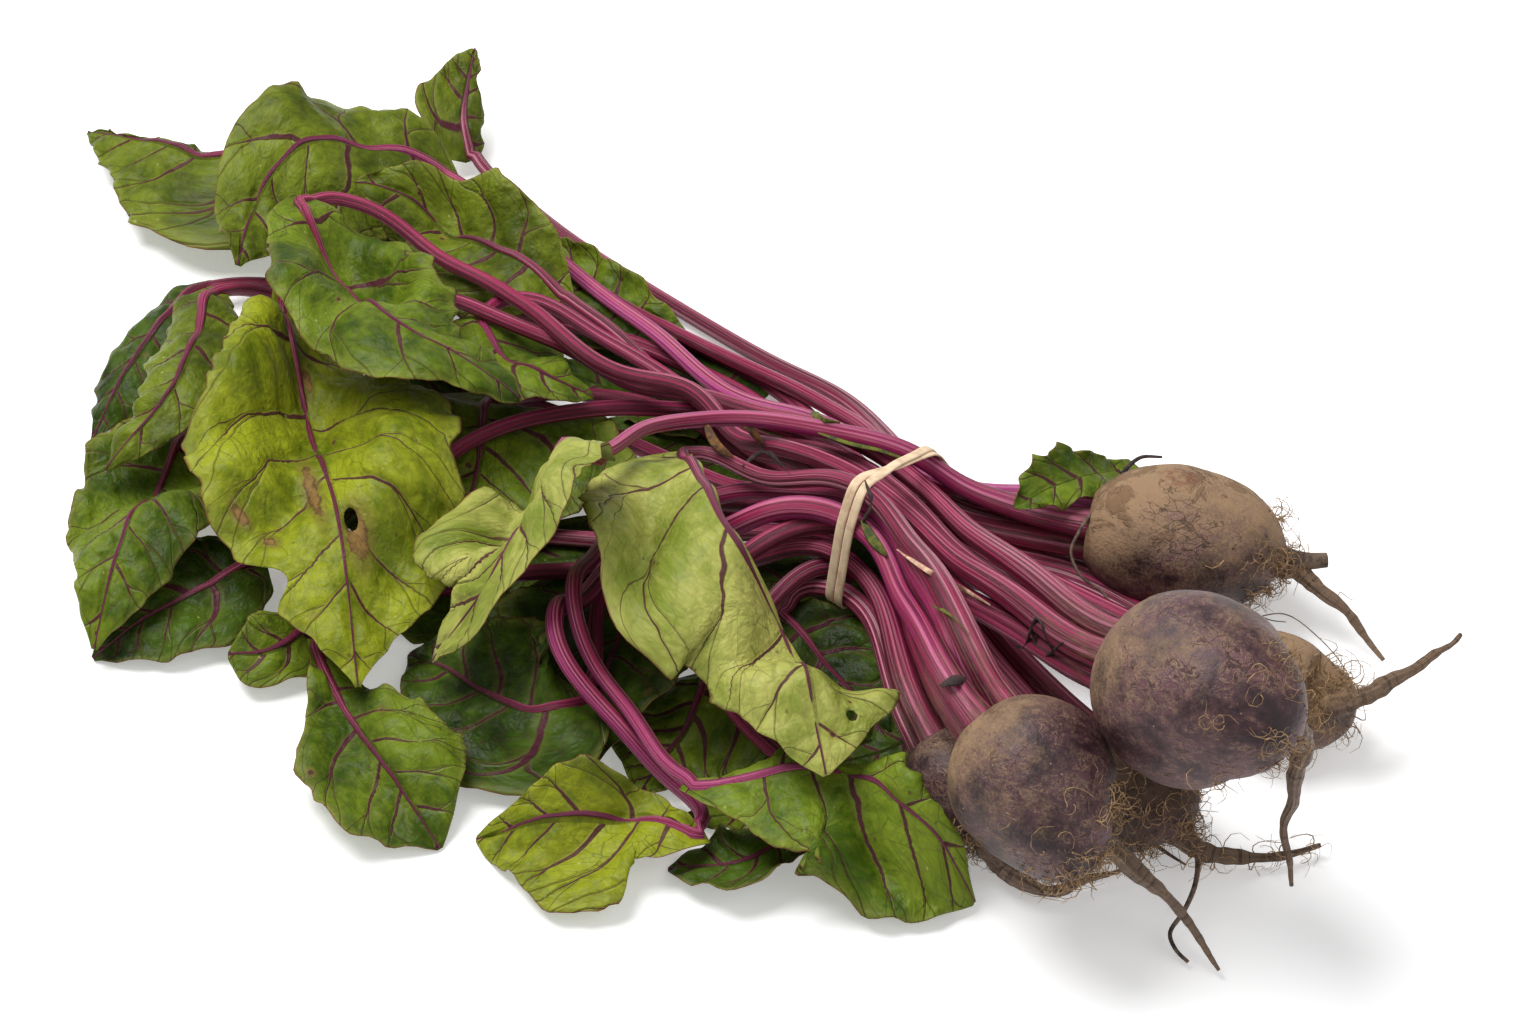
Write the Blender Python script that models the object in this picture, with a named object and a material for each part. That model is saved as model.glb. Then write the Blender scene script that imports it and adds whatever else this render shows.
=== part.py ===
"""A bunch of six beets with their tops, tied with a rubber band and lying down.

Metres, +Z up, floor at z = 0. +X runs along the bunch toward the roots and the
origin is the middle of the bunch's box, on the floor. The stalks fan out from
the crowns, pass through the band in rows and are then laid one after another
on the pile of what already lies there, so that leaves rest on leaves.
"""

import math
from dataclasses import dataclass
from typing import Optional

import bpy
import numpy as np

MM = 0.001

# Middle of the bunch's box, measured from the point the picture is centred on
MIDDLE_X = -0.0413
MIDDLE_Y = -0.0602

# The places of ribs and routes are picture points of a view from 45 degrees
PICTURE_WIDTH = 1528
PICTURE_HEIGHT = 1024
VIEW_DISTANCE = 1.65
LENS = 100.0
SENSOR = 36.0
VIEW_TURN = math.radians(45)
VIEW_DROP = math.radians(45)

# Leaves
BLADE_THICK = 0.0009
RIDGE_DROP = 0.0012
RIDGE_SHARE = 0.10
REST_GAP = 0.0022
FLOOR_GAP = 0.0022
TUBE_GAP = 0.0005
NECK_EXTRA = 0.0006
TIP_HALF = 0.0012
DRAPE_CELLS = 5
LOBE_SHARE = 0.06
JOINT_GAP = 0.0004

# Stalks
CROWN_STALK_RADIUS = 0.0044
BAND_STALK_RADIUS = 0.00365
LOOSE_STALK_RADIUS = 0.0036
END_STALK_RADIUS = 0.0027
CROWN_CORNER = 0.0056
CROWN_STRAIGHT = 0.016
FIXED_POINTS = 5
STALK_SIDES = 6
STALK_TOLERANCE = 0.00045

# Band
BAND_MIDDLE = np.array([0.060, 0.010])
BAND_TURN = math.radians(8)
BAND_AHEAD = np.array([math.cos(BAND_TURN), math.sin(BAND_TURN)])
BAND_SIDE = np.array([-math.sin(BAND_TURN), math.cos(BAND_TURN)])
BAND_HALF_WIDTH = 0.0035
BAND_THICK = 0.0012
BAND_GAP = 0.00045
BAND_STEPS = 44
BUNDLE_RISE = 0.0142
ROW_PITCH = 0.0076
SLOT_STRETCH = 1.02
SLOT_STRAIGHT = 0.012

# Roots
CROWN_RADIUS = 0.0138
TAPROOT_RADIUS = 0.0036
TAPROOT_MIDDLE_RADIUS = 0.0021
TAPROOT_END_RADIUS = 0.0007
ROOT_SIDES = 14
RING_ANGLES = (-42, -24, -8, 8, 24, 42, 60, 76)
GRID_BEET_SHARE = 0.9

# Height grid of the pile
CELL = 0.002
GRID_LOW = np.array([-0.39, -0.34])
GRID_CELLS = (375, 300)


@dataclass(frozen=True)
class Beet:
    """A bulb: centre and radius in millimetres, axis toward the crown, and its
    taproot as picture points with heights in millimetres. Front and back stretch
    the ball along its axis."""

    centre: tuple
    radius: float
    axis: tuple
    taproot: tuple
    front: float = 1.0
    back: float = 1.06


@dataclass(frozen=True)
class Half:
    """Half a blade: width in millimetres, tilt in degrees at rib and at margin."""

    width: float
    rib_tilt: float
    margin_tilt: float


@dataclass(frozen=True)
class Leaf:
    """A stalk and its blade.

    Route and rib are picture points, each with a lift over the pile in
    millimetres. Row and slot say where the stalk passes through the band.
    """

    name: str
    beet: int
    corner: str
    row: float
    slot: float
    route: tuple
    rib: tuple
    left: Half
    right: Half
    left_tip: Optional[Half] = None
    belly: float = 0.4
    fullness: float = 0.75
    ruffle: float = 3.0
    wave: float = 34.0
    settle: float = 65.0
    lies_under: bool = False
    end_gap: float = 1.3
    seed: int = 1


BEETS = {
    1: Beet((141, 81, 26.9), 28.2, (-0.85, -0.52, 0.02),
            ((1298, 570, 22), (1325, 596, 17), (1352, 618, 12), (1384, 660, 5)), 1.4, 1.38),
    2: Beet((229, -22, 92), 34.0, (-0.95, -0.05, -0.25),
            ((1303, 742, 80), (1300, 765, 66), (1286, 815, 40), (1292, 885, 8)), 1.0, 1.22),
    3: Beet((212, 50, 21.8), 22.8, (-0.89, -0.45, 0.0),
            ((1342, 702, 30), (1378, 688, 31), (1420, 665, 32), (1463, 635, 30)), 1.0, 1.2),
    4: Beet((201, -70, 61), 29.0, (-0.92, 0.15, 0.3),
            ((1108, 848, 42), (1150, 880, 32), (1186, 922, 18), (1217, 972, 4)), 1.0, 1.15),
    5: Beet((164, -62, 21.7), 22.5, (-0.9, 0.3, 0.3),
            ((1000, 868, 10), (1025, 884, 7), (1062, 888, 5), (1120, 868, 5))),
    6: Beet((208, -22, 22.3), 23.0, (-0.98, 0.0, 0.1),
            ((1190, 843, 14), (1212, 855, 8), (1260, 857, 5), (1320, 845, 4))),
}
UPPER_BEETS = (2, 4)

# Side roots that grow out of a bulb: beet, picture points with heights, radii in mm
STUB = (1, ((1268, 560, 26), (1327, 560, 26)), (5.5, 3.6))
SIDE_ROOT = (6, ((1160, 800, 22), (1185, 835, 16), (1198, 865, 11), (1180, 905, 7), (1187, 960, 3)),
             (1.6, 0.8))

# Leaves in the order in which they are laid, the lowest first
LEAVES = (
    Leaf("low_1", 5, "near_low", 1, -32.5, (),
         ((776, 606, 0), (808, 640, 1), (845, 684, 1), (888, 740, 0)),
         Half(22, 5, 20), Half(42, 0, -8), belly=0.45, settle=30, lies_under=True, end_gap=3.5, seed=12),
    Leaf("low_2", 5, "far_low", 1, -24.5, ((735, 640, 0),),
         ((712, 672, 1), (692, 712, 2), (668, 750, 2), (640, 792, 0)),
         Half(42, 0, 10), Half(34, 0, -10), seed=11),
    Leaf("low_3", 6, "near_low", 1, -8.5, ((680, 560, 0),),
         ((648, 570, 1), (622, 630, 2), (602, 690, 2), (590, 765, 0)),
         Half(40, 0, 10), Half(50, 0, -10), seed=10),
    Leaf("far_tip", 3, "far_low", 1, 15.5,
         ((790, 398, 0), (690, 342, 0), (590, 284, 0), (490, 236, 0), (370, 194, 0)),
         ((290, 165, 2), (222, 153, 8), (160, 140, 10), (88, 131, 6)),
         Half(48, -15, -35), Half(7, -30, -60), belly=0.22, fullness=0.9, seed=1),
    Leaf("upright", 1, "far_low", 1, 32.5,
         ((850, 402, 0), (780, 368, 0), (700, 322, 0), (570, 240, 0), (508, 190, 0)),
         ((474, 163, 2), (464, 120, 12), (468, 85, 22), (475, 48, 30)),
         Half(21, 10, 20), Half(9, -20, -50), belly=0.25, seed=2),
    Leaf("far_side", 1, "near_low", 1, 24, ((850, 420, 0), (745, 366, 0)),
         ((680, 335, 1), (620, 300, 2), (565, 262, 2), (500, 235, 0)),
         Half(26, 5, 10), Half(12, 10, 60), seed=3),
    Leaf("corner_1", 5, "far_high", 1, -16.5, ((420, 530, 0), (320, 545, 0)),
         ((262, 562, 2), (205, 585, 4), (150, 614, 4), (93, 658, 0)),
         Half(28, 0, -25), Half(24, 5, 15), belly=0.42, seed=4),
    Leaf("corner_2", 5, "near_high", 2, -28.5, ((440, 590, 0), (350, 610, 0)),
         ((312, 628, 1), (285, 642, 2), (258, 652, 2), (228, 655, 0)),
         Half(16, 0, -10), Half(14, 0, 10), belly=0.5, seed=5),
    Leaf("left_1", 3, "near_low", 1, 7.5,
         ((745, 388, 0), (655, 350, 0), (560, 322, 0), (420, 300, 0), (280, 285, 0)),
         ((215, 285, 4), (170, 310, 6), (125, 370, 4), (92, 440, 0)),
         Half(20, -10, -30), Half(16, -20, -50), belly=0.45, seed=6),
    Leaf("left_2", 6, "far_low", 1, -0.5, ((600, 490, 0), (420, 440, 0), (260, 400, 0)),
         ((205, 420, 4), (160, 485, 6), (115, 560, 4), (94, 648, 0)),
         Half(34, -5, -25), Half(30, 5, 20), seed=7),
    Leaf("left_3", 6, "far_high", 2, -4.5, ((600, 430, 0), (420, 365, 0), (280, 295, 2)),
         ((220, 290, 8), (195, 335, 12), (165, 395, 12), (105, 468, 4)),
         Half(22, -10, -30), Half(22, -20, -60), belly=0.45, seed=8),
    Leaf("middle_1", 3, "near_high", 2, 3.5, ((640, 400, 0), (530, 395, 0)),
         ((494, 398, 1), (480, 445, 2), (470, 500, 2), (462, 560, 0)),
         Half(58, -5, -10), Half(34, 5, 10), end_gap=2.2, seed=9),
    Leaf("near_dark", 6, "near_high", 2, -12.5, ((660, 500, 0), (610, 560, 0), (595, 620, 0)),
         ((592, 695, 1), (540, 708, 3), (480, 688, 3), (410, 652, 0)),
         Half(33, 0, -20), Half(30, 20, 50), belly=0.36, seed=13),
    Leaf("near_left", 3, "far_high", 2, 11.5,
         ((760, 420, 0), (680, 410, 0), (600, 408, 0), (520, 420, 2), (450, 452, 2), (405, 510, 2),
          (350, 580, 0)),
         ((316, 640, 1), (345, 710, 4), (388, 770, 3), (440, 848, 0)),
         Half(30, 0, -20), Half(31, 0, 15), belly=0.68, seed=14),
    Leaf("far_top", 1, "far_high", 2, 28,
         ((727, 396, 0), (646, 327, 0), (540, 241, 0), (490, 204, 4)),
         ((455, 180, 6), (395, 140, 10), (318, 140, 12), (262, 185, 10), (238, 265, 5)),
         Half(36, -10, -40), Half(26, 10, 0), belly=0.4, seed=15),
    Leaf("far_olive", 2, "far_low", 3, 5.2, ((688, 385, 0), (620, 335, 0)),
         ((568, 300, 4), (510, 250, 8), (430, 215, 8), (355, 185, 4)),
         Half(32, 0, -20), Half(20, 10, 45), belly=0.42, seed=16),
    Leaf("small_top", 2, "near_low", 3, -10.2,
         ((690, 392, 0), (620, 345, 0), (560, 310, 0), (505, 292, 0)),
         ((480, 318, 3), (508, 352, 6), (548, 380, 6), (594, 397, 3)),
         Half(24, -5, -20), Half(24, -5, -20), seed=17),
    Leaf("big_left", 2, "far_high", 3, 12.9,
         ((729, 404, 0), (600, 370, 0), (480, 310, 0), (350, 255, 0)),
         ((286, 246, 6), (300, 380, 10), (340, 530, 10), (358, 686, 3)),
         Half(54, -8, -25), Half(52, -8, -25), belly=0.6, fullness=1.15, seed=23),
    Leaf("near_low_1", 4, "near_low", 2, -20.5, ((740, 560, 0), (700, 640, 0), (760, 740, 0), (810, 786, 0)),
         ((834, 818, 2), (785, 838, 4), (735, 862, 4), (668, 868, 0)),
         Half(17, 5, 20), Half(18, 0, -20), belly=0.62, end_gap=3.6, seed=19),
    Leaf("near_low_2", 4, "near_high", 3, -25.6,
         ((740, 530, 0), (640, 545, 0), (550, 635, 0), (600, 705, 0), (655, 768, 0), (706, 806, 0)),
         ((706, 838, 2), (640, 818, 4), (560, 814, 4), (476, 838, 0)),
         Half(38, 0, -15), Half(14, 10, 40), belly=0.5, fullness=0.95, end_gap=6, seed=20),
    Leaf("near_bright", 4, "far_low", 3, -17.9,
         ((712, 497, 0), (630, 520, 0), (572, 610, 0), (620, 700, 0)),
         ((685, 787, 3), (765, 772, 6), (846, 776, 6), (912, 820, 4), (976, 882, 1)),
         Half(14, -20, -60), Half(40, 0, -20), belly=0.55, seed=22),
    Leaf("top_green", 2, "near_high", 3, -2.5,
         ((742, 449, 0), (692, 419, 0), (587, 355, 0), (500, 288, 0), (370, 205, 2)),
         ((300, 195, 8), (340, 260, 10), (400, 335, 10), (520, 398, 4)),
         Half(36, -10, -30), Half(34, -5, -30), belly=0.45, end_gap=2.2, seed=18),
    Leaf("top_diamond", 4, "far_high", 4, -20.5, ((770, 484, 0), (715, 455, 4)),
         ((686, 452, 10), (730, 530, 14), (778, 620, 12), (826, 775, 4)),
         Half(11, -30, -160), Half(52, -12, -25), left_tip=Half(78, -10, -20), belly=0.42, end_gap=6.2,
         seed=21),
    Leaf("top_arch", 1, "near_high", 3, 20.6, ((784, 423, 2), (715, 422, 4), (646, 441, 4)),
         ((605, 462, 4), (540, 522, 6), (485, 590, 6), (432, 658, 2)),
         Half(26, 5, 15), Half(48, -10, -30), belly=0.42, seed=24),
)

# The small young leaf on the stalks beside the first crown: picture points, heights in mm
YOUNG_RIB = ((1135, 464, 29), (1112, 474, 31), (1070, 488, 40), (1015, 508, 46))
YOUNG_LEFT = Half(9, 20, 70)
YOUNG_RIGHT = Half(10, -10, -30)

CORNER_SIDES = {"far_low": (-1, -1), "near_low": (1, -1), "far_high": (-1, 1), "near_high": (1, 1)}


def unit(vector):
    """Vector of length one."""
    vector = np.asarray(vector, float)
    return vector / np.linalg.norm(vector)


BACK = np.array([
    math.sin(VIEW_TURN) * math.cos(VIEW_DROP),
    -math.cos(VIEW_TURN) * math.cos(VIEW_DROP),
    math.sin(VIEW_DROP),
])
EYE = VIEW_DISTANCE * BACK
PICTURE_RIGHT = np.array([math.cos(VIEW_TURN), math.sin(VIEW_TURN), 0.0])
PICTURE_UP = np.cross(BACK, PICTURE_RIGHT)
PIXEL = VIEW_DISTANCE * SENSOR / (LENS * PICTURE_WIDTH)


def sight(across, down, height):
    """Plan position of a picture point that lies at a height."""
    through = (across - PICTURE_WIDTH / 2) * PIXEL * PICTURE_RIGHT
    through = through + (PICTURE_HEIGHT / 2 - down) * PIXEL * PICTURE_UP
    reach = (height - EYE[2]) / (through[2] - EYE[2])
    return (EYE + reach * (through - EYE))[:2]


def smoothstep(low, high, value):
    """Ease from 0 at low to 1 at high."""
    share = np.clip((np.asarray(value, float) - low) / (high - low), 0, 1)
    return share * share * (3 - 2 * share)


def spline(points, step, axes=2):
    """Smooth curve through points, resampled evenly along its first axes."""
    points = np.asarray(points, float)
    count = len(points)
    spans = np.linalg.norm(np.diff(points[:, :axes], axis=0), axis=1)
    knots = np.concatenate([[0], np.cumsum(np.maximum(1e-6, spans) ** 0.5)])
    ends = np.vstack([2 * points[0] - points[1], points, 2 * points[-1] - points[-2]])
    times = np.concatenate([[2 * knots[0] - knots[1]], knots, [2 * knots[-1] - knots[-2]]])
    pieces = []
    for i in range(count - 1):
        p0, p1, p2, p3 = ends[i : i + 4]
        t0, t1, t2, t3 = times[i : i + 4]
        t = np.linspace(t1, t2, 41)[:, None]
        if i < count - 2:
            t = t[:-1]
        a1 = (t1 - t) / (t1 - t0) * p0 + (t - t0) / (t1 - t0) * p1
        a2 = (t2 - t) / (t2 - t1) * p1 + (t - t1) / (t2 - t1) * p2
        a3 = (t3 - t) / (t3 - t2) * p2 + (t - t2) / (t3 - t2) * p3
        b1 = (t2 - t) / (t2 - t0) * a1 + (t - t0) / (t2 - t0) * a2
        b2 = (t3 - t) / (t3 - t1) * a2 + (t - t1) / (t3 - t1) * a3
        pieces.append((t2 - t) / (t2 - t1) * b1 + (t - t1) / (t2 - t1) * b2)
    curve = np.vstack(pieces)
    run = np.concatenate([[0], np.cumsum(np.linalg.norm(np.diff(curve[:, :axes], axis=0), axis=1))])
    wanted = np.linspace(0, run[-1], max(8, int(round(run[-1] / step)) + 1))
    even = [np.interp(wanted, run, curve[:, k]) for k in range(curve.shape[1])]
    return np.stack(even, axis=1), run[-1]


def disc(radius):
    """Cell steps inside a circle."""
    reach = int(radius)
    steps = range(-reach, reach + 1)
    return [(i, j) for i in steps for j in steps if i * i + j * j <= radius * radius]


def shifted(grid, i, j, fill):
    """Grid moved by whole cells."""
    out = np.full_like(grid, fill)
    rows, columns = grid.shape
    out[max(0, i) : rows + min(0, i), max(0, j) : columns + min(0, j)] = grid[
        max(0, -i) : rows + min(0, -i), max(0, -j) : columns + min(0, -j)
    ]
    return out


def widened(need, run, reach):
    """Smooth curve that stays above need: widest of the neighbourhood, then its mean."""
    span = max(1, int(round(reach / (run[1] - run[0]))))
    tops = np.array([need[max(0, i - span) : i + span + 1].max() for i in range(len(need))])
    padded = np.concatenate([np.full(span, tops[0]), tops, np.full(span, tops[-1])])
    return np.convolve(padded, np.ones(2 * span + 1) / (2 * span + 1), mode="valid")


class Pile:
    """Heights of what has been laid, on a grid, with the exact stalks."""

    def __init__(self):
        self.height = np.zeros(GRID_CELLS)
        self.leaves = np.zeros(GRID_CELLS)
        self.tubes = []

    def copy(self):
        other = Pile()
        other.height = self.height.copy()
        other.leaves = self.leaves.copy()
        other.tubes = list(self.tubes)
        return other

    @staticmethod
    def cells(xy):
        cell = np.floor((xy - GRID_LOW) / CELL).astype(int)
        return np.clip(cell[..., 0], 0, GRID_CELLS[0] - 1), np.clip(cell[..., 1], 0, GRID_CELLS[1] - 1)

    def at(self, xy, grid):
        """Height between the four nearest cells."""
        place = (np.asarray(xy) - GRID_LOW) / CELL - 0.5
        i = np.clip(np.floor(place[..., 0]).astype(int), 0, GRID_CELLS[0] - 2)
        j = np.clip(np.floor(place[..., 1]).astype(int), 0, GRID_CELLS[1] - 2)
        a = np.clip(place[..., 0] - i, 0, 1)
        b = np.clip(place[..., 1] - j, 0, 1)
        near = grid[i, j] * (1 - a) + grid[i + 1, j] * a
        far = grid[i, j + 1] * (1 - a) + grid[i + 1, j + 1] * a
        return near * (1 - b) + far * b

    def drop(self, across, down, lift):
        """First place down a line of sight that is lift above the pile."""
        for height in np.arange(0.16, -0.0005, -0.001):
            xy = sight(across, down, height)
            if height <= self.at(xy, self.height) + lift:
                return xy
        return sight(across, down, lift)

    def support(self, xy):
        """Smooth height over the pile under the footprint xy."""
        mask = np.zeros(GRID_CELLS, bool)
        mask[self.cells(xy)] = True
        grown = mask.copy()
        for i, j in disc(1.5):
            grown |= shifted(mask, i, j, False)
        rows = np.where(grown.any(axis=1))[0]
        columns = np.where(grown.any(axis=0))[0]
        pad = DRAPE_CELLS * 2 + 3
        box = (slice(max(0, rows[0] - pad), rows[-1] + pad + 1),
               slice(max(0, columns[0] - pad), columns[-1] + pad + 1))
        tops = self.height[box].copy()
        wide = tops.copy()
        for i, j in disc(1.5):
            wide = np.maximum(wide, shifted(tops, i, j, -1.0))
        low = np.where(grown[box], wide, -1.0)
        best = low.copy()
        for i, j in disc(DRAPE_CELLS + 1):
            best = np.maximum(best, shifted(low, i, j, -1.0))
        total = np.zeros_like(best)
        count = np.zeros_like(best)
        for i, j in disc(DRAPE_CELLS):
            moved = shifted(best, i, j, -1.0)
            known = moved > -0.5
            total += np.where(known, moved, 0)
            count += known
        out = np.zeros(GRID_CELLS)
        out[box] = total / np.maximum(count, 1)
        return self.at(xy, out)

    def add(self, points):
        i, j = self.cells(points[..., :2])
        np.maximum.at(self.height, (i.ravel(), j.ravel()), points[..., 2].ravel())

    def add_ball(self, centre, radius):
        steps = np.linspace(-1, 1, 61)
        plan = np.stack(np.meshgrid(steps, steps, indexing="ij"), axis=-1).reshape(-1, 2)
        plan = plan[(plan**2).sum(axis=1) < 1]
        tops = centre[2] + radius * np.sqrt(1 - (plan**2).sum(axis=1))
        self.add(np.column_stack([centre[0] + radius * plan[:, 0], centre[1] + radius * plan[:, 1], tops]))

    def add_tube(self, centre, radius, keep):
        along = np.gradient(centre[:, :2], axis=0)
        along /= np.maximum(np.linalg.norm(along, axis=1, keepdims=True), 1e-9)
        side = np.stack([-along[:, 1], along[:, 0]], axis=1)
        for share in np.linspace(-0.98, 0.98, 9):
            plan = centre[:, :2] + side * (share * radius)[:, None]
            self.add(np.column_stack([plan, centre[:, 2] + radius * math.sqrt(1 - share * share)]))
        if keep:
            self.tubes.append((centre, radius))

    def add_blade(self, blade):
        i, j = self.cells(blade[..., :2])
        tops = blade[..., 2].ravel() + 0.0002
        np.maximum.at(self.height, (i.ravel(), j.ravel()), tops)
        np.maximum.at(self.leaves, (i.ravel(), j.ravel()), tops)

    def tube_floor(self, xy, radius):
        """Lowest height of a stalk's centre over the stalks laid so far."""
        floor = np.full(len(xy), -1.0)
        for centre, other in self.tubes:
            apart = np.linalg.norm(xy[:, None, :] - centre[None, :, :2], axis=2)
            reach = radius[:, None] + other[None, :] + TUBE_GAP
            over = centre[None, :, 2] + np.sqrt(np.maximum(reach**2 - apart**2, 0))
            floor = np.maximum(floor, np.where(apart < reach, over, -1.0).max(axis=1))
        return floor

    def blade_floor(self, xy, radius):
        """Height of the leaves under a stalk."""
        best = np.zeros(len(xy))
        for i, j in disc(radius / CELL + 0.6):
            best = np.maximum(best, self.leaves[self.cells(xy + np.array([i, j]) * CELL)])
        return best


def crown_frame(beet):
    """Centre of the crown, axis toward the stalks and the two crossways directions."""
    axis = unit(beet.axis)
    near = unit(np.cross((0, 0, 1), axis))
    up = np.cross(axis, near)
    radius = beet.radius * MM
    crown = np.array(beet.centre) * MM + axis * beet.front * math.sqrt(radius**2 - CROWN_RADIUS**2)
    return crown, axis, near, up


def outline(share, belly, fullness):
    """Width share along the rib, widest at belly."""
    power = math.log(0.5) / math.log(belly)
    return np.sin(np.pi * np.clip(share, 0, 1) ** power) ** fullness


def half_section(width, rib_tilt, margin_tilt, shares, fade):
    """Sideways and upward reach of one half at shares of its width."""
    start = np.radians(rib_tilt) * fade
    turn = np.radians(margin_tilt) * fade - start
    turn = np.where(np.abs(turn) < 1e-6, 1e-6, turn)
    angle = start + turn * shares
    return width * (np.sin(angle) - np.sin(start)) / turn, -width * (np.cos(angle) - np.cos(start)) / turn


def blade_form(leaf, along, across, length):
    """Sideways place of the blade's points and their height over its lowest line."""
    phase = np.random.default_rng(leaf.seed).uniform(0, 2 * np.pi, 8)
    side = np.zeros((len(along), len(across)))
    rise = np.zeros((len(along), len(across)))
    s = along[:, None]
    shape = outline(s, leaf.belly, leaf.fullness)
    fade = smoothstep(0.0, 0.18, s)
    neck = END_STALK_RADIUS + NECK_EXTRA
    for sign, half, first in ((1, leaf.left, 0), (-1, leaf.right, 4)):
        width, rib_tilt, margin_tilt = half.width, half.rib_tilt, half.margin_tilt
        if sign == 1 and leaf.left_tip:
            change = smoothstep(0.66, 0.9, s)
            width = width + (leaf.left_tip.width - width) * change
            rib_tilt = rib_tilt + (leaf.left_tip.rib_tilt - rib_tilt) * change
            margin_tilt = margin_tilt + (leaf.left_tip.margin_tilt - margin_tilt) * change
        lobes = 1 + LOBE_SHARE * np.sin(2 * np.pi * 3.1 * s + phase[first])
        lobes = lobes + 0.6 * LOBE_SHARE * np.sin(2 * np.pi * 6.7 * s + phase[first + 1])
        least = np.where(s < 0.5, neck * (1 - s * 1.5), TIP_HALF)
        half_width = np.maximum(width * MM * shape * lobes, least)
        pick = across * sign >= 0
        shares = np.abs(across[pick])[None, :]
        x, z = half_section(half_width, rib_tilt, margin_tilt, shares, fade)
        side[:, pick] = sign * x
        rise[:, pick] = z
    rise -= rise.min(axis=1, keepdims=True)
    swell = np.sin(np.pi * np.clip(s, 0, 1)) ** 0.4
    for sign, first in ((1, 2), (-1, 6)):
        pick = across * sign > 0
        shares = np.abs(across[pick])[None, :]
        long_wave = 1 + np.sin(2 * np.pi * s * length / (leaf.wave * MM) + phase[first])
        short_wave = 1 + np.sin(2 * np.pi * s * length / (leaf.wave * 0.45 * MM) + phase[first + 1])
        height = leaf.ruffle * MM * 0.5 * swell
        rise[:, pick] += height * (shares**1.6 * long_wave + 0.35 * shares**3 * short_wave)
    return side, rise


def blade_plan(leaf, curve, length, rows, columns):
    """Shares, plan places and form heights of a blade over its rib in plan."""
    along = np.linspace(0, 1, rows)
    across = np.linspace(-1, 1, columns)
    knots = np.linspace(0, 1, len(curve))
    rib = np.stack([np.interp(along, knots, curve[:, k]) for k in (0, 1)], axis=1)
    lift = np.interp(along, knots, curve[:, 2])
    forward = np.gradient(rib, axis=0)
    forward /= np.linalg.norm(forward, axis=1, keepdims=True)
    normal = np.stack([-forward[:, 1], forward[:, 0]], axis=1)
    side, rise = blade_form(leaf, along, across, length)
    plan = rib[:, None, :] + normal[:, None, :] * side[:, :, None]
    return along, across, plan, rise + lift[:, None]


def underside(along, across):
    """Thickness of the blade with the ridge of its midrib below."""
    ridge = RIDGE_DROP * np.exp(-((across[None, :] / RIDGE_SHARE) ** 2))
    return BLADE_THICK + ridge * ((1 - 0.6 * along) * smoothstep(0, 0.1, along))[:, None]


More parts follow.
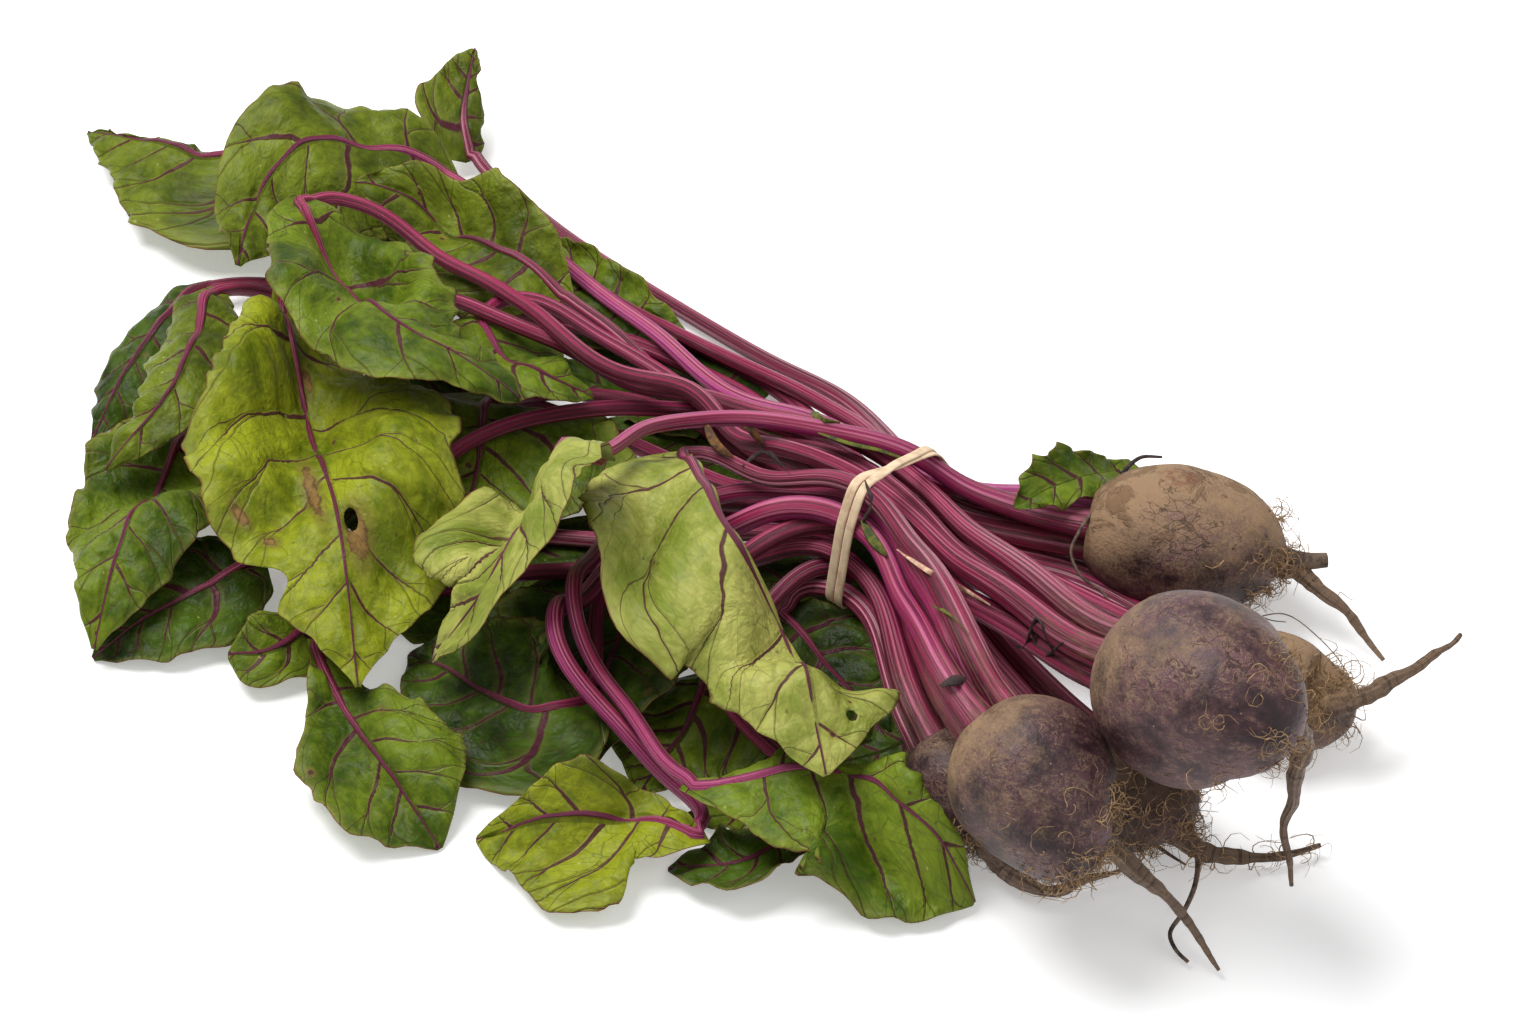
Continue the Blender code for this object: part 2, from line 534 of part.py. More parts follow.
def lay_leaf(pile, leaf):
    """Lay one leaf on the pile.

    Its picture points are looked up again at the heights found, four times, so
    that the leaf is seen where the picture has it.
    """
    crown, axis, near, up = crown_frame(BEETS[leaf.beet])
    near_side, high_side = CORNER_SIDES[leaf.corner]
    start = crown + axis * JOINT_GAP + near * near_side * CROWN_CORNER + up * high_side * CROWN_CORNER
    straight = start + axis * CROWN_STRAIGHT
    slot = BAND_MIDDLE + BAND_SIDE * leaf.slot * SLOT_STRETCH * MM
    slot_height = LOOSE_STALK_RADIUS + FLOOR_GAP + BUNDLE_RISE + (leaf.row - 1) * ROW_PITCH
    points = leaf.route + leaf.rib
    first_rib = FIXED_POINTS + len(leaf.route)
    places = [pile.drop(u, v, (lift + 4) * MM) for u, v, lift in points]
    lifts = np.array([0] * FIXED_POINTS + [lift for _, _, lift in points]) * MM
    levels = None
    for _ in range(4):
        toward = unit(unit(straight[:2] - slot) + unit(slot - places[0])) * SLOT_STRAIGHT
        controls = np.array([start[:2], straight[:2], slot + toward, slot, slot - toward, *places])
        curve, total = spline(np.column_stack([controls, lifts]), 0.002)
        run = np.linspace(0, total, len(curve))
        marks = [int(np.argmin(np.linalg.norm(curve[:, :2] - c, axis=1))) for c in controls]
        base = marks[first_rib]
        stalk = curve[: base + 1]
        way = run[: base + 1]
        into, out = way[marks[2]], way[marks[4]]
        radius = np.interp(way, [0, into, out, way[-1]],
                           [CROWN_STALK_RADIUS, BAND_STALK_RADIUS, LOOSE_STALK_RADIUS, END_STALK_RADIUS])
        need = np.maximum(pile.tube_floor(stalk[:, :2], radius), radius + FLOOR_GAP)
        leaves = pile.blade_floor(stalk[:, :2], 0.004)
        need = np.maximum(need, np.where(leaves > 0, leaves + radius + TUBE_GAP, -1)) + stalk[:, 2]
        laid = widened(need, way, 0.010)
        fan = np.where(
            way <= CROWN_STRAIGHT,
            start[2] + (straight[2] - start[2]) * way / CROWN_STRAIGHT,
            straight[2] + (slot_height - straight[2]) * smoothstep(0.010, into, way),
        )
        sink = smoothstep(out, out + leaf.settle * MM, way)
        climb = smoothstep(out - 0.019, out + 0.002, way)
        settled = slot_height + (laid - slot_height) * np.where(laid < slot_height, sink, climb)
        clear = widened(pile.tube_floor(stalk[:, :2], radius), way, 0.006)
        height = np.maximum(np.where(way <= way[marks[3]], fan, settled), clear)
        length = total - run[base]
        for _ in range(3):
            own = pile.copy()
            if not leaf.lies_under:
                free = max(2, base - 8)
                own.add_tube(np.column_stack([stalk[:, :2], height])[:free], radius[:free], keep=False)
            along, across, plan, form = blade_plan(leaf, curve[base:], length, 121, 81)
            ground = own.support(plan)
            top = ground + form + REST_GAP * smoothstep(0, 0.004, ground) + underside(along, across)
            middle = len(across) // 2
            drop = height[-1] - (top[0, middle] - BLADE_THICK * 0.5)
            if drop >= 0:
                top = top + drop * (1 - smoothstep(0, 0.5, along))[:, None]
                break
            height = height - drop * smoothstep(way[-1] - 0.06, way[-1], way)
        rib_height = np.interp(run[base:], run[base] + along * length, top[:, middle])
        heights = np.concatenate([height, rib_height[1:]])
        wanted = np.array([heights[mark] for mark in marks[FIXED_POINTS:]])
        levels = wanted if levels is None else 0.5 * (levels + wanted)
        caps = [0.055] * len(leaf.route) + [0.095] * len(leaf.rib)
        places = [sight(u, v, min(cap, level)) for (u, v, _), cap, level in zip(points, caps, levels)]
    blade = np.concatenate([plan, top[:, :, None]], axis=2)
    centre = np.column_stack([stalk[:, :2], height])
    pile.add_tube(centre, radius, keep=True)
    pile.add_blade(blade)
    return centre, radius, blade, along, across


def lay_young_leaf():
    """The small leaf, which leans from the stalks to the first bulb's shoulder."""
    leaf = Leaf("young", 1, "far_high", 1, 0, (), YOUNG_RIB, YOUNG_LEFT, YOUNG_RIGHT,
                belly=0.62, fullness=1.3, ruffle=2.0, wave=16.0, seed=31)
    points = [(*sight(u, v, height * MM), height * MM) for u, v, height in YOUNG_RIB]
    curve, length = spline(points, 0.002)
    along, across, plan, top = blade_plan(leaf, curve, length, 61, 41)
    return np.concatenate([plan, top[:, :, None]], axis=2), along, across


def root_line(beet):
    """Middle line of a root from the crown to the end of the taproot."""
    crown, axis, _, _ = crown_frame(beet)
    centre = np.array(beet.centre) * MM
    tail = centre - axis * beet.radius * MM * 0.8
    points = [np.array([*sight(u, v, h * MM), h * MM]) for u, v, h in beet.taproot]
    return spline([crown, 0.5 * (crown + centre), centre, tail, *points], 0.002, axes=3)


def root_radius(beet, past, length):
    """Radius of a root at a distance past the widest ring."""
    radius = beet.radius * MM
    stretch = np.where(past > 0, beet.back, beet.front)
    ball = radius * np.sqrt(np.clip(1 - (past / (stretch * radius)) ** 2, 0, 1))
    share = np.clip((past - beet.back * radius) / (length - beet.back * radius), 0, 1)
    thin = np.interp(share, [0, 0.12, 0.5, 1.0],
                     [TAPROOT_RADIUS * 1.7, TAPROOT_RADIUS, TAPROOT_MIDDLE_RADIUS, TAPROOT_END_RADIUS])
    thin = thin * smoothstep(0.2 * radius, 0.9 * beet.back * radius, past)
    return (ball**4 + thin**4) ** 0.25


def carried_frames(line):
    """Crossways directions carried along a line without twist."""
    tangent = np.gradient(line, axis=0)
    tangent /= np.linalg.norm(tangent, axis=1, keepdims=True)
    up = np.array([0.0, 0.0, 1.0])
    first = unit(np.cross(up, tangent[0])) if abs(tangent[0][2]) < 0.95 else np.array([1.0, 0.0, 0.0])
    sides = [first]
    for k in range(1, len(line)):
        side = sides[-1] - tangent[k] * np.dot(sides[-1], tangent[k])
        sides.append(unit(side))
    sides = np.array(sides)
    return tangent, sides, np.cross(tangent, sides)


def make_object(name, points, faces, material, smooth):
    """Object from points in the picture-centred frame, moved to the bunch's own."""
    moved = [(float(x) - MIDDLE_X, float(y) - MIDDLE_Y, float(z)) for x, y, z in points]
    mesh = bpy.data.meshes.new(name)
    mesh.from_pydata(moved, [], faces)
    mesh.validate()
    mesh.update()
    mesh.materials.append(material)
    for polygon in mesh.polygons:
        polygon.use_smooth = smooth
    item = bpy.data.objects.new(name, mesh)
    bpy.context.scene.collection.objects.link(item)
    return item


def tube_faces(rings, sides):
    """Faces of a capped tube whose rings run along it counter-clockwise."""
    faces = []
    for k in range(rings - 1):
        for i in range(sides):
            j = (i + 1) % sides
            faces.append((k * sides + i, k * sides + j, (k + 1) * sides + j, (k + 1) * sides + i))
    faces.append(tuple(reversed(range(sides))))
    faces.append(tuple((rings - 1) * sides + i for i in range(sides)))
    return faces


def tube_points(line, radius, sides, upright_end=False):
    """Rings of a tube along a line."""
    tangent, side, over = carried_frames(line)
    if upright_end:
        level = unit([tangent[-1][0], tangent[-1][1], 0.0])
        side[-1] = unit(side[-1] - level * np.dot(side[-1], level))
        over[-1] = np.cross(level, side[-1])
    angles = 2 * np.pi * (np.arange(sides) + 0.5) / sides - np.pi / 2
    points = []
    for k in range(len(line)):
        for angle in angles:
            points.append(line[k] + radius[k] * (math.cos(angle) * side[k] + math.sin(angle) * over[k]))
    return points


def kept_rings(line, tolerance):
    """Indices of the points that keep a line within a tolerance."""
    keep = {0, len(line) - 1}
    spans = [(0, len(line) - 1)]
    while spans:
        a, b = spans.pop()
        if b - a < 2:
            continue
        chord = line[b] - line[a]
        inner = line[a + 1 : b] - line[a]
        share = np.clip(inner @ chord / max(1e-12, chord @ chord), 0, 1)
        away = np.linalg.norm(inner - share[:, None] * chord, axis=1)
        worst = int(np.argmax(away))
        if away[worst] > tolerance:
            keep.add(a + 1 + worst)
            spans.append((a, a + 1 + worst))
            spans.append((a + 1 + worst, b))
    return sorted(keep)


def build_stalk(name, centre, radius, end_gap, material):
    """Stalk from just off the crown to just short of its blade."""
    run = np.concatenate([[0], np.cumsum(np.linalg.norm(np.diff(centre, axis=0), axis=1))])
    cut = run[-1] - end_gap
    kept = run[run < cut - 0.001]
    stations = np.append(kept, cut)
    line = np.stack([np.interp(stations, run, centre[:, k]) for k in range(3)], axis=1)
    width = np.interp(stations, run, radius)
    keep = kept_rings(line, STALK_TOLERANCE)
    points = tube_points(line[keep], width[keep], STALK_SIDES, upright_end=True)
    return make_object(name, points, tube_faces(len(keep), STALK_SIDES), material, True)


def build_blade(name, blade, along, across, rows, columns, material):
    """Closed blade: the laid face, the face below it and the rim between."""
    forward = np.gradient(blade, axis=0)
    sideways = np.gradient(blade, axis=1)
    normal = np.cross(forward, sideways)
    normal /= np.maximum(np.linalg.norm(normal, axis=2, keepdims=True), 1e-12)
    below = blade - normal * underside(along, across)[:, :, None]
    below[:, :, 2] = np.maximum(below[:, :, 2], 0.0)
    pick_rows = [int(round(s * (len(along) - 1))) for s in rows]
    pick_columns = [int(round((t + 1) / 2 * (len(across) - 1))) for t in columns]
    top = blade[np.ix_(pick_rows, pick_columns)]
    under = below[np.ix_(pick_rows, pick_columns)]
    wide = len(columns)
    count = len(rows) * wide
    points = [*top.reshape(-1, 3), *under.reshape(-1, 3)]
    faces = []
    for k in range(len(rows) - 1):
        for i in range(wide - 1):
            a, b = k * wide + i, k * wide + i + 1
            c, d = (k + 1) * wide + i + 1, (k + 1) * wide + i
            split = ((a, c, b), (a, d, c)) if (k + i) % 2 else ((a, d, b), (b, d, c))
            for p, q, r in split:
                faces.append((p, q, r))
                faces.append((p + count, r + count, q + count))
    rim = [i for i in range(wide)]
    rim += [k * wide + wide - 1 for k in range(1, len(rows))]
    rim += [(len(rows) - 1) * wide + i for i in range(wide - 2, -1, -1)]
    rim += [k * wide for k in range(len(rows) - 2, 0, -1)]
    for a, b in zip(rim, rim[1:] + rim[:1]):
        faces.append((a, b, b + count))
        faces.append((a, b + count, a + count))
    return make_object(name, points, faces, material, True)


def build_root(name, beet, material):
    """Bulb with its taproot, swept along one line."""
    line, length = root_line(beet)
    run = np.linspace(0, length, len(line))
    radius = beet.radius * MM
    widest = beet.front * math.sqrt(radius**2 - CROWN_RADIUS**2)
    angles = [-math.acos(CROWN_RADIUS / radius)] + [math.radians(a) for a in RING_ANGLES]
    stations = [widest + radius * math.sin(a) * (beet.back if a > 0 else beet.front) for a in angles]
    left = length - stations[-1]
    stations += [stations[-1] + left * share for share in (0.07, 0.16, 0.28, 0.44, 0.62, 0.81, 1.0)]
    centre = np.stack([np.interp(stations, run, line[:, k]) for k in range(3)], axis=1)
    width = root_radius(beet, np.array(stations) - widest, length - widest)
    width[0] = CROWN_RADIUS
    points = np.array(tube_points(centre, width, ROOT_SIDES))
    points[:, 2] = np.maximum(points[:, 2], 0.0)
    return make_object(name, points, tube_faces(len(stations), ROOT_SIDES), material, True)


def join_side_root(root, spec, material):
    """Unite a side root with its bulb."""
    _, seen, (thick, thin) = spec
    points = [np.array([*sight(u, v, h * MM), h * MM]) for u, v, h in seen]
    if len(points) == 2:
        points = [points[0], 0.5 * (points[0] + points[1]), points[1]]
    line, _ = spline(points, 0.008, axes=3)
    width = np.linspace(thick, thin, len(line)) * MM
    side = make_object("side_root", tube_points(line, width, 7), tube_faces(len(line), 7), material, True)
    join = root.modifiers.new("join", "BOOLEAN")
    join.operation = "UNION"
    join.solver = "EXACT"
    join.object = side
    bpy.context.view_layer.update()
    graph = bpy.context.evaluated_depsgraph_get()
    mesh = bpy.data.meshes.new_from_object(root.evaluated_get(graph))
    root.modifiers.remove(join)
    root.data = mesh
    bpy.data.objects.remove(side, do_unlink=True)
    for polygon in mesh.polygons:
        polygon.use_smooth = True


def hull(points):
    """Convex hull of plane points, counter-clockwise."""
    ordered = sorted(set((round(float(a), 7), round(float(b), 7)) for a, b in points))

    def chain(items):
        kept = []
        for p in items:
            while len(kept) > 1:
                (ax, ay), (bx, by) = kept[-2], kept[-1]
                if (bx - ax) * (p[1] - ay) - (by - ay) * (p[0] - ax) > 0:
                    break
                kept.pop()
            kept.append(p)
        return kept[:-1]

    return np.array(chain(ordered) + chain(ordered[::-1]))


def band_loop(stalks, gap):
    """Closed loop round the stalks at the band, evenly stepped."""
    around = []
    turns = np.linspace(0, 2 * np.pi, 40, endpoint=False)
    for centre, radius in stalks:
        away = centre[:, :2] - BAND_MIDDLE
        near = (np.abs(away @ BAND_AHEAD) < BAND_HALF_WIDTH + 0.002) & (np.abs(away @ BAND_SIDE) < 0.05)
        for y, z, r in zip((away @ BAND_SIDE)[near], centre[near, 2], radius[near]):
            around += [(y + (r + gap) * math.cos(a), z + (r + gap) * math.sin(a)) for a in turns]
    loop = hull(around)
    closed = np.vstack([loop, loop[:1]])
    run = np.concatenate([[0], np.cumsum(np.linalg.norm(np.diff(closed, axis=0), axis=1))])
    wanted = np.linspace(0, run[-1], BAND_STEPS, endpoint=False)
    return np.stack([np.interp(wanted, run, closed[:, k]) for k in (0, 1)], axis=1)


def build_band(stalks, material):
    """Flat ribbon closed round the stalks."""
    inner = band_loop(stalks, BAND_GAP + 0.0003)
    ahead = np.roll(inner, -1, axis=0) - np.roll(inner, 1, axis=0)
    ahead /= np.linalg.norm(ahead, axis=1, keepdims=True)
    outward = np.stack([ahead[:, 1], -ahead[:, 0]], axis=1)
    outer = inner + outward * BAND_THICK
    points = []
    for (iy, iz), (oy, oz) in zip(inner, outer):
        for ahead_share, side, height in ((-1, iy, iz), (-1, oy, oz), (1, oy, oz), (1, iy, iz)):
            plan = BAND_MIDDLE + BAND_AHEAD * ahead_share * BAND_HALF_WIDTH + BAND_SIDE * side
            points.append((*plan, height))
    faces = []
    for k in range(len(inner)):
        n = (k + 1) % len(inner)
        for i in range(4):
            j = (i + 1) % 4
            faces.append((k * 4 + i, n * 4 + i, n * 4 + j, k * 4 + j))
    return make_object("band", points, faces, material, True)


def make_material(name, colour, roughness):
    material = bpy.data.materials.new(name)
    material.use_nodes = True
    shader = next(n for n in material.node_tree.nodes if n.type == "BSDF_PRINCIPLED")
    shader.inputs["Base Color"].default_value = (*colour, 1.0)
    shader.inputs["Roughness"].default_value = roughness
    return material


def face_out(item):
    """Turn a closed mesh inside out where its volume comes out negative."""
    mesh = item.data
    mesh.calc_loop_triangles()
    volume = 0.0
    for triangle in mesh.loop_triangles:
        a, b, c = (mesh.vertices[i].co for i in triangle.vertices)
        volume += a.dot(b.cross(c)) / 6
    if volume < 0:
        mesh.flip_normals()


def main():
    for item in list(bpy.data.objects):
        bpy.data.objects.remove(item, do_unlink=True)

    root_skin = make_material("root_skin", (0.13, 0.06, 0.055), 0.75)
    stalk_skin = make_material("stalk_skin", (0.33, 0.05, 0.12), 0.4)
    leaf_green = make_material("leaf_green", (0.17, 0.30, 0.06), 0.5)
    band_rubber = make_material("band_rubber", (0.72, 0.62, 0.42), 0.6)

    pile = Pile()
    for number, beet in BEETS.items():
        if number not in UPPER_BEETS:
            pile.add_ball(np.array(beet.centre) * MM, GRID_BEET_SHARE * beet.radius * MM)

    rows = (0, 0.06, 0.16, 0.29, 0.43, 0.57, 0.71, 0.84, 0.94, 1)
    columns = (-1, -0.65, -0.3, 0, 0.3, 0.65, 1)
    stalks = []
    for leaf in LEAVES:
        centre, radius, blade, along, across = lay_leaf(pile, leaf)
        stalks.append((centre, radius))
        build_stalk("stalk_" + leaf.name, centre, radius, leaf.end_gap * MM, stalk_skin)
        build_blade("blade_" + leaf.name, blade, along, across, rows, columns, leaf_green)

    blade, along, across = lay_young_leaf()
    rows, columns = (0, 0.2, 0.4, 0.6, 0.8, 1), (-1, -0.5, 0, 0.5, 1)
    build_blade("young_leaf", blade, along, across, rows, columns, leaf_green)

    for number, beet in BEETS.items():
        root = build_root("root_%d" % number, beet, root_skin)
        for spec in (STUB, SIDE_ROOT):
            if spec[0] == number:
                face_out(root)
                join_side_root(root, spec, root_skin)

    build_band(stalks, band_rubber)
    for item in bpy.data.objects:
        face_out(item)


main()
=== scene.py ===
"""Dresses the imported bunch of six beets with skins, veins, stalks, soil and band.

Metres, +Z up, floor at z = 0. The forms follow the same laying rules as the
solids: stalks fan out from the crowns, pass through the band and are then laid
one after another on the pile of what already lies there.
"""

import logging
import math
from dataclasses import dataclass
from enum import Enum
from functools import reduce
from typing import Any, Dict, List, Optional, Sequence, Tuple

import bmesh
import bpy
import numpy as np
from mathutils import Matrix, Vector, noise

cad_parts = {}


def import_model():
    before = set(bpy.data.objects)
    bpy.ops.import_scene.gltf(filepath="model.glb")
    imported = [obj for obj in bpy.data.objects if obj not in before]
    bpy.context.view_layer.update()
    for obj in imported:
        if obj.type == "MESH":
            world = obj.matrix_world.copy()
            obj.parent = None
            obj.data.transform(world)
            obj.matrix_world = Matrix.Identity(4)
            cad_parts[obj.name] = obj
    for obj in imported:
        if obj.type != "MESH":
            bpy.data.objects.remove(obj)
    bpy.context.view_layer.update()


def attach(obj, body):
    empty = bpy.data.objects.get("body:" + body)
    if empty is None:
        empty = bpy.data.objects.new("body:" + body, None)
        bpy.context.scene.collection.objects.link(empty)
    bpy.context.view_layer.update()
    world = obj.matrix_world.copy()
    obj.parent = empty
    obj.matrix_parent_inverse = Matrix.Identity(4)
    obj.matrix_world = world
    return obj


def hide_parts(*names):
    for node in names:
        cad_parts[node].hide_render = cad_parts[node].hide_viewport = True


Array = np.ndarray
Mark = Tuple[float, float, float]
Colour = Tuple[float, float, float]
Pair = Tuple[Array, Array]
Item = bpy.types.Object
Mesh = bpy.types.Mesh
Surface = bpy.types.Material
Tree = bpy.types.NodeTree
Node = bpy.types.Node
Socket = bpy.types.NodeSocket

LOG = logging.getLogger("beets")
BODY = "root"
MM = 0.001

# Middle of the bunch's box, measured from the point the picture is centred on
MIDDLE = np.array([-0.0413, -0.0602, 0.0])

# The places of ribs and routes are picture points of a view from 45 degrees
PICTURE_WIDTH = 1528
PICTURE_HEIGHT = 1024
VIEW_DISTANCE = 1.65
LENS = 100.0
SENSOR = 36.0
VIEW_TURN = math.radians(45)
VIEW_DROP = math.radians(45)

# Leaves, as they are laid
BLADE_THICK = 0.0009
RIDGE_DROP = 0.0012
RIDGE_SHARE = 0.10
REST_GAP = 0.0022
FLOOR_GAP = 0.0022
TUBE_GAP = 0.0005
NECK_EXTRA = 0.0006
TIP_HALF = 0.0012
DRAPE_CELLS = 5
LOBE_SHARE = 0.06
LOBES = 3.1
SMALL_LOBES = 6.7
JOINT_GAP = 0.0004
LAID_ROWS = 121
LAID_COLUMNS = 81
LAY_ROUNDS = 4
JOIN_ROUNDS = 3
ROUTE_STEP = 0.002
FIRST_LIFT = 4
ROUTE_CAP = 0.055
RIB_CAP = 0.095
FREE_POINTS = 8

# Leaves, as they are dressed
SKIN_STEP = 0.0019
SKIN_THICK = 0.00052
VEIN_SHARE = 1 / 6
VEIN_LEAST = 0.009
VEIN_MOST = 0.027

# Stalks
CROWN_STALK_RADIUS = 0.0044
BAND_STALK_RADIUS = 0.00365
LOOSE_STALK_RADIUS = 0.0036
END_STALK_RADIUS = 0.0027
CROWN_CORNER = 0.0056
CROWN_STRAIGHT = 0.016
FIXED_POINTS = 5
FAN_START = 0.010
CLIMB_BEFORE = 0.019
CLIMB_AFTER = 0.002
STALK_BEND = 0.010
CLEAR_BEND = 0.006
LEAF_REACH = 0.004
TIP_CLIMB = 0.06

# Band
BAND_MIDDLE = np.array([0.060, 0.010])
BAND_TURN = math.radians(8)
BAND_AHEAD = np.array([math.cos(BAND_TURN), math.sin(BAND_TURN)])
BAND_SIDE = np.array([-math.sin(BAND_TURN), math.cos(BAND_TURN)])
BAND_HALF_WIDTH = 0.0035
BAND_GAP = 0.00045
BAND_STEPS = 160
BUNDLE_RISE = 0.0142
ROW_PITCH = 0.0076
SLOT_STRETCH = 1.02
SLOT_STRAIGHT = 0.012

# Roots
CROWN_RADIUS = 0.0138
TAPROOT_RADIUS = 0.0036
TAPROOT_MIDDLE_RADIUS = 0.0021
TAPROOT_END_RADIUS = 0.0007
GRID_BEET_SHARE = 0.9
HAIR_DENSITY = 230000.0
HAIR_THICK = 0.00024
# Soil amount of each root, and how much heavier its soil grows on the side facing the key light (partly
# painted light and shade)
ROOT_SOIL_AND_LIGHT = {1: (0.5, 0.85), 3: (0.56, 0.5), 4: (0.28, 0.85), 5: (0.16, 0.6)}
FLOOR_SKIM = 0.0001
SORES = {1: ((1180, 482, 52), 9.0)}

# Height grid of the pile
CELL = 0.002
GRID_LOW = np.array([-0.39, -0.34])
GRID_CELLS = (375, 300)


def unit(vector: Sequence[float]) -> Array:
    """Vector of length one."""
    vector = np.asarray(vector, float)
    return vector / np.linalg.norm(vector)


BACK = np.array([
    math.sin(VIEW_TURN) * math.cos(VIEW_DROP),
    -math.cos(VIEW_TURN) * math.cos(VIEW_DROP),
    math.sin(VIEW_DROP),
])
EYE = VIEW_DISTANCE * BACK
PICTURE_RIGHT = np.array([math.cos(VIEW_TURN), math.sin(VIEW_TURN), 0.0])
PICTURE_UP = np.cross(BACK, PICTURE_RIGHT)
PIXEL = VIEW_DISTANCE * SENSOR / (LENS * PICTURE_WIDTH)


class Tone(Enum):
    """Green of a leaf."""

    YELLOW = "yellow"
    PALE = "pale"
    BRIGHT = "bright"
    MIDDLE = "middle"
    OLIVE = "olive"
    DARK = "dark"


class Corner(Enum):
    """Corner of a crown that a stalk grows from: side toward the viewer, side up."""

    FAR_LOW = (-1, -1)
    NEAR_LOW = (1, -1)
    FAR_HIGH = (-1, 1)
    NEAR_HIGH = (1, 1)


@dataclass(frozen=True)
class Beet:
    """A bulb.

    Centre and radius are in millimetres, the axis points toward the crown, and
    the taproot is picture points with heights in millimetres. Front and back
    stretch the ball along its axis.
    """

    centre: Mark
    radius: float
    axis: Mark
    taproot: Tuple[Mark, ...]
    front: float = 1.0
    back: float = 1.06


@dataclass(frozen=True)
class Half:
    """Half a blade: width in millimetres, tilt in degrees at rib and at margin."""

    width: float
    rib_tilt: float
    margin_tilt: float


@dataclass(frozen=True)
class Notch:
    """A bite out of a margin: place along the rib, side, depth share, length in mm."""

    place: float
    side: int
    depth: float
    length: float


@dataclass(frozen=True)
class Hole:
    """An open place in a blade: shares along and across, length and width in mm."""

    along: float
    across: float
    length: float
    width: float


@dataclass(frozen=True)
class Leaf:
    """A stalk and its blade.

    Route and rib are picture points, each with a lift over the pile in
    millimetres. Row and slot say where the stalk passes through the band.
    """

    name: str
    beet: int
    corner: Corner
    row: float
    slot: float
    route: Tuple[Mark, ...]
    rib: Tuple[Mark, ...]
    left: Half
    right: Half
    left_tip: Optional[Half] = None
    belly: float = 0.4
    fullness: float = 0.75
    ruffle: float = 3.0
    wave: float = 34.0
    settle: float = 65.0
    lies_under: bool = False
    seed: int = 1
    tone: Tone = Tone.MIDDLE
    stalk_tone: float = 0.5
    scars: Tuple[Hole, ...] = ()
    notches: Tuple[Notch, ...] = ()
    holes: Tuple[Hole, ...] = ()


BEETS: Dict[int, Beet] = {
    1: Beet((141, 81, 26.9), 28.2, (-0.85, -0.52, 0.02),
            ((1298, 570, 22), (1325, 596, 17), (1352, 618, 12), (1384, 660, 5)), 1.4, 1.38),
    2: Beet((229, -22, 92), 34.0, (-0.95, -0.05, -0.25),
            ((1303, 742, 80), (1300, 765, 66), (1286, 815, 40), (1292, 885, 8)), 1.0, 1.22),
    3: Beet((212, 50, 21.8), 22.8, (-0.89, -0.45, 0.0),
            ((1342, 702, 30), (1378, 688, 31), (1420, 665, 32), (1463, 635, 30)), 1.0, 1.2),
    4: Beet((201, -70, 61), 29.0, (-0.92, 0.15, 0.3),
            ((1108, 848, 42), (1150, 880, 32), (1186, 922, 18), (1217, 972, 4)), 1.0, 1.15),
    5: Beet((164, -62, 21.7), 22.5, (-0.9, 0.3, 0.3),
            ((1000, 868, 10), (1025, 884, 7), (1062, 888, 5), (1120, 868, 5))),
    6: Beet((208, -22, 22.3), 23.0, (-0.98, 0.0, 0.1),
            ((1190, 843, 14), (1212, 855, 8), (1260, 857, 5), (1320, 845, 4))),
}
UPPER_BEETS = (2, 4)


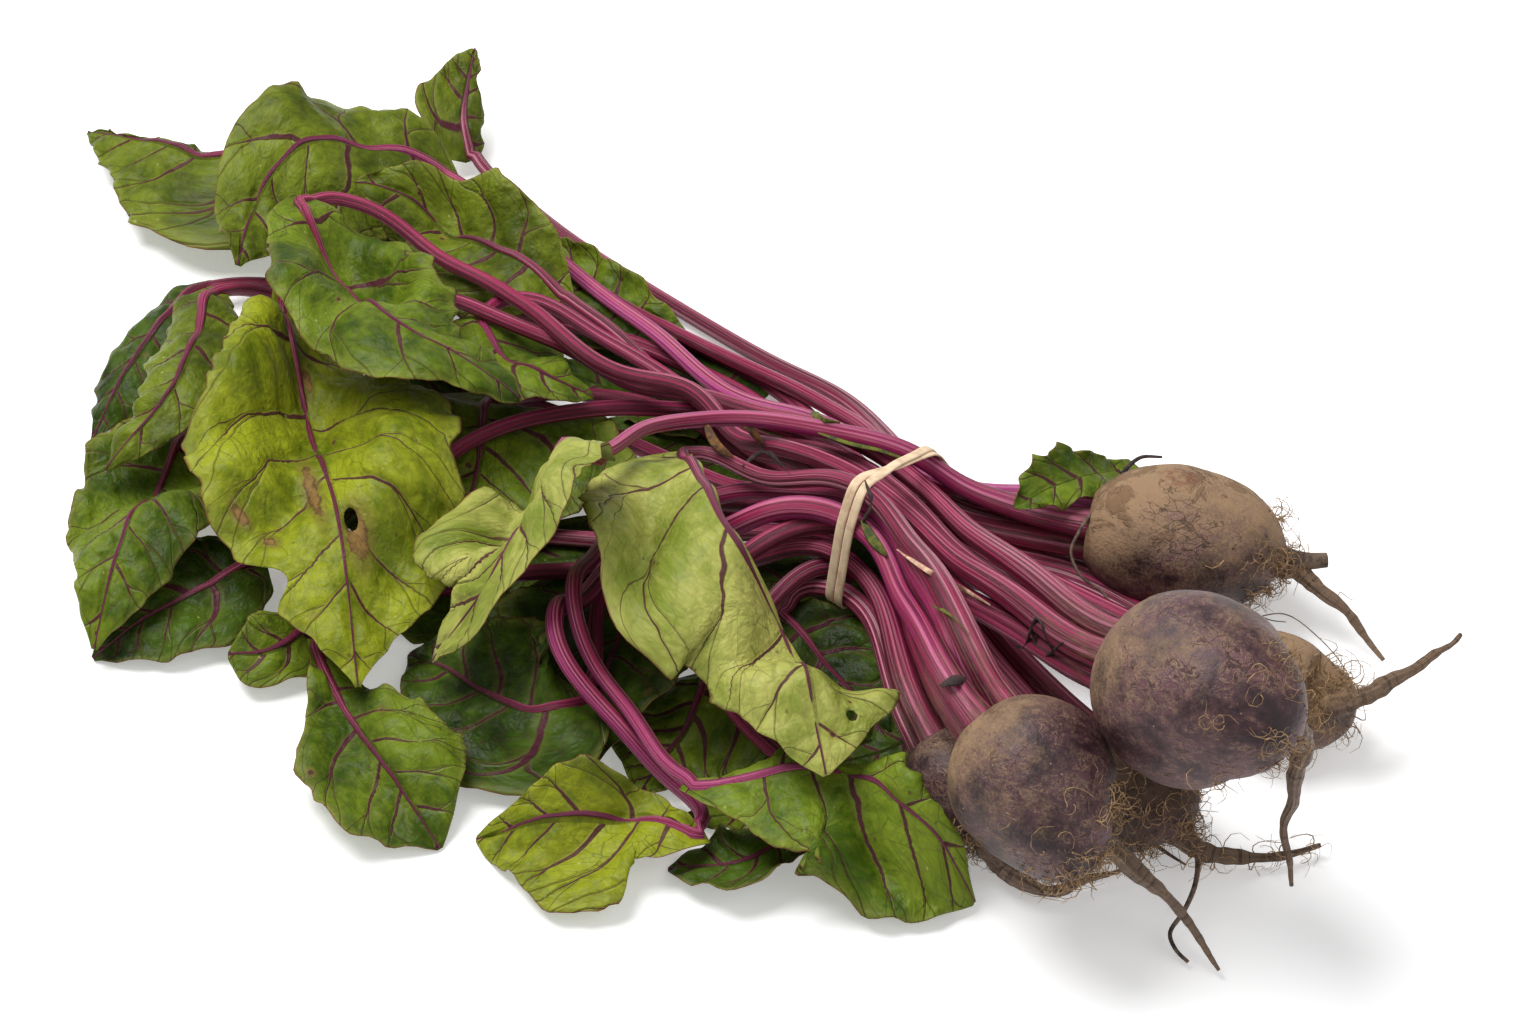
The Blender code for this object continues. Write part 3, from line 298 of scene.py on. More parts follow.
# Leaves in the order in which they are laid, the lowest first
LEAVES: Tuple[Leaf, ...] = (
    Leaf("low_1", 5, Corner.NEAR_LOW, 1, -32.5, (),
         ((776, 606, 0), (808, 640, 1), (845, 684, 1), (888, 740, 0)),
         Half(22, 5, 20), Half(42, 0, -8), belly=0.45, settle=30, lies_under=True, seed=12,
         tone=Tone.DARK, stalk_tone=0.2),
    Leaf("low_2", 5, Corner.FAR_LOW, 1, -24.5, ((735, 640, 0),),
         ((712, 672, 1), (692, 712, 2), (668, 750, 2), (640, 792, 0)),
         Half(42, 0, 10), Half(34, 0, -10), seed=11, tone=Tone.MIDDLE, stalk_tone=0.3),
    Leaf("low_3", 6, Corner.NEAR_LOW, 1, -8.5, ((680, 560, 0),),
         ((648, 570, 1), (622, 630, 2), (602, 690, 2), (590, 765, 0)),
         Half(40, 0, 10), Half(50, 0, -10), seed=10, tone=Tone.DARK, stalk_tone=0.4),
    Leaf("far_tip", 3, Corner.FAR_LOW, 1, 15.5,
         ((790, 398, 0), (690, 342, 0), (590, 284, 0), (490, 236, 0), (370, 194, 0)),
         ((290, 165, 2), (222, 153, 8), (160, 140, 10), (88, 131, 6)),
         Half(48, -15, -35), Half(7, -30, -60), belly=0.22, fullness=0.9, seed=1,
         tone=Tone.OLIVE, stalk_tone=0.5),
    Leaf("upright", 1, Corner.FAR_LOW, 1, 32.5,
         ((850, 402, 0), (780, 368, 0), (700, 322, 0), (570, 240, 0), (508, 190, 0)),
         ((474, 163, 2), (464, 120, 12), (468, 85, 22), (475, 48, 30)),
         Half(21, 10, 20), Half(9, -20, -50), belly=0.25, seed=2, tone=Tone.OLIVE, stalk_tone=0.2),
    Leaf("far_side", 1, Corner.NEAR_LOW, 1, 24, ((850, 420, 0), (745, 366, 0)),
         ((680, 335, 1), (620, 300, 2), (565, 262, 2), (500, 235, 0)),
         Half(26, 5, 10), Half(12, 10, 60), seed=3, tone=Tone.MIDDLE, stalk_tone=0.6),
    Leaf("corner_1", 5, Corner.FAR_HIGH, 1, -16.5, ((420, 530, 0), (320, 545, 0)),
         ((262, 562, 2), (205, 585, 4), (150, 614, 4), (93, 658, 0)),
         Half(28, 0, -25), Half(24, 5, 15), belly=0.42, seed=4, tone=Tone.DARK, stalk_tone=0.3),
    Leaf("corner_2", 5, Corner.NEAR_HIGH, 2, -28.5, ((440, 590, 0), (350, 610, 0)),
         ((312, 628, 1), (285, 642, 2), (258, 652, 2), (228, 655, 0)),
         Half(16, 0, -10), Half(14, 0, 10), belly=0.5, seed=5, tone=Tone.MIDDLE, stalk_tone=0.5),
    Leaf("left_1", 3, Corner.NEAR_LOW, 1, 7.5,
         ((745, 388, 0), (655, 350, 0), (560, 322, 0), (420, 300, 0), (280, 285, 0)),
         ((215, 285, 4), (170, 310, 6), (125, 370, 4), (92, 440, 0)),
         Half(20, -10, -30), Half(16, -20, -50), belly=0.45, seed=6, tone=Tone.DARK, stalk_tone=0.4),
    Leaf("left_2", 6, Corner.FAR_LOW, 1, -0.5, ((600, 490, 0), (420, 440, 0), (260, 400, 0)),
         ((205, 420, 4), (160, 485, 6), (115, 560, 4), (94, 648, 0)),
         Half(34, -5, -25), Half(30, 5, 20), seed=7, tone=Tone.MIDDLE, stalk_tone=0.5),
    Leaf("left_3", 6, Corner.FAR_HIGH, 2, -4.5, ((600, 430, 0), (420, 365, 0), (280, 295, 2)),
         ((220, 290, 8), (195, 335, 12), (165, 395, 12), (105, 468, 4)),
         Half(22, -10, -30), Half(22, -20, -60), belly=0.45, seed=8, tone=Tone.OLIVE, stalk_tone=0.6),
    Leaf("middle_1", 3, Corner.NEAR_HIGH, 2, 3.5, ((640, 400, 0), (530, 395, 0)),
         ((494, 398, 1), (480, 445, 2), (470, 500, 2), (462, 560, 0)),
         Half(58, -5, -10), Half(34, 5, 10), seed=9, tone=Tone.MIDDLE, stalk_tone=0.5),
    Leaf("near_dark", 6, Corner.NEAR_HIGH, 2, -12.5, ((660, 500, 0), (610, 560, 0), (595, 620, 0)),
         ((592, 695, 1), (540, 708, 3), (480, 688, 3), (410, 652, 0)),
         Half(33, 0, -20), Half(30, 20, 50), belly=0.36, seed=13, tone=Tone.DARK, stalk_tone=0.5),
    Leaf("near_left", 3, Corner.FAR_HIGH, 2, 11.5,
         ((760, 420, 0), (680, 410, 0), (600, 408, 0), (520, 420, 2), (450, 452, 2), (405, 510, 2),
          (350, 580, 0)),
         ((316, 640, 1), (345, 710, 4), (388, 770, 3), (440, 848, 0)),
         Half(30, 0, -20), Half(31, 0, 15), belly=0.68, seed=14, tone=Tone.MIDDLE, stalk_tone=0.6),
    Leaf("far_top", 1, Corner.FAR_HIGH, 2, 28,
         ((727, 396, 0), (646, 327, 0), (540, 241, 0), (490, 204, 4)),
         ((455, 180, 6), (395, 140, 10), (318, 140, 12), (262, 185, 10), (238, 265, 5)),
         Half(36, -10, -40), Half(26, 10, 0), belly=0.4, seed=15, tone=Tone.OLIVE, stalk_tone=0.9),
    Leaf("far_olive", 2, Corner.FAR_LOW, 3, 5.2, ((688, 385, 0), (620, 335, 0)),
         ((568, 300, 4), (510, 250, 8), (430, 215, 8), (355, 185, 4)),
         Half(32, 0, -20), Half(20, 10, 45), belly=0.42, seed=16, tone=Tone.OLIVE, stalk_tone=0.3),
    Leaf("small_top", 2, Corner.NEAR_LOW, 3, -10.2,
         ((690, 392, 0), (620, 345, 0), (560, 310, 0), (505, 292, 0)),
         ((480, 318, 3), (508, 352, 6), (548, 380, 6), (594, 397, 3)),
         Half(24, -5, -20), Half(24, -5, -20), seed=17, tone=Tone.MIDDLE, stalk_tone=0.7),
    Leaf("big_left", 2, Corner.FAR_HIGH, 3, 12.9,
         ((729, 404, 0), (600, 370, 0), (480, 310, 0), (350, 255, 0)),
         ((286, 246, 6), (300, 380, 10), (340, 530, 10), (358, 686, 3)),
         Half(54, -8, -25), Half(52, -8, -25), belly=0.6, fullness=1.15, seed=23, tone=Tone.YELLOW,
         stalk_tone=0.5,
         scars=(Hole(0.31, 0.09, 8, 4.5), Hole(0.62, -0.13, 22, 4), Hole(0.66, -0.75, 5, 4),
                Hole(0.72, -0.62, 5, 5), Hole(0.74, 0.14, 13, 7)),
         notches=(Notch(0.8, -1, 0.45, 8),), holes=(Hole(0.71, 0.1, 4.8, 2.6),)),
    Leaf("near_low_1", 4, Corner.NEAR_LOW, 2, -20.5,
         ((740, 560, 0), (700, 640, 0), (760, 740, 0), (810, 786, 0)),
         ((834, 818, 2), (785, 838, 4), (735, 862, 4), (668, 868, 0)),
         Half(17, 5, 20), Half(18, 0, -20), belly=0.62, seed=19, tone=Tone.DARK, stalk_tone=0.4),
    Leaf("near_low_2", 4, Corner.NEAR_HIGH, 3, -25.6,
         ((740, 530, 0), (640, 545, 0), (550, 635, 0), (600, 705, 0), (655, 768, 0), (706, 806, 0)),
         ((706, 838, 2), (640, 818, 4), (560, 814, 4), (476, 838, 0)),
         Half(38, 0, -15), Half(14, 10, 40), belly=0.5, fullness=0.95, seed=20,
         tone=Tone.YELLOW, stalk_tone=0.8, notches=(Notch(0.29, 1, 0.4, 7),)),
    Leaf("near_bright", 4, Corner.FAR_LOW, 3, -17.9,
         ((712, 497, 0), (630, 520, 0), (572, 610, 0), (620, 700, 0)),
         ((685, 787, 3), (765, 772, 6), (846, 776, 6), (912, 820, 4), (976, 882, 1)),
         Half(14, -20, -60), Half(40, 0, -20), belly=0.55, seed=22, tone=Tone.BRIGHT, stalk_tone=0.8),
    Leaf("top_green", 2, Corner.NEAR_HIGH, 3, -2.5,
         ((742, 449, 0), (692, 419, 0), (587, 355, 0), (500, 288, 0), (370, 205, 2)),
         ((300, 195, 8), (340, 260, 10), (400, 335, 10), (520, 398, 4)),
         Half(36, -10, -30), Half(34, -5, -30), belly=0.45, seed=18, tone=Tone.MIDDLE, stalk_tone=0.6),
    Leaf("top_diamond", 4, Corner.FAR_HIGH, 4, -20.5, ((770, 484, 0), (715, 455, 4)),
         ((686, 452, 10), (730, 530, 14), (778, 620, 12), (826, 775, 4)),
         Half(11, -30, -160), Half(52, -12, -25), left_tip=Half(78, -10, -20), belly=0.42, seed=21,
         tone=Tone.PALE, stalk_tone=0.3, holes=(Hole(0.9, 0.5, 2.3, 2.3),)),
    Leaf("top_arch", 1, Corner.NEAR_HIGH, 3, 20.6, ((784, 423, 2), (715, 422, 4), (646, 441, 4)),
         ((605, 462, 4), (540, 522, 6), (485, 590, 6), (432, 658, 2)),
         Half(26, 5, 15), Half(48, -10, -30), belly=0.42, seed=24, tone=Tone.PALE, stalk_tone=0.8),
)

# Leaves whose stalk runs under their own blade
TUCKED = ("top_green",)
TUCK_GAP = 0.001


def ground_leaf(number: int, left: float, right: float, marks: Sequence[Tuple[int, int]],
                tone: Tone = Tone.DARK) -> Leaf:
    """A part of a leaf that shows only as a green ground between the stalks.

    Args:
        number: number in its name and its seed.
        left: left half width in millimetres.
        right: right half width in millimetres.
        marks: picture points on the floor, the end of the stalk first.
        tone: its green.

    Returns:
        The leaf, which lies flat on the floor.
    """
    flat = tuple((across, down, 0) for across, down in marks)
    return Leaf("ground_%d" % number, 3, Corner.FAR_LOW, 1, 0, flat[:1], flat[1:],
                Half(left, 0, 2), Half(right, 0, 2), ruffle=1.0, seed=40 + number, tone=tone)


GROUND_LEAVES: Tuple[Leaf, ...] = (
    ground_leaf(1, 17, 15, ((780, 410), (765, 400), (680, 360), (560, 322), (430, 300))),
    ground_leaf(2, 19, 19, ((840, 480), (820, 480), (750, 455), (680, 440), (590, 425))),
    ground_leaf(3, 20, 20, ((740, 550), (720, 548), (640, 548), (540, 560), (440, 592))),
    ground_leaf(4, 20, 20, ((940, 560), (925, 566), (860, 568), (780, 580), (700, 600))),
    ground_leaf(5, 20, 22, ((540, 640), (525, 640), (450, 612), (390, 592), (310, 585))),
    ground_leaf(6, 15, 13, ((960, 700), (940, 712), (905, 738), (860, 756), (800, 770))),
    ground_leaf(8, 13, 13, ((440, 500), (420, 500), (385, 505), (340, 512), (300, 520))),
    ground_leaf(9, 12, 12, ((720, 442), (700, 434), (645, 404), (585, 378), (525, 362))),
    ground_leaf(10, 11, 11, ((540, 406), (520, 402), (475, 394), (430, 388), (385, 384))),
    ground_leaf(11, 9, 9, ((480, 266), (465, 262), (430, 254), (390, 245), (350, 238))),
    ground_leaf(7, 9, 9, ((800, 792), (790, 796), (750, 806), (715, 815), (670, 818)), Tone.MIDDLE),
)

# Stalks that show only in the dark between the others: points in millimetres, half thickness in mm
LOST_STALKS: Tuple[Tuple[Mark, ...], ...] = (
    ((142, 58, 9), (120, 57, 10), (96, 44, 13), (76, 28, 14), (56, 17, 15)),
    ((188, 45, 22), (150, 51, 15), (116, 47, 13), (85, 29, 14), (56, 14, 15)),
    ((190, 36, 20), (150, 41, 12), (116, 37, 11), (85, 21, 12), (56, 10, 14)),
    ((186, -20, 24), (150, -12, 14), (110, -2, 11), (75, 5, 12), (56, 6, 14)),
)
LOST_RADIUS = 4.6

# The small young leaf on the stalks beside the first crown: picture points, heights in mm
YOUNG_LEAF = Leaf("young", 1, Corner.FAR_HIGH, 1, 0, (),
                  ((1135, 464, 29), (1112, 474, 31), (1070, 488, 40), (1015, 508, 46)),
                  Half(11, -8, -45), Half(13, 20, 60), belly=0.6, fullness=0.8, ruffle=2.6, wave=15.0,
                  seed=31, tone=Tone.BRIGHT)


def sight(across: float, down: float, height: float) -> Array:
    """Plan position of a picture point that lies at a height.

    Args:
        across: picture point, from the left edge.
        down: picture point, from the top edge.
        height: height over the floor in metres.

    Returns:
        The place on the plan in metres.
    """
    through = (across - PICTURE_WIDTH / 2) * PIXEL * PICTURE_RIGHT
    through = through + (PICTURE_HEIGHT / 2 - down) * PIXEL * PICTURE_UP
    reach = (height - EYE[2]) / (through[2] - EYE[2])
    return (EYE + reach * (through - EYE))[:2]


def seen(mark: Mark) -> Array:
    """Point in space of a picture point with its height in millimetres."""
    across, down, height = mark
    return np.array([*sight(across, down, height * MM), height * MM])


def smoothstep(low: float, high: float, value: Any) -> Any:
    """Ease from 0 at low to 1 at high."""
    share = np.clip((np.asarray(value, float) - low) / (high - low), 0, 1)
    return share * share * (3 - 2 * share)


def units(vectors: Array) -> Array:
    """Vectors of length one along the last axis."""
    return vectors / np.maximum(np.linalg.norm(vectors, axis=-1, keepdims=True), 1e-12)


def reaches(points: Array, axes: int = 3) -> Array:
    """Distance of each point along its line, measured over the first axes."""
    return np.concatenate([[0], np.cumsum(np.linalg.norm(np.diff(points[:, :axes], axis=0), axis=1))])


def read_at(wanted: Array, run: Array, points: Array) -> Array:
    """Points at the wanted distances along a line."""
    return np.stack([np.interp(wanted, run, column) for column in points.T], axis=1)


def smoothed(points: Array, passes: int) -> Array:
    """Points eased toward their neighbours, with the first and last kept.

    Args:
        points: points along a line.
        passes: how many times they are eased.

    Returns:
        The eased points.
    """
    points = points.copy()
    for _ in range(passes):
        points[1:-1] = 0.25 * points[:-2] + 0.5 * points[1:-1] + 0.25 * points[2:]
    return points


def between(grid: Array, i: Array, j: Array, a: Array, b: Array) -> Array:
    """Values of a grid at shares a and b past its cells i and j."""
    near = grid[i, j] * (1 - a) + grid[i + 1, j] * a
    far = grid[i, j + 1] * (1 - a) + grid[i + 1, j + 1] * a
    return near * (1 - b) + far * b


def spline(points: Sequence[Sequence[float]], step: float, axes: int = 2) -> Tuple[Array, float]:
    """Smooth curve through points, resampled evenly along its first axes.

    Args:
        points: control points, one row each.
        step: wanted distance between the new points.
        axes: how many columns measure the distance.

    Returns:
        The new points and the length of the curve.
    """
    points = np.asarray(points, float)
    count = len(points)
    spans = np.linalg.norm(np.diff(points[:, :axes], axis=0), axis=1)
    knots = np.concatenate([[0], np.cumsum(np.maximum(1e-6, spans) ** 0.5)])
    ends = np.vstack([2 * points[0] - points[1], points, 2 * points[-1] - points[-2]])
    times = np.concatenate([[2 * knots[0] - knots[1]], knots, [2 * knots[-1] - knots[-2]]])
    pieces = []
    for i in range(count - 1):
        p0, p1, p2, p3 = ends[i : i + 4]
        t0, t1, t2, t3 = times[i : i + 4]
        t = np.linspace(t1, t2, 41)[:, None]
        if i < count - 2:
            t = t[:-1]
        a1 = (t1 - t) / (t1 - t0) * p0 + (t - t0) / (t1 - t0) * p1
        a2 = (t2 - t) / (t2 - t1) * p1 + (t - t1) / (t2 - t1) * p2
        a3 = (t3 - t) / (t3 - t2) * p2 + (t - t2) / (t3 - t2) * p3
        b1 = (t2 - t) / (t2 - t0) * a1 + (t - t0) / (t2 - t0) * a2
        b2 = (t3 - t) / (t3 - t1) * a2 + (t - t1) / (t3 - t1) * a3
        pieces.append((t2 - t) / (t2 - t1) * b1 + (t - t1) / (t2 - t1) * b2)
    curve = np.vstack(pieces)
    run = reaches(curve, axes)
    wanted = np.linspace(0, run[-1], max(8, int(round(run[-1] / step)) + 1))
    return read_at(wanted, run, curve), run[-1]


def disc(radius: float) -> List[Tuple[int, int]]:
    """Cell steps inside a circle."""
    steps = range(-int(radius), int(radius) + 1)
    return [(i, j) for i in steps for j in steps if i * i + j * j <= radius * radius]


def shifted(grid: Array, i: int, j: int, fill: Any) -> Array:
    """Grid moved by i rows and j columns, with fill where it leaves a gap.

    Args:
        grid: values by row and column.
        i: rows to move by.
        j: columns to move by.
        fill: value of the gap.

    Returns:
        The moved grid.
    """
    out = np.full_like(grid, fill)
    rows, columns = grid.shape
    out[max(0, i) : rows + min(0, i), max(0, j) : columns + min(0, j)] = grid[
        max(0, -i) : rows + min(0, -i), max(0, -j) : columns + min(0, -j)
    ]
    return out


def widened(need: Array, run: Array, reach: float) -> Array:
    """Smooth curve that stays above need: widest of the neighbourhood, then its mean.

    Args:
        need: lowest height at each point of a line.
        run: even distances of the points.
        reach: half length of the neighbourhood in metres.

    Returns:
        The height at each point.
    """
    span = max(1, int(round(reach / (run[1] - run[0]))))
    tops = np.array([need[max(0, i - span) : i + span + 1].max() for i in range(len(need))])
    padded = np.concatenate([np.full(span, tops[0]), tops, np.full(span, tops[-1])])
    return np.convolve(padded, np.ones(2 * span + 1) / (2 * span + 1), mode="valid")


def ripple(x: Array, y: Array, size: float, seed: int, waves: int = 7) -> Array:
    """Smooth noise between about -1 and 1 from waves of random heading.

    Args:
        x: first coordinate in metres.
        y: second coordinate in metres.
        size: typical width of a lump in metres.
        seed: fixes the headings and phases.
        waves: how many waves are summed.

    Returns:
        The noise at each place.
    """
    source = np.random.default_rng(seed)
    total = 0.0
    for _ in range(waves):
        heading, start = source.uniform(0, 2 * math.pi, 2)
        pace = source.uniform(0.7, 1.5) * math.pi / size
        total = total + np.sin(pace * (x * math.cos(heading) + y * math.sin(heading)) + start)
    return total / math.sqrt(waves) * 0.8


class Pile:
    """Heights of what has been laid, on a grid, with the exact stalks."""

    def __init__(self) -> None:
        """Start with the bare floor."""
        self.height = np.zeros(GRID_CELLS)
        self.leaves = np.zeros(GRID_CELLS)
        self.tubes: List[Tuple[Array, Array]] = []

    def copy(self) -> "Pile":
        """A pile that can be added to without changing this one."""
        other = Pile()
        other.height = self.height.copy()
        other.leaves = self.leaves.copy()
        other.tubes = list(self.tubes)
        return other

    @staticmethod
    def cells(xy: Array) -> Tuple[Array, Array]:
        """Cell numbers of plan places."""
        cell = np.floor((xy - GRID_LOW) / CELL).astype(int)
        return np.clip(cell[..., 0], 0, GRID_CELLS[0] - 1), np.clip(cell[..., 1], 0, GRID_CELLS[1] - 1)

    @staticmethod
    def at(xy: Array, grid: Array) -> Array:
        """Height between the four nearest cells.

        Args:
            xy: places on the plan.
            grid: heights by cell.

        Returns:
            The height at each place.
        """
        place = (np.asarray(xy) - GRID_LOW) / CELL - 0.5
        i = np.clip(np.floor(place[..., 0]).astype(int), 0, GRID_CELLS[0] - 2)
        j = np.clip(np.floor(place[..., 1]).astype(int), 0, GRID_CELLS[1] - 2)
        return between(grid, i, j, np.clip(place[..., 0] - i, 0, 1), np.clip(place[..., 1] - j, 0, 1))

    def drop(self, across: float, down: float, lift: float) -> Array:
        """First place down a line of sight that is lift above the pile.

        Args:
            across: picture point, from the left edge.
            down: picture point, from the top edge.
            lift: wanted height over the pile.

        Returns:
            The place on the plan.
        """
        for height in np.arange(0.16, -0.0005, -0.001):
            xy = sight(across, down, height)
            if height <= self.at(xy, self.height) + lift:
                return xy
        return sight(across, down, lift)

    def support(self, xy: Array) -> Array:
        """Smooth height over the pile under a footprint.

        Args:
            xy: plan places of the footprint.

        Returns:
            The height at each of them: the widest of the cells around, then their mean.
        """
        mask = np.zeros(GRID_CELLS, bool)
        mask[self.cells(xy)] = True
        grown = mask.copy()
        for i, j in disc(1.5):
            grown |= shifted(mask, i, j, False)
        rows = np.where(grown.any(axis=1))[0]
        columns = np.where(grown.any(axis=0))[0]
        pad = DRAPE_CELLS * 2 + 3
        box = (slice(max(0, rows[0] - pad), rows[-1] + pad + 1),
               slice(max(0, columns[0] - pad), columns[-1] + pad + 1))
        tops = self.height[box].copy()
        wide = tops.copy()
        for i, j in disc(1.5):
            wide = np.maximum(wide, shifted(tops, i, j, -1.0))
        low = np.where(grown[box], wide, -1.0)
        best = low.copy()
        for i, j in disc(DRAPE_CELLS + 1):
            best = np.maximum(best, shifted(low, i, j, -1.0))
        total = np.zeros_like(best)
        count = np.zeros_like(best)
        for i, j in disc(DRAPE_CELLS):
            moved = shifted(best, i, j, -1.0)
            known = moved > -0.5
            total += np.where(known, moved, 0)
            count += known
        out = np.zeros(GRID_CELLS)
        out[box] = total / np.maximum(count, 1)
        return self.at(xy, out)

    def add(self, points: Array) -> None:
        """Raise the pile to the points."""
        i, j = self.cells(points[..., :2])
        np.maximum.at(self.height, (i.ravel(), j.ravel()), points[..., 2].ravel())

    def add_ball(self, centre: Array, radius: float) -> None:
        """Lay a ball, as seen from above.

        Args:
            centre: its middle.
            radius: its radius.
        """
        steps = np.linspace(-1, 1, 61)
        plan = np.stack(np.meshgrid(steps, steps, indexing="ij"), axis=-1).reshape(-1, 2)
        plan = plan[(plan**2).sum(axis=1) < 1]
        tops = centre[2] + radius * np.sqrt(1 - (plan**2).sum(axis=1))
        self.add(np.column_stack([centre[0] + radius * plan[:, 0], centre[1] + radius * plan[:, 1], tops]))

    def add_tube(self, centre: Array, radius: Array, keep: bool) -> None:
        """Lay a stalk.

        Args:
            centre: points of its middle line.
            radius: its radius at each point.
            keep: says that later stalks are laid on its exact shape.
        """
        along = np.gradient(centre[:, :2], axis=0)
        along /= np.maximum(np.linalg.norm(along, axis=1, keepdims=True), 1e-9)
        side = np.stack([-along[:, 1], along[:, 0]], axis=1)
        for share in np.linspace(-0.98, 0.98, 9):
            plan = centre[:, :2] + side * (share * radius)[:, None]
            self.add(np.column_stack([plan, centre[:, 2] + radius * math.sqrt(1 - share * share)]))
        if keep:
            self.tubes.append((centre, radius))

    def add_blade(self, blade: Array) -> None:
        """Lay a blade.

        Args:
            blade: its points by row and column.
        """
        i, j = self.cells(blade[..., :2])
        tops = blade[..., 2].ravel() + 0.0002
        np.maximum.at(self.height, (i.ravel(), j.ravel()), tops)
        np.maximum.at(self.leaves, (i.ravel(), j.ravel()), tops)

    def tube_floor(self, xy: Array, radius: Array) -> Array:
        """Lowest height of a stalk's middle line over the stalks laid so far.

        Args:
            xy: plan places of the line.
            radius: the stalk's radius at each of them.

        Returns:
            The height at each place, or -1 where no stalk lies.
        """
        floor = np.full(len(xy), -1.0)
        for centre, other in self.tubes:
            apart = np.linalg.norm(xy[:, None, :] - centre[None, :, :2], axis=2)
            reach = radius[:, None] + other[None, :] + TUBE_GAP
            over = centre[None, :, 2] + np.sqrt(np.maximum(reach**2 - apart**2, 0))
            floor = np.maximum(floor, np.where(apart < reach, over, -1.0).max(axis=1))
        return floor

    def blade_floor(self, xy: Array, radius: float) -> Array:
        """Height of the leaves within a radius of each place.

        Args:
            xy: places on the plan.
            radius: how far round each place to look.

        Returns:
            The height at each place.
        """
        best = np.zeros(len(xy))
        for i, j in disc(radius / CELL + 0.6):
            best = np.maximum(best, self.leaves[self.cells(xy + np.array([i, j]) * CELL)])
        return best


def crown_frame(beet: Beet) -> Tuple[Array, Array, Array, Array]:
    """Centre of the crown, axis toward the stalks and the two crossways directions.

    Args:
        beet: one row of the table of beets.

    Returns:
        The centre and the three directions.
    """
    axis = unit(beet.axis)
    near = unit(np.cross((0, 0, 1), axis))
    up = np.cross(axis, near)
    radius = beet.radius * MM
    crown = np.array(beet.centre) * MM + axis * beet.front * math.sqrt(radius**2 - CROWN_RADIUS**2)
    return crown, axis, near, up


def outline(share: Array, belly: float, fullness: float) -> Array:
    """Width share along the rib, widest at belly."""
    power = math.log(0.5) / math.log(belly)
    return np.sin(np.pi * np.clip(share, 0, 1) ** power) ** fullness


def half_section(width: Array, rib_tilt: Any, margin_tilt: Any, shares: Array, fade: Array) -> Pair:
    """Section of one half of a blade: an arc from the rib to the margin.

    Args:
        width: half width of each row.
        rib_tilt: tilt in degrees at the rib.
        margin_tilt: tilt in degrees at the margin.
        shares: shares of the half width.
        fade: how much of the tilts each row has.

    Returns:
        Sideways and upward reach at the shares.
    """
    start = np.radians(rib_tilt) * fade
    turn = np.radians(margin_tilt) * fade - start
    turn = np.where(np.abs(turn) < 1e-6, 1e-6, turn)
    angle = start + turn * shares
    return width * (np.sin(angle) - np.sin(start)) / turn, -width * (np.cos(angle) - np.cos(start)) / turn


def blade_form(leaf: Leaf, along: Array, across: Array, length: float) -> Pair:
    """Form of a blade before it is laid.

    Args:
        leaf: sizes of the blade.
        along: shares along the rib.
        across: shares across, from -1 at the right margin to 1 at the left.
        length: length of the rib.

    Returns:
        Sideways place of each point and its height over the lowest line of its row.
    """
    phase = np.random.default_rng(leaf.seed).uniform(0, 2 * np.pi, 8)
    side = np.zeros((len(along), len(across)))
    rise = np.zeros((len(along), len(across)))
    s = along[:, None]
    shape = outline(s, leaf.belly, leaf.fullness)
    fade = smoothstep(0.0, 0.18, s)
    neck = END_STALK_RADIUS + NECK_EXTRA
    for sign, half, first in ((1, leaf.left, 0), (-1, leaf.right, 4)):
        width, rib_tilt, margin_tilt = half.width, half.rib_tilt, half.margin_tilt
        if sign == 1 and leaf.left_tip:
            change = smoothstep(0.66, 0.9, s)
            width = width + (leaf.left_tip.width - width) * change
            rib_tilt = rib_tilt + (leaf.left_tip.rib_tilt - rib_tilt) * change
            margin_tilt = margin_tilt + (leaf.left_tip.margin_tilt - margin_tilt) * change
        lobes = 1 + LOBE_SHARE * np.sin(2 * np.pi * LOBES * s + phase[first])
        lobes = lobes + 0.6 * LOBE_SHARE * np.sin(2 * np.pi * SMALL_LOBES * s + phase[first + 1])
        least = np.where(s < 0.5, neck * (1 - s * 1.5), TIP_HALF)
        half_width = np.maximum(width * MM * shape * lobes, least)
        pick = across * sign >= 0
        x, z = half_section(half_width, rib_tilt, margin_tilt, np.abs(across[pick])[None, :], fade)
        side[:, pick] = sign * x
        rise[:, pick] = z
    rise -= rise.min(axis=1, keepdims=True)
    swell = np.sin(np.pi * np.clip(s, 0, 1)) ** 0.4
    height = leaf.ruffle * MM * 0.5 * swell
    for sign, first in ((1, 2), (-1, 6)):
        pick = across * sign > 0
        shares = np.abs(across[pick])[None, :]
        long_wave = 1 + np.sin(2 * np.pi * s * length / (leaf.wave * MM) + phase[first])
        short_wave = 1 + np.sin(2 * np.pi * s * length / (leaf.wave * 0.45 * MM) + phase[first + 1])
        rise[:, pick] += height * (shares**1.6 * long_wave + 0.35 * shares**3 * short_wave)
    return side, rise


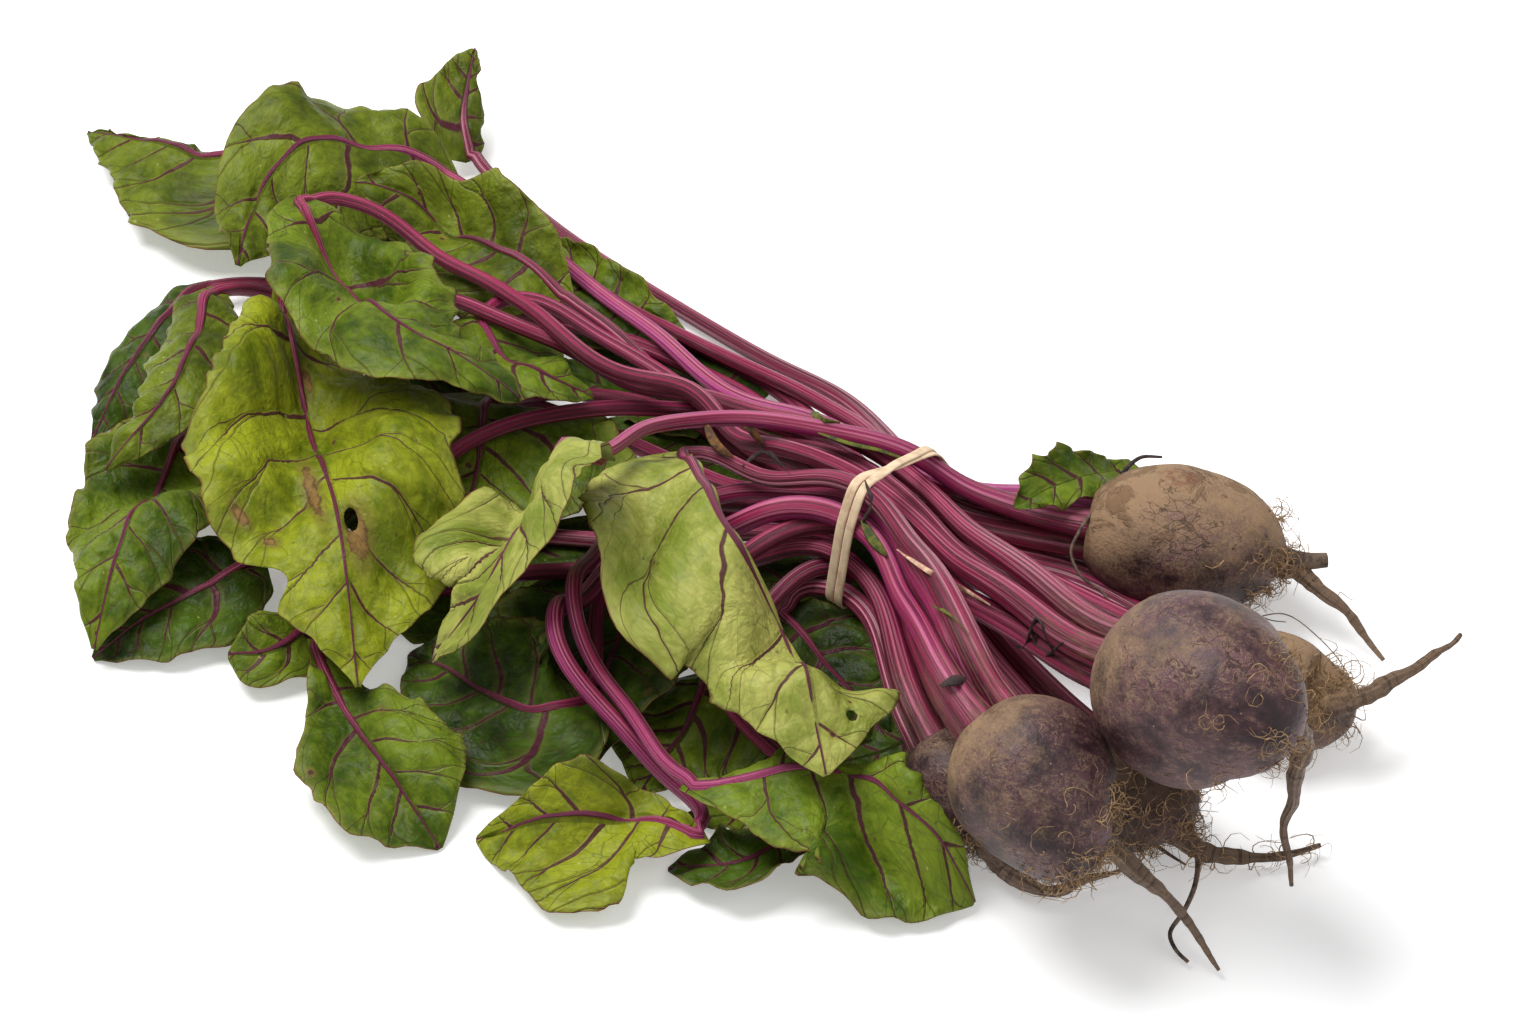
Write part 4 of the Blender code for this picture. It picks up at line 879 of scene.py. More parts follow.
def blade_plan(leaf: Leaf, curve: Array, length: float, rows: int, columns: int) -> Tuple[Array, ...]:
    """Blade over its rib, before it is laid on anything.

    Args:
        leaf: sizes of the blade.
        curve: plan places of the rib, each with its lift.
        length: length of the rib.
        rows: how many rows of points the blade has along the rib.
        columns: how many points each row has.

    Returns:
        Shares along and across, plan places and form heights.
    """
    along = np.linspace(0, 1, rows)
    across = np.linspace(-1, 1, columns)
    knots = np.linspace(0, 1, len(curve))
    rib = read_at(along, knots, curve[:, :2])
    lift = np.interp(along, knots, curve[:, 2])
    forward = units(np.gradient(rib, axis=0))
    normal = np.stack([-forward[:, 1], forward[:, 0]], axis=1)
    side, rise = blade_form(leaf, along, across, length)
    plan = rib[:, None, :] + normal[:, None, :] * side[:, :, None]
    return along, across, plan, rise + lift[:, None]


def underside(along: Array, across: Array) -> Array:
    """Thickness of the blade with the ridge of its midrib below."""
    ridge = RIDGE_DROP * np.exp(-((across[None, :] / RIDGE_SHARE) ** 2))
    return BLADE_THICK + ridge * ((1 - 0.6 * along) * smoothstep(0, 0.1, along))[:, None]


@dataclass
class LaidLeaf:
    """Where a leaf came to lie: the stalk's line and radii and the blade's grid."""

    leaf: Leaf
    centre: Array
    radius: Array
    blade: Array
    length: float


@dataclass
class Laying:
    """A leaf on its way onto the pile, from its crown through the band to its tip."""

    pile: Pile
    leaf: Leaf

    def __post_init__(self) -> None:
        """Work out where the stalk starts and where it passes through the band."""
        crown, axis, near, up = crown_frame(BEETS[self.leaf.beet])
        near_side, high_side = self.leaf.corner.value
        corner = near * near_side * CROWN_CORNER
        self.start = crown + axis * JOINT_GAP + corner + up * high_side * CROWN_CORNER
        self.straight = self.start + axis * CROWN_STRAIGHT
        self.slot = BAND_MIDDLE + BAND_SIDE * self.leaf.slot * SLOT_STRETCH * MM
        self.slot_height = LOOSE_STALK_RADIUS + FLOOR_GAP + BUNDLE_RISE + (self.leaf.row - 1) * ROW_PITCH

    def controls(self, places: Sequence[Array]) -> Array:
        """Plan points of the whole line, with the fixed ones in front of the given places."""
        slot = self.slot
        toward = unit(unit(self.straight[:2] - slot) + unit(slot - places[0])) * SLOT_STRAIGHT
        return np.array([self.start[:2], self.straight[:2], slot + toward, slot, slot - toward, *places])

    def stalk_height(self, stalk: Array, way: Array, radius: Array, slot_ways: Sequence[float]) -> Array:
        """Height of the stalk, which fans out to the band and then settles on the pile.

        Args:
            stalk: plan places of the stalk, each with its lift.
            way: distance of each place from the crown.
            radius: the stalk's radius at each place.
            slot_ways: distances at which the stalk comes to the band, is in it and has left it.

        Returns:
            The height of the middle line at each place.
        """
        into, inside, out = slot_ways
        start, straight, slot_height = self.start[2], self.straight[2], self.slot_height
        need = np.maximum(self.pile.tube_floor(stalk[:, :2], radius), radius + FLOOR_GAP)
        leaves = self.pile.blade_floor(stalk[:, :2], LEAF_REACH)
        need = np.maximum(need, np.where(leaves > 0, leaves + radius + TUBE_GAP, -1)) + stalk[:, 2]
        laid = widened(need, way, STALK_BEND)
        fan = np.where(
            way <= CROWN_STRAIGHT,
            start + (straight - start) * way / CROWN_STRAIGHT,
            straight + (slot_height - straight) * smoothstep(FAN_START, into, way),
        )
        sink = smoothstep(out, out + self.leaf.settle * MM, way)
        climb = smoothstep(out - CLIMB_BEFORE, out + CLIMB_AFTER, way)
        settled = slot_height + (laid - slot_height) * np.where(laid < slot_height, sink, climb)
        clear = widened(self.pile.tube_floor(stalk[:, :2], radius), way, CLEAR_BEND)
        return np.maximum(np.where(way <= inside, fan, settled), clear)

    def draped(self, stalk: Array, way: Array, radius: Array, height: Array, rib: Array,
               length: float) -> Tuple[Array, Array, Array]:
        """Drape the blade over the pile, its own stalk included.

        Args:
            stalk: plan places of the stalk.
            way: distance of each place from the crown.
            radius: the stalk's radius at each place.
            height: the stalk's height at each place.
            rib: plan places of the midrib, each with its lift.
            length: length of the midrib.

        Returns:
            The stalk's height, raised where the blade needs it, the blade's grid and the
            shares along it.
        """
        for _ in range(JOIN_ROUNDS):
            own = self.pile.copy()
            if not self.leaf.lies_under:
                free = max(2, len(stalk) - 1 - FREE_POINTS)
                own.add_tube(np.column_stack([stalk[:, :2], height])[:free], radius[:free], keep=False)
            along, across, plan, form = blade_plan(self.leaf, rib, length, LAID_ROWS, LAID_COLUMNS)
            ground = own.support(plan)
            top = ground + form + REST_GAP * smoothstep(0, 0.004, ground) + underside(along, across)
            drop = height[-1] - (top[0, len(across) // 2] - BLADE_THICK * 0.5)
            if drop >= 0:
                top = top + drop * (1 - smoothstep(0, 0.5, along))[:, None]
                break
            height = height - drop * smoothstep(way[-1] - TIP_CLIMB, way[-1], way)
        return height, np.concatenate([plan, top[:, :, None]], axis=2), along

    def lay(self) -> LaidLeaf:
        """Lay the leaf and add it to the pile.

        Its picture points are looked up again at the heights found, a few times,
        so that the leaf is seen where the picture has it.

        Returns:
            The leaf as it lies.
        """
        leaf = self.leaf
        points = leaf.route + leaf.rib
        places = [self.pile.drop(u, v, (lift + FIRST_LIFT) * MM) for u, v, lift in points]
        lifts = np.array([0] * FIXED_POINTS + [lift for _, _, lift in points]) * MM
        caps = [ROUTE_CAP] * len(leaf.route) + [RIB_CAP] * len(leaf.rib)
        levels = None
        for _ in range(LAY_ROUNDS):
            controls = self.controls(places)
            curve, total = spline(np.column_stack([controls, lifts]), ROUTE_STEP)
            run = np.linspace(0, total, len(curve))
            marks = [int(np.argmin(np.linalg.norm(curve[:, :2] - c, axis=1))) for c in controls]
            base = marks[FIXED_POINTS + len(leaf.route)]
            stalk, way = curve[: base + 1], run[: base + 1]
            slot_ways = [way[mark] for mark in marks[2:5]]
            radius = np.interp(way, [0, slot_ways[0], slot_ways[2], way[-1]],
                               [CROWN_STALK_RADIUS, BAND_STALK_RADIUS, LOOSE_STALK_RADIUS, END_STALK_RADIUS])
            height = self.stalk_height(stalk, way, radius, slot_ways)
            length = total - run[base]
            height, blade, along = self.draped(stalk, way, radius, height, curve[base:], length)
            rib_height = np.interp(run[base:], run[base] + along * length, blade[:, LAID_COLUMNS // 2, 2])
            heights = np.concatenate([height, rib_height[1:]])
            wanted = np.array([heights[mark] for mark in marks[FIXED_POINTS:]])
            levels = wanted if levels is None else 0.5 * (levels + wanted)
            places = [sight(u, v, min(cap, level)) for (u, v, _), cap, level in zip(points, caps, levels)]
        centre = np.column_stack([stalk[:, :2], height])
        self.pile.add_tube(centre, radius, keep=True)
        self.pile.add_blade(blade)
        return LaidLeaf(leaf, centre, radius, blade, length)


def lay_young_leaf() -> LaidLeaf:
    """The small leaf, which leans from the stalks to the first bulb's shoulder."""
    curve, length = spline([seen(mark) for mark in YOUNG_LEAF.rib], ROUTE_STEP)
    _, _, plan, top = blade_plan(YOUNG_LEAF, curve, length, 61, 41)
    blade = np.concatenate([plan, top[:, :, None]], axis=2)
    return LaidLeaf(YOUNG_LEAF, blade[:1, 20], np.array([0.001]), blade, length)


class Wiring:
    """Short ways to lay and join nodes in one tree."""

    def __init__(self, tree: Tree) -> None:
        """Keep the tree."""
        self.tree = tree

    def add(self, kind: str, inputs: Optional[Dict[Any, Any]] = None, **settings: Any) -> Node:
        """Lay one node.

        Args:
            kind: Blender's name of the node type.
            inputs: sockets by name or number, each with a value or another socket.
            **settings: properties of the node.

        Returns:
            The node.
        """
        node = self.tree.nodes.new(kind)
        for key, value in settings.items():
            setattr(node, key, value)
        for key, value in (inputs or {}).items():
            self.feed(node.inputs[key], value)
        return node

    def out(self, kind: str, inputs: Optional[Dict[Any, Any]] = None, **settings: Any) -> Socket:
        """First output of a new node."""
        return self.add(kind, inputs, **settings).outputs[0]

    def feed(self, socket: Socket, value: Any) -> None:
        """Link a socket to another, or set its value.

        Args:
            socket: the input to fill.
            value: another socket, a number, a place or a colour.
        """
        if isinstance(value, bpy.types.NodeSocket):
            self.tree.links.new(value, socket)
        elif socket.type == "RGBA":
            socket.default_value = (*value, 1.0)
        else:
            socket.default_value = value

    def math(self, operation: str, a: Any, b: Any = 0.0) -> Socket:
        """Result of one sum."""
        return self.out("ShaderNodeMath", {0: a, 1: b}, operation=operation)

    def plus(self, *values: Any) -> Socket:
        """Sum of all values."""
        return reduce(lambda a, b: self.math("ADD", a, b), values)

    def times(self, *values: Any) -> Socket:
        """Product of all values."""
        return reduce(lambda a, b: self.math("MULTIPLY", a, b), values)

    def minus(self, a: Any, b: Any) -> Socket:
        """What is left of a without b."""
        return self.math("SUBTRACT", a, b)

    def size(self, value: Any) -> Socket:
        """Value without its sign."""
        return self.math("ABSOLUTE", value)

    def ease(self, value: Any, low: Any, high: Any, first: Any = 0.0, last: Any = 1.0) -> Socket:
        """Smooth change from first at low to last at high."""
        inputs = {0: value, 1: low, 2: high, 3: first, 4: last}
        return self.out("ShaderNodeMapRange", inputs, interpolation_type="SMOOTHSTEP")

    def blend(self, share: Any, a: Any, b: Any) -> Socket:
        """Colour between a and b."""
        return self.add("ShaderNodeMix", {0: share, 6: a, 7: b}, data_type="RGBA").outputs[2]

    def coats(self, base: Any, *layers: Tuple[Any, float, Any]) -> Socket:
        """Colour under coats.

        Args:
            base: the first colour.
            *layers: mask, strength and colour of each coat, the lowest first.

        Returns:
            The colour on top.
        """
        for mask, strength, colour in layers:
            base = self.blend(self.times(mask, strength), base, colour)
        return base

    def speckle(self, place: Any, scale: float, detail: float = 2.0, rough: float = 0.5,
                twist: float = 0.0) -> Socket:
        """Noise between 0 and 1."""
        return self.out("ShaderNodeTexNoise", {"Vector": place, "Scale": scale, "Detail": detail,
                                               "Roughness": rough, "Distortion": twist})

    def cells(self, place: Any, scale: Any) -> Node:
        """Cell pattern: distance to each cell's middle, and its colour."""
        return self.add("ShaderNodeTexVoronoi", {"Vector": place, "Scale": scale})

    def seams(self, place: Any, scale: float) -> Socket:
        """Distance to the nearest seam between cells."""
        return self.out("ShaderNodeTexVoronoi", {"Vector": place, "Scale": scale}, feature="DISTANCE_TO_EDGE")

    def point(self, x: Any = 0.0, y: Any = 0.0, z: Any = 0.0) -> Socket:
        """Place from its three parts."""
        return self.out("ShaderNodeCombineXYZ", {0: x, 1: y, 2: z})

    def vector(self, operation: str, a: Any, b: Any) -> Socket:
        """Result of one sum of places."""
        return self.out("ShaderNodeVectorMath", {0: a, 1: b}, operation=operation)

    def stretch(self, place: Any, scale: Mark) -> Socket:
        """Place scaled by axes."""
        return self.out("ShaderNodeMapping", {"Vector": place, "Scale": scale})

    def split(self, place: Any) -> Tuple[Socket, ...]:
        """The three parts of a place."""
        return tuple(self.add("ShaderNodeSeparateXYZ", {0: place}).outputs)

    def number(self, name: str) -> Socket:
        """A named number of the mesh."""
        return self.add("ShaderNodeAttribute", attribute_name=name).outputs["Fac"]

    def object_place(self) -> Socket:
        """Place in the frame of the object."""
        return self.add("ShaderNodeTexCoord").outputs["Object"]

    def use(self, group: Tree, inputs: Dict[str, Any]) -> Any:
        """Outputs of a node group placed with its own values.

        Args:
            group: the shared group.
            inputs: its values by socket name.

        Returns:
            The outputs by name.
        """
        node = self.tree.nodes.new("ShaderNodeGroup")
        node.node_tree = group
        for key, value in inputs.items():
            self.feed(node.inputs[key], value)
        return node.outputs


class Effect:
    """A shader node group with named inputs and outputs."""

    def __init__(self, name: str, inputs: Dict[str, Optional[float]], outputs: Sequence[str]) -> None:
        """Make the group and its sockets.

        Args:
            name: name of the group.
            inputs: socket names with a default number, or None for a place.
            outputs: names of the numbers that it gives.
        """
        self.group = bpy.data.node_groups.new(name, "ShaderNodeTree")
        face = self.group.interface
        for key, value in inputs.items():
            kind = "NodeSocketVector" if value is None else "NodeSocketFloat"
            socket = face.new_socket(key, in_out="INPUT", socket_type=kind)
            if value is not None:
                socket.default_value = value
        for key in outputs:
            face.new_socket(key, in_out="OUTPUT", socket_type="NodeSocketFloat")
        self.wires = Wiring(self.group)
        self.source = self.wires.add("NodeGroupInput").outputs
        self.result = self.wires.add("NodeGroupOutput").inputs

    def end(self, **values: Any) -> Tree:
        """Join the outputs by name and give the group."""
        for name, value in values.items():
            self.wires.feed(self.result[name], value)
        return self.group


@dataclass(frozen=True)
class Effects:
    """The node groups that the finishes share."""

    veins: Tree
    spots: Tree
    fibres: Tree
    soil: Tree


def vein_effect() -> Tree:
    """Veins of a blade from its two maps.

    The first map holds the number of the side vein and the share across, the
    second one the place on the blade in metres.

    Returns:
        The group: side veins with their forks, a net, a halo and a relief.
    """
    effect = Effect("leaf_veins", {"Count": None, "Place": None, "Width": 1.0, "Spacing": 20.0},
                    ("Vein", "Net", "Halo", "Relief"))
    w, source = effect.wires, effect.source
    place, spacing = source["Place"], source["Spacing"]
    phase, share, _ = w.split(source["Count"])
    away = w.size(share)
    wobble = w.minus(w.speckle(place, 70.0), 0.5)
    wide = w.minus(w.speckle(place, 22.0, 1.0), 0.5)
    count = w.plus(phase, w.plus(w.times(wobble, 0.22), w.times(wide, 0.35)))
    number = w.math("ROUND", count)
    luck = w.out("ShaderNodeTexWhiteNoise", {"W": number}, noise_dimensions="1D")
    offset = w.minus(count, number)
    gap = w.times(w.size(offset), spacing)
    taper = w.ease(away, 0.0, 0.9, 1.0, 0.2)
    half = w.times(source["Width"], taper, w.ease(luck, 0.0, 1.0, 0.55, 1.15), 0.62)
    side_vein = w.ease(gap, w.times(half, 0.45), half, 1.0, 0.0)
    turned = w.times(offset, w.math("SIGN", w.minus(luck, 0.5)))
    spread = w.ease(away, w.ease(luck, 0.0, 1.0, 0.2, 0.5), 1.0, 0.0, 0.42)
    fork_gap = w.times(w.size(w.minus(turned, spread)), spacing)
    fork = w.times(w.ease(fork_gap, w.times(half, 0.25), w.times(half, 0.7), 1.0, 0.0),
                   w.ease(away, 0.3, 0.42, 0.0, 0.85))
    back_gap = w.times(w.size(w.plus(turned, w.ease(away, 0.5, 1.05, 0.0, 0.4))), spacing)
    back_fork = w.times(w.ease(back_gap, w.times(half, 0.2), w.times(half, 0.6), 1.0, 0.0),
                        w.ease(away, 0.55, 0.65, 0.0, 0.75))
    warped = w.vector("ADD", place, w.point(w.times(wobble, 0.006), w.times(wide, 0.008)))
    net = w.seams(warped, 150.0)
    fine = w.seams(warped, 420.0)
    lines = w.plus(w.times(w.ease(net, 0.015, 0.07, 1.0, 0.0), 0.75),
                   w.times(w.ease(fine, 0.02, 0.12, 1.0, 0.0), 0.25))
    puff = w.plus(w.times(w.ease(net, 0.0, 0.4), 0.75), w.times(w.ease(fine, 0.0, 0.4), 0.25))
    halo = w.ease(w.math("MINIMUM", gap, fork_gap), 0.0, w.times(half, 3.5), 1.0, 0.0)
    forks = w.math("MAXIMUM", fork, back_fork)
    return effect.end(Vein=w.math("MAXIMUM", side_vein, forks), Net=lines, Halo=halo,
                      Relief=w.minus(puff, w.times(halo, 0.8)))


def spot_effect() -> Tree:
    """Small round spots of varied size with their rings, some of them missing."""
    effect = Effect("leaf_spots", {"Place": None, "Scale": 90.0, "Size": 0.12, "Share": 0.35},
                    ("Spot", "Ring"))
    w, source = effect.wires, effect.source
    cloud = w.add("ShaderNodeTexNoise", {"Vector": source["Place"], "Scale": 500.0}).outputs[1]
    shaken = w.vector("ADD", source["Place"], w.vector("MULTIPLY", cloud, (0.0008, 0.0008, 0.0008)))
    cells = w.cells(shaken, source["Scale"]).outputs
    red, green, _ = w.split(cells[1])
    kept = w.math("LESS_THAN", red, source["Share"])
    size = w.times(source["Size"], w.ease(green, 0.0, 1.0, 0.35, 1.2))
    spot = w.times(w.ease(cells[0], w.times(size, 0.6), size, 1.0, 0.0), kept)
    ring = w.times(w.ease(cells[0], size, w.times(size, 2.2), 1.0, 0.0), kept)
    return effect.end(Spot=spot, Ring=ring)


def fibre_effect() -> Tree:
    """Streaks that run along a stalk, from a place on a ring of radius one and along it."""
    streaks = {"Broad": ((1.8, 5.0, 1.8), 2.0, 0.55), "Stripe": ((4.4, 3.5, 4.4), 3.0, 0.6),
               "Fine": ((14.0, 7.0, 14.0), 4.0, 0.7), "Broken": ((7.0, 120.0, 7.0), 4.0, 0.7)}
    effect = Effect("stalk_fibres", {"Place": None}, tuple(streaks))
    w, place = effect.wires, effect.source["Place"]
    return effect.end(**{name: w.speckle(w.stretch(place, scale), 1.0, detail, rough)
                         for name, (scale, detail, rough) in streaks.items()})


def soil_effect() -> Tree:
    """Dried soil: broad dusting, crusty patches and grains."""
    effect = Effect("dried_soil", {"Place": None, "Amount": 0.5}, ("Dust", "Crust", "Grain"))
    w, source = effect.wires, effect.source
    place, amount = source["Place"], source["Amount"]
    broad = w.speckle(place, 30.0, 5.0, 0.6, 0.4)
    streak = w.speckle(w.stretch(place, (60.0, 60.0, 190.0)), 1.0, 4.0, 0.65)
    grain = w.speckle(place, 900.0, 3.0, 0.7)
    level = w.plus(w.times(broad, 0.7), w.times(streak, 0.3))
    edge = w.minus(1.0, amount)
    patchy = w.plus(w.times(w.minus(grain, 0.5), 0.4),
                    w.times(w.minus(w.speckle(place, 150.0, 5.0, 0.7), 0.5), 0.42))
    dust = w.ease(w.plus(level, patchy), w.minus(edge, 0.24), w.plus(edge, 0.24))
    crust_level = w.plus(w.times(w.speckle(place, 75.0, 6.0, 0.7, 0.6), 0.75), w.times(amount, 0.4))
    return effect.end(Dust=dust, Crust=w.ease(crust_level, 0.66, 0.74), Grain=grain)


def linear(red: int, green: int, blue: int) -> Colour:
    """Linear colour of screen values from 0 to 255."""
    shares = (red / 255, green / 255, blue / 255)
    return tuple(v / 12.92 if v <= 0.04045 else ((v + 0.055) / 1.055) ** 2.4 for v in shares)


class Finish:
    """Common start and end of a material."""

    @staticmethod
    def start(name: str) -> Tuple[Surface, Wiring, Node]:
        """Material with its wiring and its Principled node.

        Args:
            name: name of the material.

        Returns:
            The material, its wiring and the node.
        """
        material = bpy.data.materials.new(name)
        material.use_nodes = True
        shader = next(n for n in material.node_tree.nodes if n.type == "BSDF_PRINCIPLED")
        return material, Wiring(material.node_tree), shader

    @staticmethod
    def dress(w: Wiring, shader: Node, colour: Any, rough: Any, height: Any,
              bump: Tuple[float, float]) -> None:
        """Feed a shader.

        Args:
            w: wiring of the material.
            shader: its Principled node.
            colour: base colour.
            rough: roughness.
            height: height of the bump.
            bump: strength and depth of the bump.
        """
        w.feed(shader.inputs["Base Color"], colour)
        w.feed(shader.inputs["Roughness"], rough)
        strength, depth = bump
        relief = w.out("ShaderNodeBump", {"Strength": strength, "Distance": depth, "Height": height})
        w.feed(shader.inputs["Normal"], relief)


@dataclass(frozen=True)
class LeafFinish(Finish):
    """Green of a blade with its veins, spots, scars and margin."""

    name: str
    dark: Colour
    light: Colour
    under: Colour
    vein: Colour = linear(74, 20, 44)
    halo: Colour = linear(150, 150, 78)
    margin: Colour = linear(120, 70, 50)
    scar: Colour = linear(132, 100, 58)
    scorch: Colour = linear(82, 56, 36)
    stain: Colour = linear(110, 98, 44)
    spot: Colour = linear(66, 34, 38)
    dot: Colour = linear(72, 42, 36)
    crease: Colour = linear(38, 44, 26)
    fleck: Colour = linear(176, 176, 110)
    sheen: float = 0.34
    spots: float = 0.3

    def make(self, effects: Effects) -> Surface:
        """Build the material.

        Args:
            effects: the shared node groups.

        Returns:
            The material, which reads the maps "vein" and "blade" and the masks of a blade.
        """
        material, w, shader = self.start(self.name)
        count = w.out("ShaderNodeUVMap", uv_map="vein")
        place = w.out("ShaderNodeUVMap", uv_map="blade")
        veins = w.use(effects.veins, {"Count": count, "Place": place, "Width": 2.1,
                                      "Spacing": w.number("spacing")})
        spots, dots, flecks = (
            w.use(effects.spots, {"Place": place, "Scale": scale, "Size": size, "Share": share})
            for scale, size, share in ((75.0, 0.1, self.spots), (210.0, 0.16, 0.22), (330.0, 0.2, 0.12)))
        back, worn = w.number("under"), w.number("scar")
        away = w.size(w.split(count)[1])
        patch = w.speckle(place, 26.0, 3.0, 0.6)
        mottle = w.speckle(place, 190.0, 4.0, 0.65)
        edge_noise = w.speckle(place, 260.0, 4.0, 0.6)
        level = w.plus(w.times(patch, 0.72), w.times(mottle, 0.34))
        vein_on = w.times(veins["Vein"], w.ease(back, 0.0, 1.0, 0.92, 0.8))
        creases = w.seams(w.stretch(place, (70.0, 190.0, 1.0)), 1.0)
        scar_level = w.plus(worn, w.times(w.minus(edge_noise, 0.5), 0.9))
        scarred = w.times(w.ease(scar_level, 0.5, 0.64), 0.88)
        dried = w.plus(w.times(scar_level, 0.5), w.times(mottle, 0.6))
        green = w.coats(
            w.blend(w.ease(level, 0.38, 0.66), self.dark, self.light),
            (veins["Halo"], 0.16, self.halo),
            (veins["Net"], 0.18, self.vein),
            (back, 0.75, self.under),
            (w.ease(away, 0.8, 1.0), 0.25, self.halo),
            (vein_on, 1.0, self.vein),
            (spots["Ring"], 0.3, self.scar),
            (spots["Spot"], 0.85, self.spot),
            (dots["Spot"], 0.55, self.dot),
            (w.times(w.ease(creases, 0.0, 0.035, 1.0, 0.0), w.ease(patch, 0.52, 0.62)), 0.45, self.crease),
            (w.times(flecks["Spot"], w.ease(patch, 0.48, 0.6)), 0.5, self.fleck),
            (w.ease(w.plus(worn, w.times(mottle, 0.2)), 0.14, 0.5), 0.55, self.stain),
            (scarred, 1.0, w.blend(w.ease(dried, 0.55, 0.8), self.scorch, self.scar)),
            (w.ease(away, w.ease(edge_noise, 0.3, 0.7, 0.972, 0.992), 1.0), 0.9, self.margin),
        )
        rough = w.plus(w.times(mottle, 0.2), self.sheen, w.times(back, 0.2), w.times(scarred, 0.25))
        height = w.plus(w.times(veins["Relief"], 0.55), w.times(mottle, 0.25), w.times(vein_on, 0.5))
        self.dress(w, shader, green, rough, height, (0.8, 0.0012))
        shader.inputs["Specular IOR Level"].default_value = 0.13
        return material


LEAF_FINISHES: Dict[Tone, LeafFinish] = {
    Tone.YELLOW: LeafFinish("leaf_yellow", linear(84, 98, 12), linear(142, 150, 30), linear(126, 134, 56)),
    Tone.PALE: LeafFinish("leaf_pale", linear(116, 130, 44), linear(174, 174, 92), linear(150, 156, 92)),
    Tone.BRIGHT: LeafFinish("leaf_bright", linear(58, 84, 10), linear(114, 132, 34), linear(118, 130, 54)),
    Tone.MIDDLE: LeafFinish("leaf_middle", linear(46, 68, 8), linear(104, 122, 26), linear(108, 122, 48)),
    Tone.OLIVE: LeafFinish("leaf_olive", linear(58, 72, 8), linear(108, 122, 28), linear(110, 122, 50)),
    Tone.DARK: LeafFinish("leaf_dark", linear(26, 44, 6), linear(66, 90, 16), linear(78, 94, 34)),
}


@dataclass(frozen=True)
class StalkFinish(Finish):
    """Ribbed stalk skin from crimson through magenta to pale pink."""

    name: str = "stalk_skin_dressed"
    deep: Colour = linear(88, 12, 38)
    middle: Colour = linear(150, 26, 76)
    bright: Colour = linear(178, 52, 140)
    pale: Colour = linear(218, 138, 160)
    faded: Colour = linear(236, 178, 190)
    line: Colour = linear(54, 8, 24)
    rib: Colour = linear(88, 24, 50)
    scab: Colour = linear(104, 74, 54)
    bruise: Colour = linear(140, 96, 84)

    def make(self, effects: Effects) -> Surface:
        """Build the material.

        Args:
            effects: the shared node groups.

        Returns:
            The material, which reads the numbers that the ribbed sweep leaves on its points.
        """
        material, w, shader = self.start(self.name)
        along, tone = w.number("along"), w.number("tone")
        turn = w.times(w.number("around"), 2 * math.pi)
        shift = w.plus(along, w.times(tone, 7.0))
        ring = w.point(w.math("COSINE", turn), shift, w.math("SINE", turn))
        fibres = w.use(effects.fibres, {"Place": ring})
        broad, stripe, fine, broken = (fibres[name] for name in ("Broad", "Stripe", "Fine", "Broken"))
        lift = w.minus(tone, 0.5)
        level = w.plus(w.times(broad, 0.9), w.times(w.number("ridge"), 0.26), w.times(lift, 0.35))
        colour = w.coats(
            w.blend(w.ease(level, 0.3, 0.6), self.deep, self.middle),
            (w.times(w.ease(tone, 0.65, 0.95), w.ease(broad, 0.4, 0.6)), 0.8, self.bright),
            (w.ease(w.plus(stripe, w.times(lift, 0.1)), 0.55, 0.66), 0.5, self.pale),
            (w.times(w.ease(stripe, 0.52, 0.6), w.ease(tone, 0.22, 0.45, 1.0, 0.0)), 0.42, self.faded),
            (w.ease(stripe, 0.38, 0.48, 0.75, 0.0), 1.0, self.line),
            (w.times(w.ease(fine, 0.56, 0.68), w.ease(level, 0.35, 0.65, 0.3, 1.0)), 0.36, self.pale),
            (w.ease(fine, 0.32, 0.44, 0.55, 0.0), 1.0, self.line),
            (w.times(w.ease(along, 0.006, 0.06, 1.0, 0.0), w.ease(broken, 0.42, 0.62)), 0.75, self.scab),
            (w.ease(broken, 0.6, 0.7), 0.4, self.bruise),
            (w.ease(w.number("rib"), 0.1, 0.55), 0.8, self.rib),
        )
        height = w.plus(w.times(fine, 0.6), w.times(stripe, 0.8), w.times(broken, 0.2))
        self.dress(w, shader, colour, w.plus(w.times(broken, 0.3), 0.24), height, (0.6, 0.0012))
        shader.inputs["Specular IOR Level"].default_value = 0.4
        return material


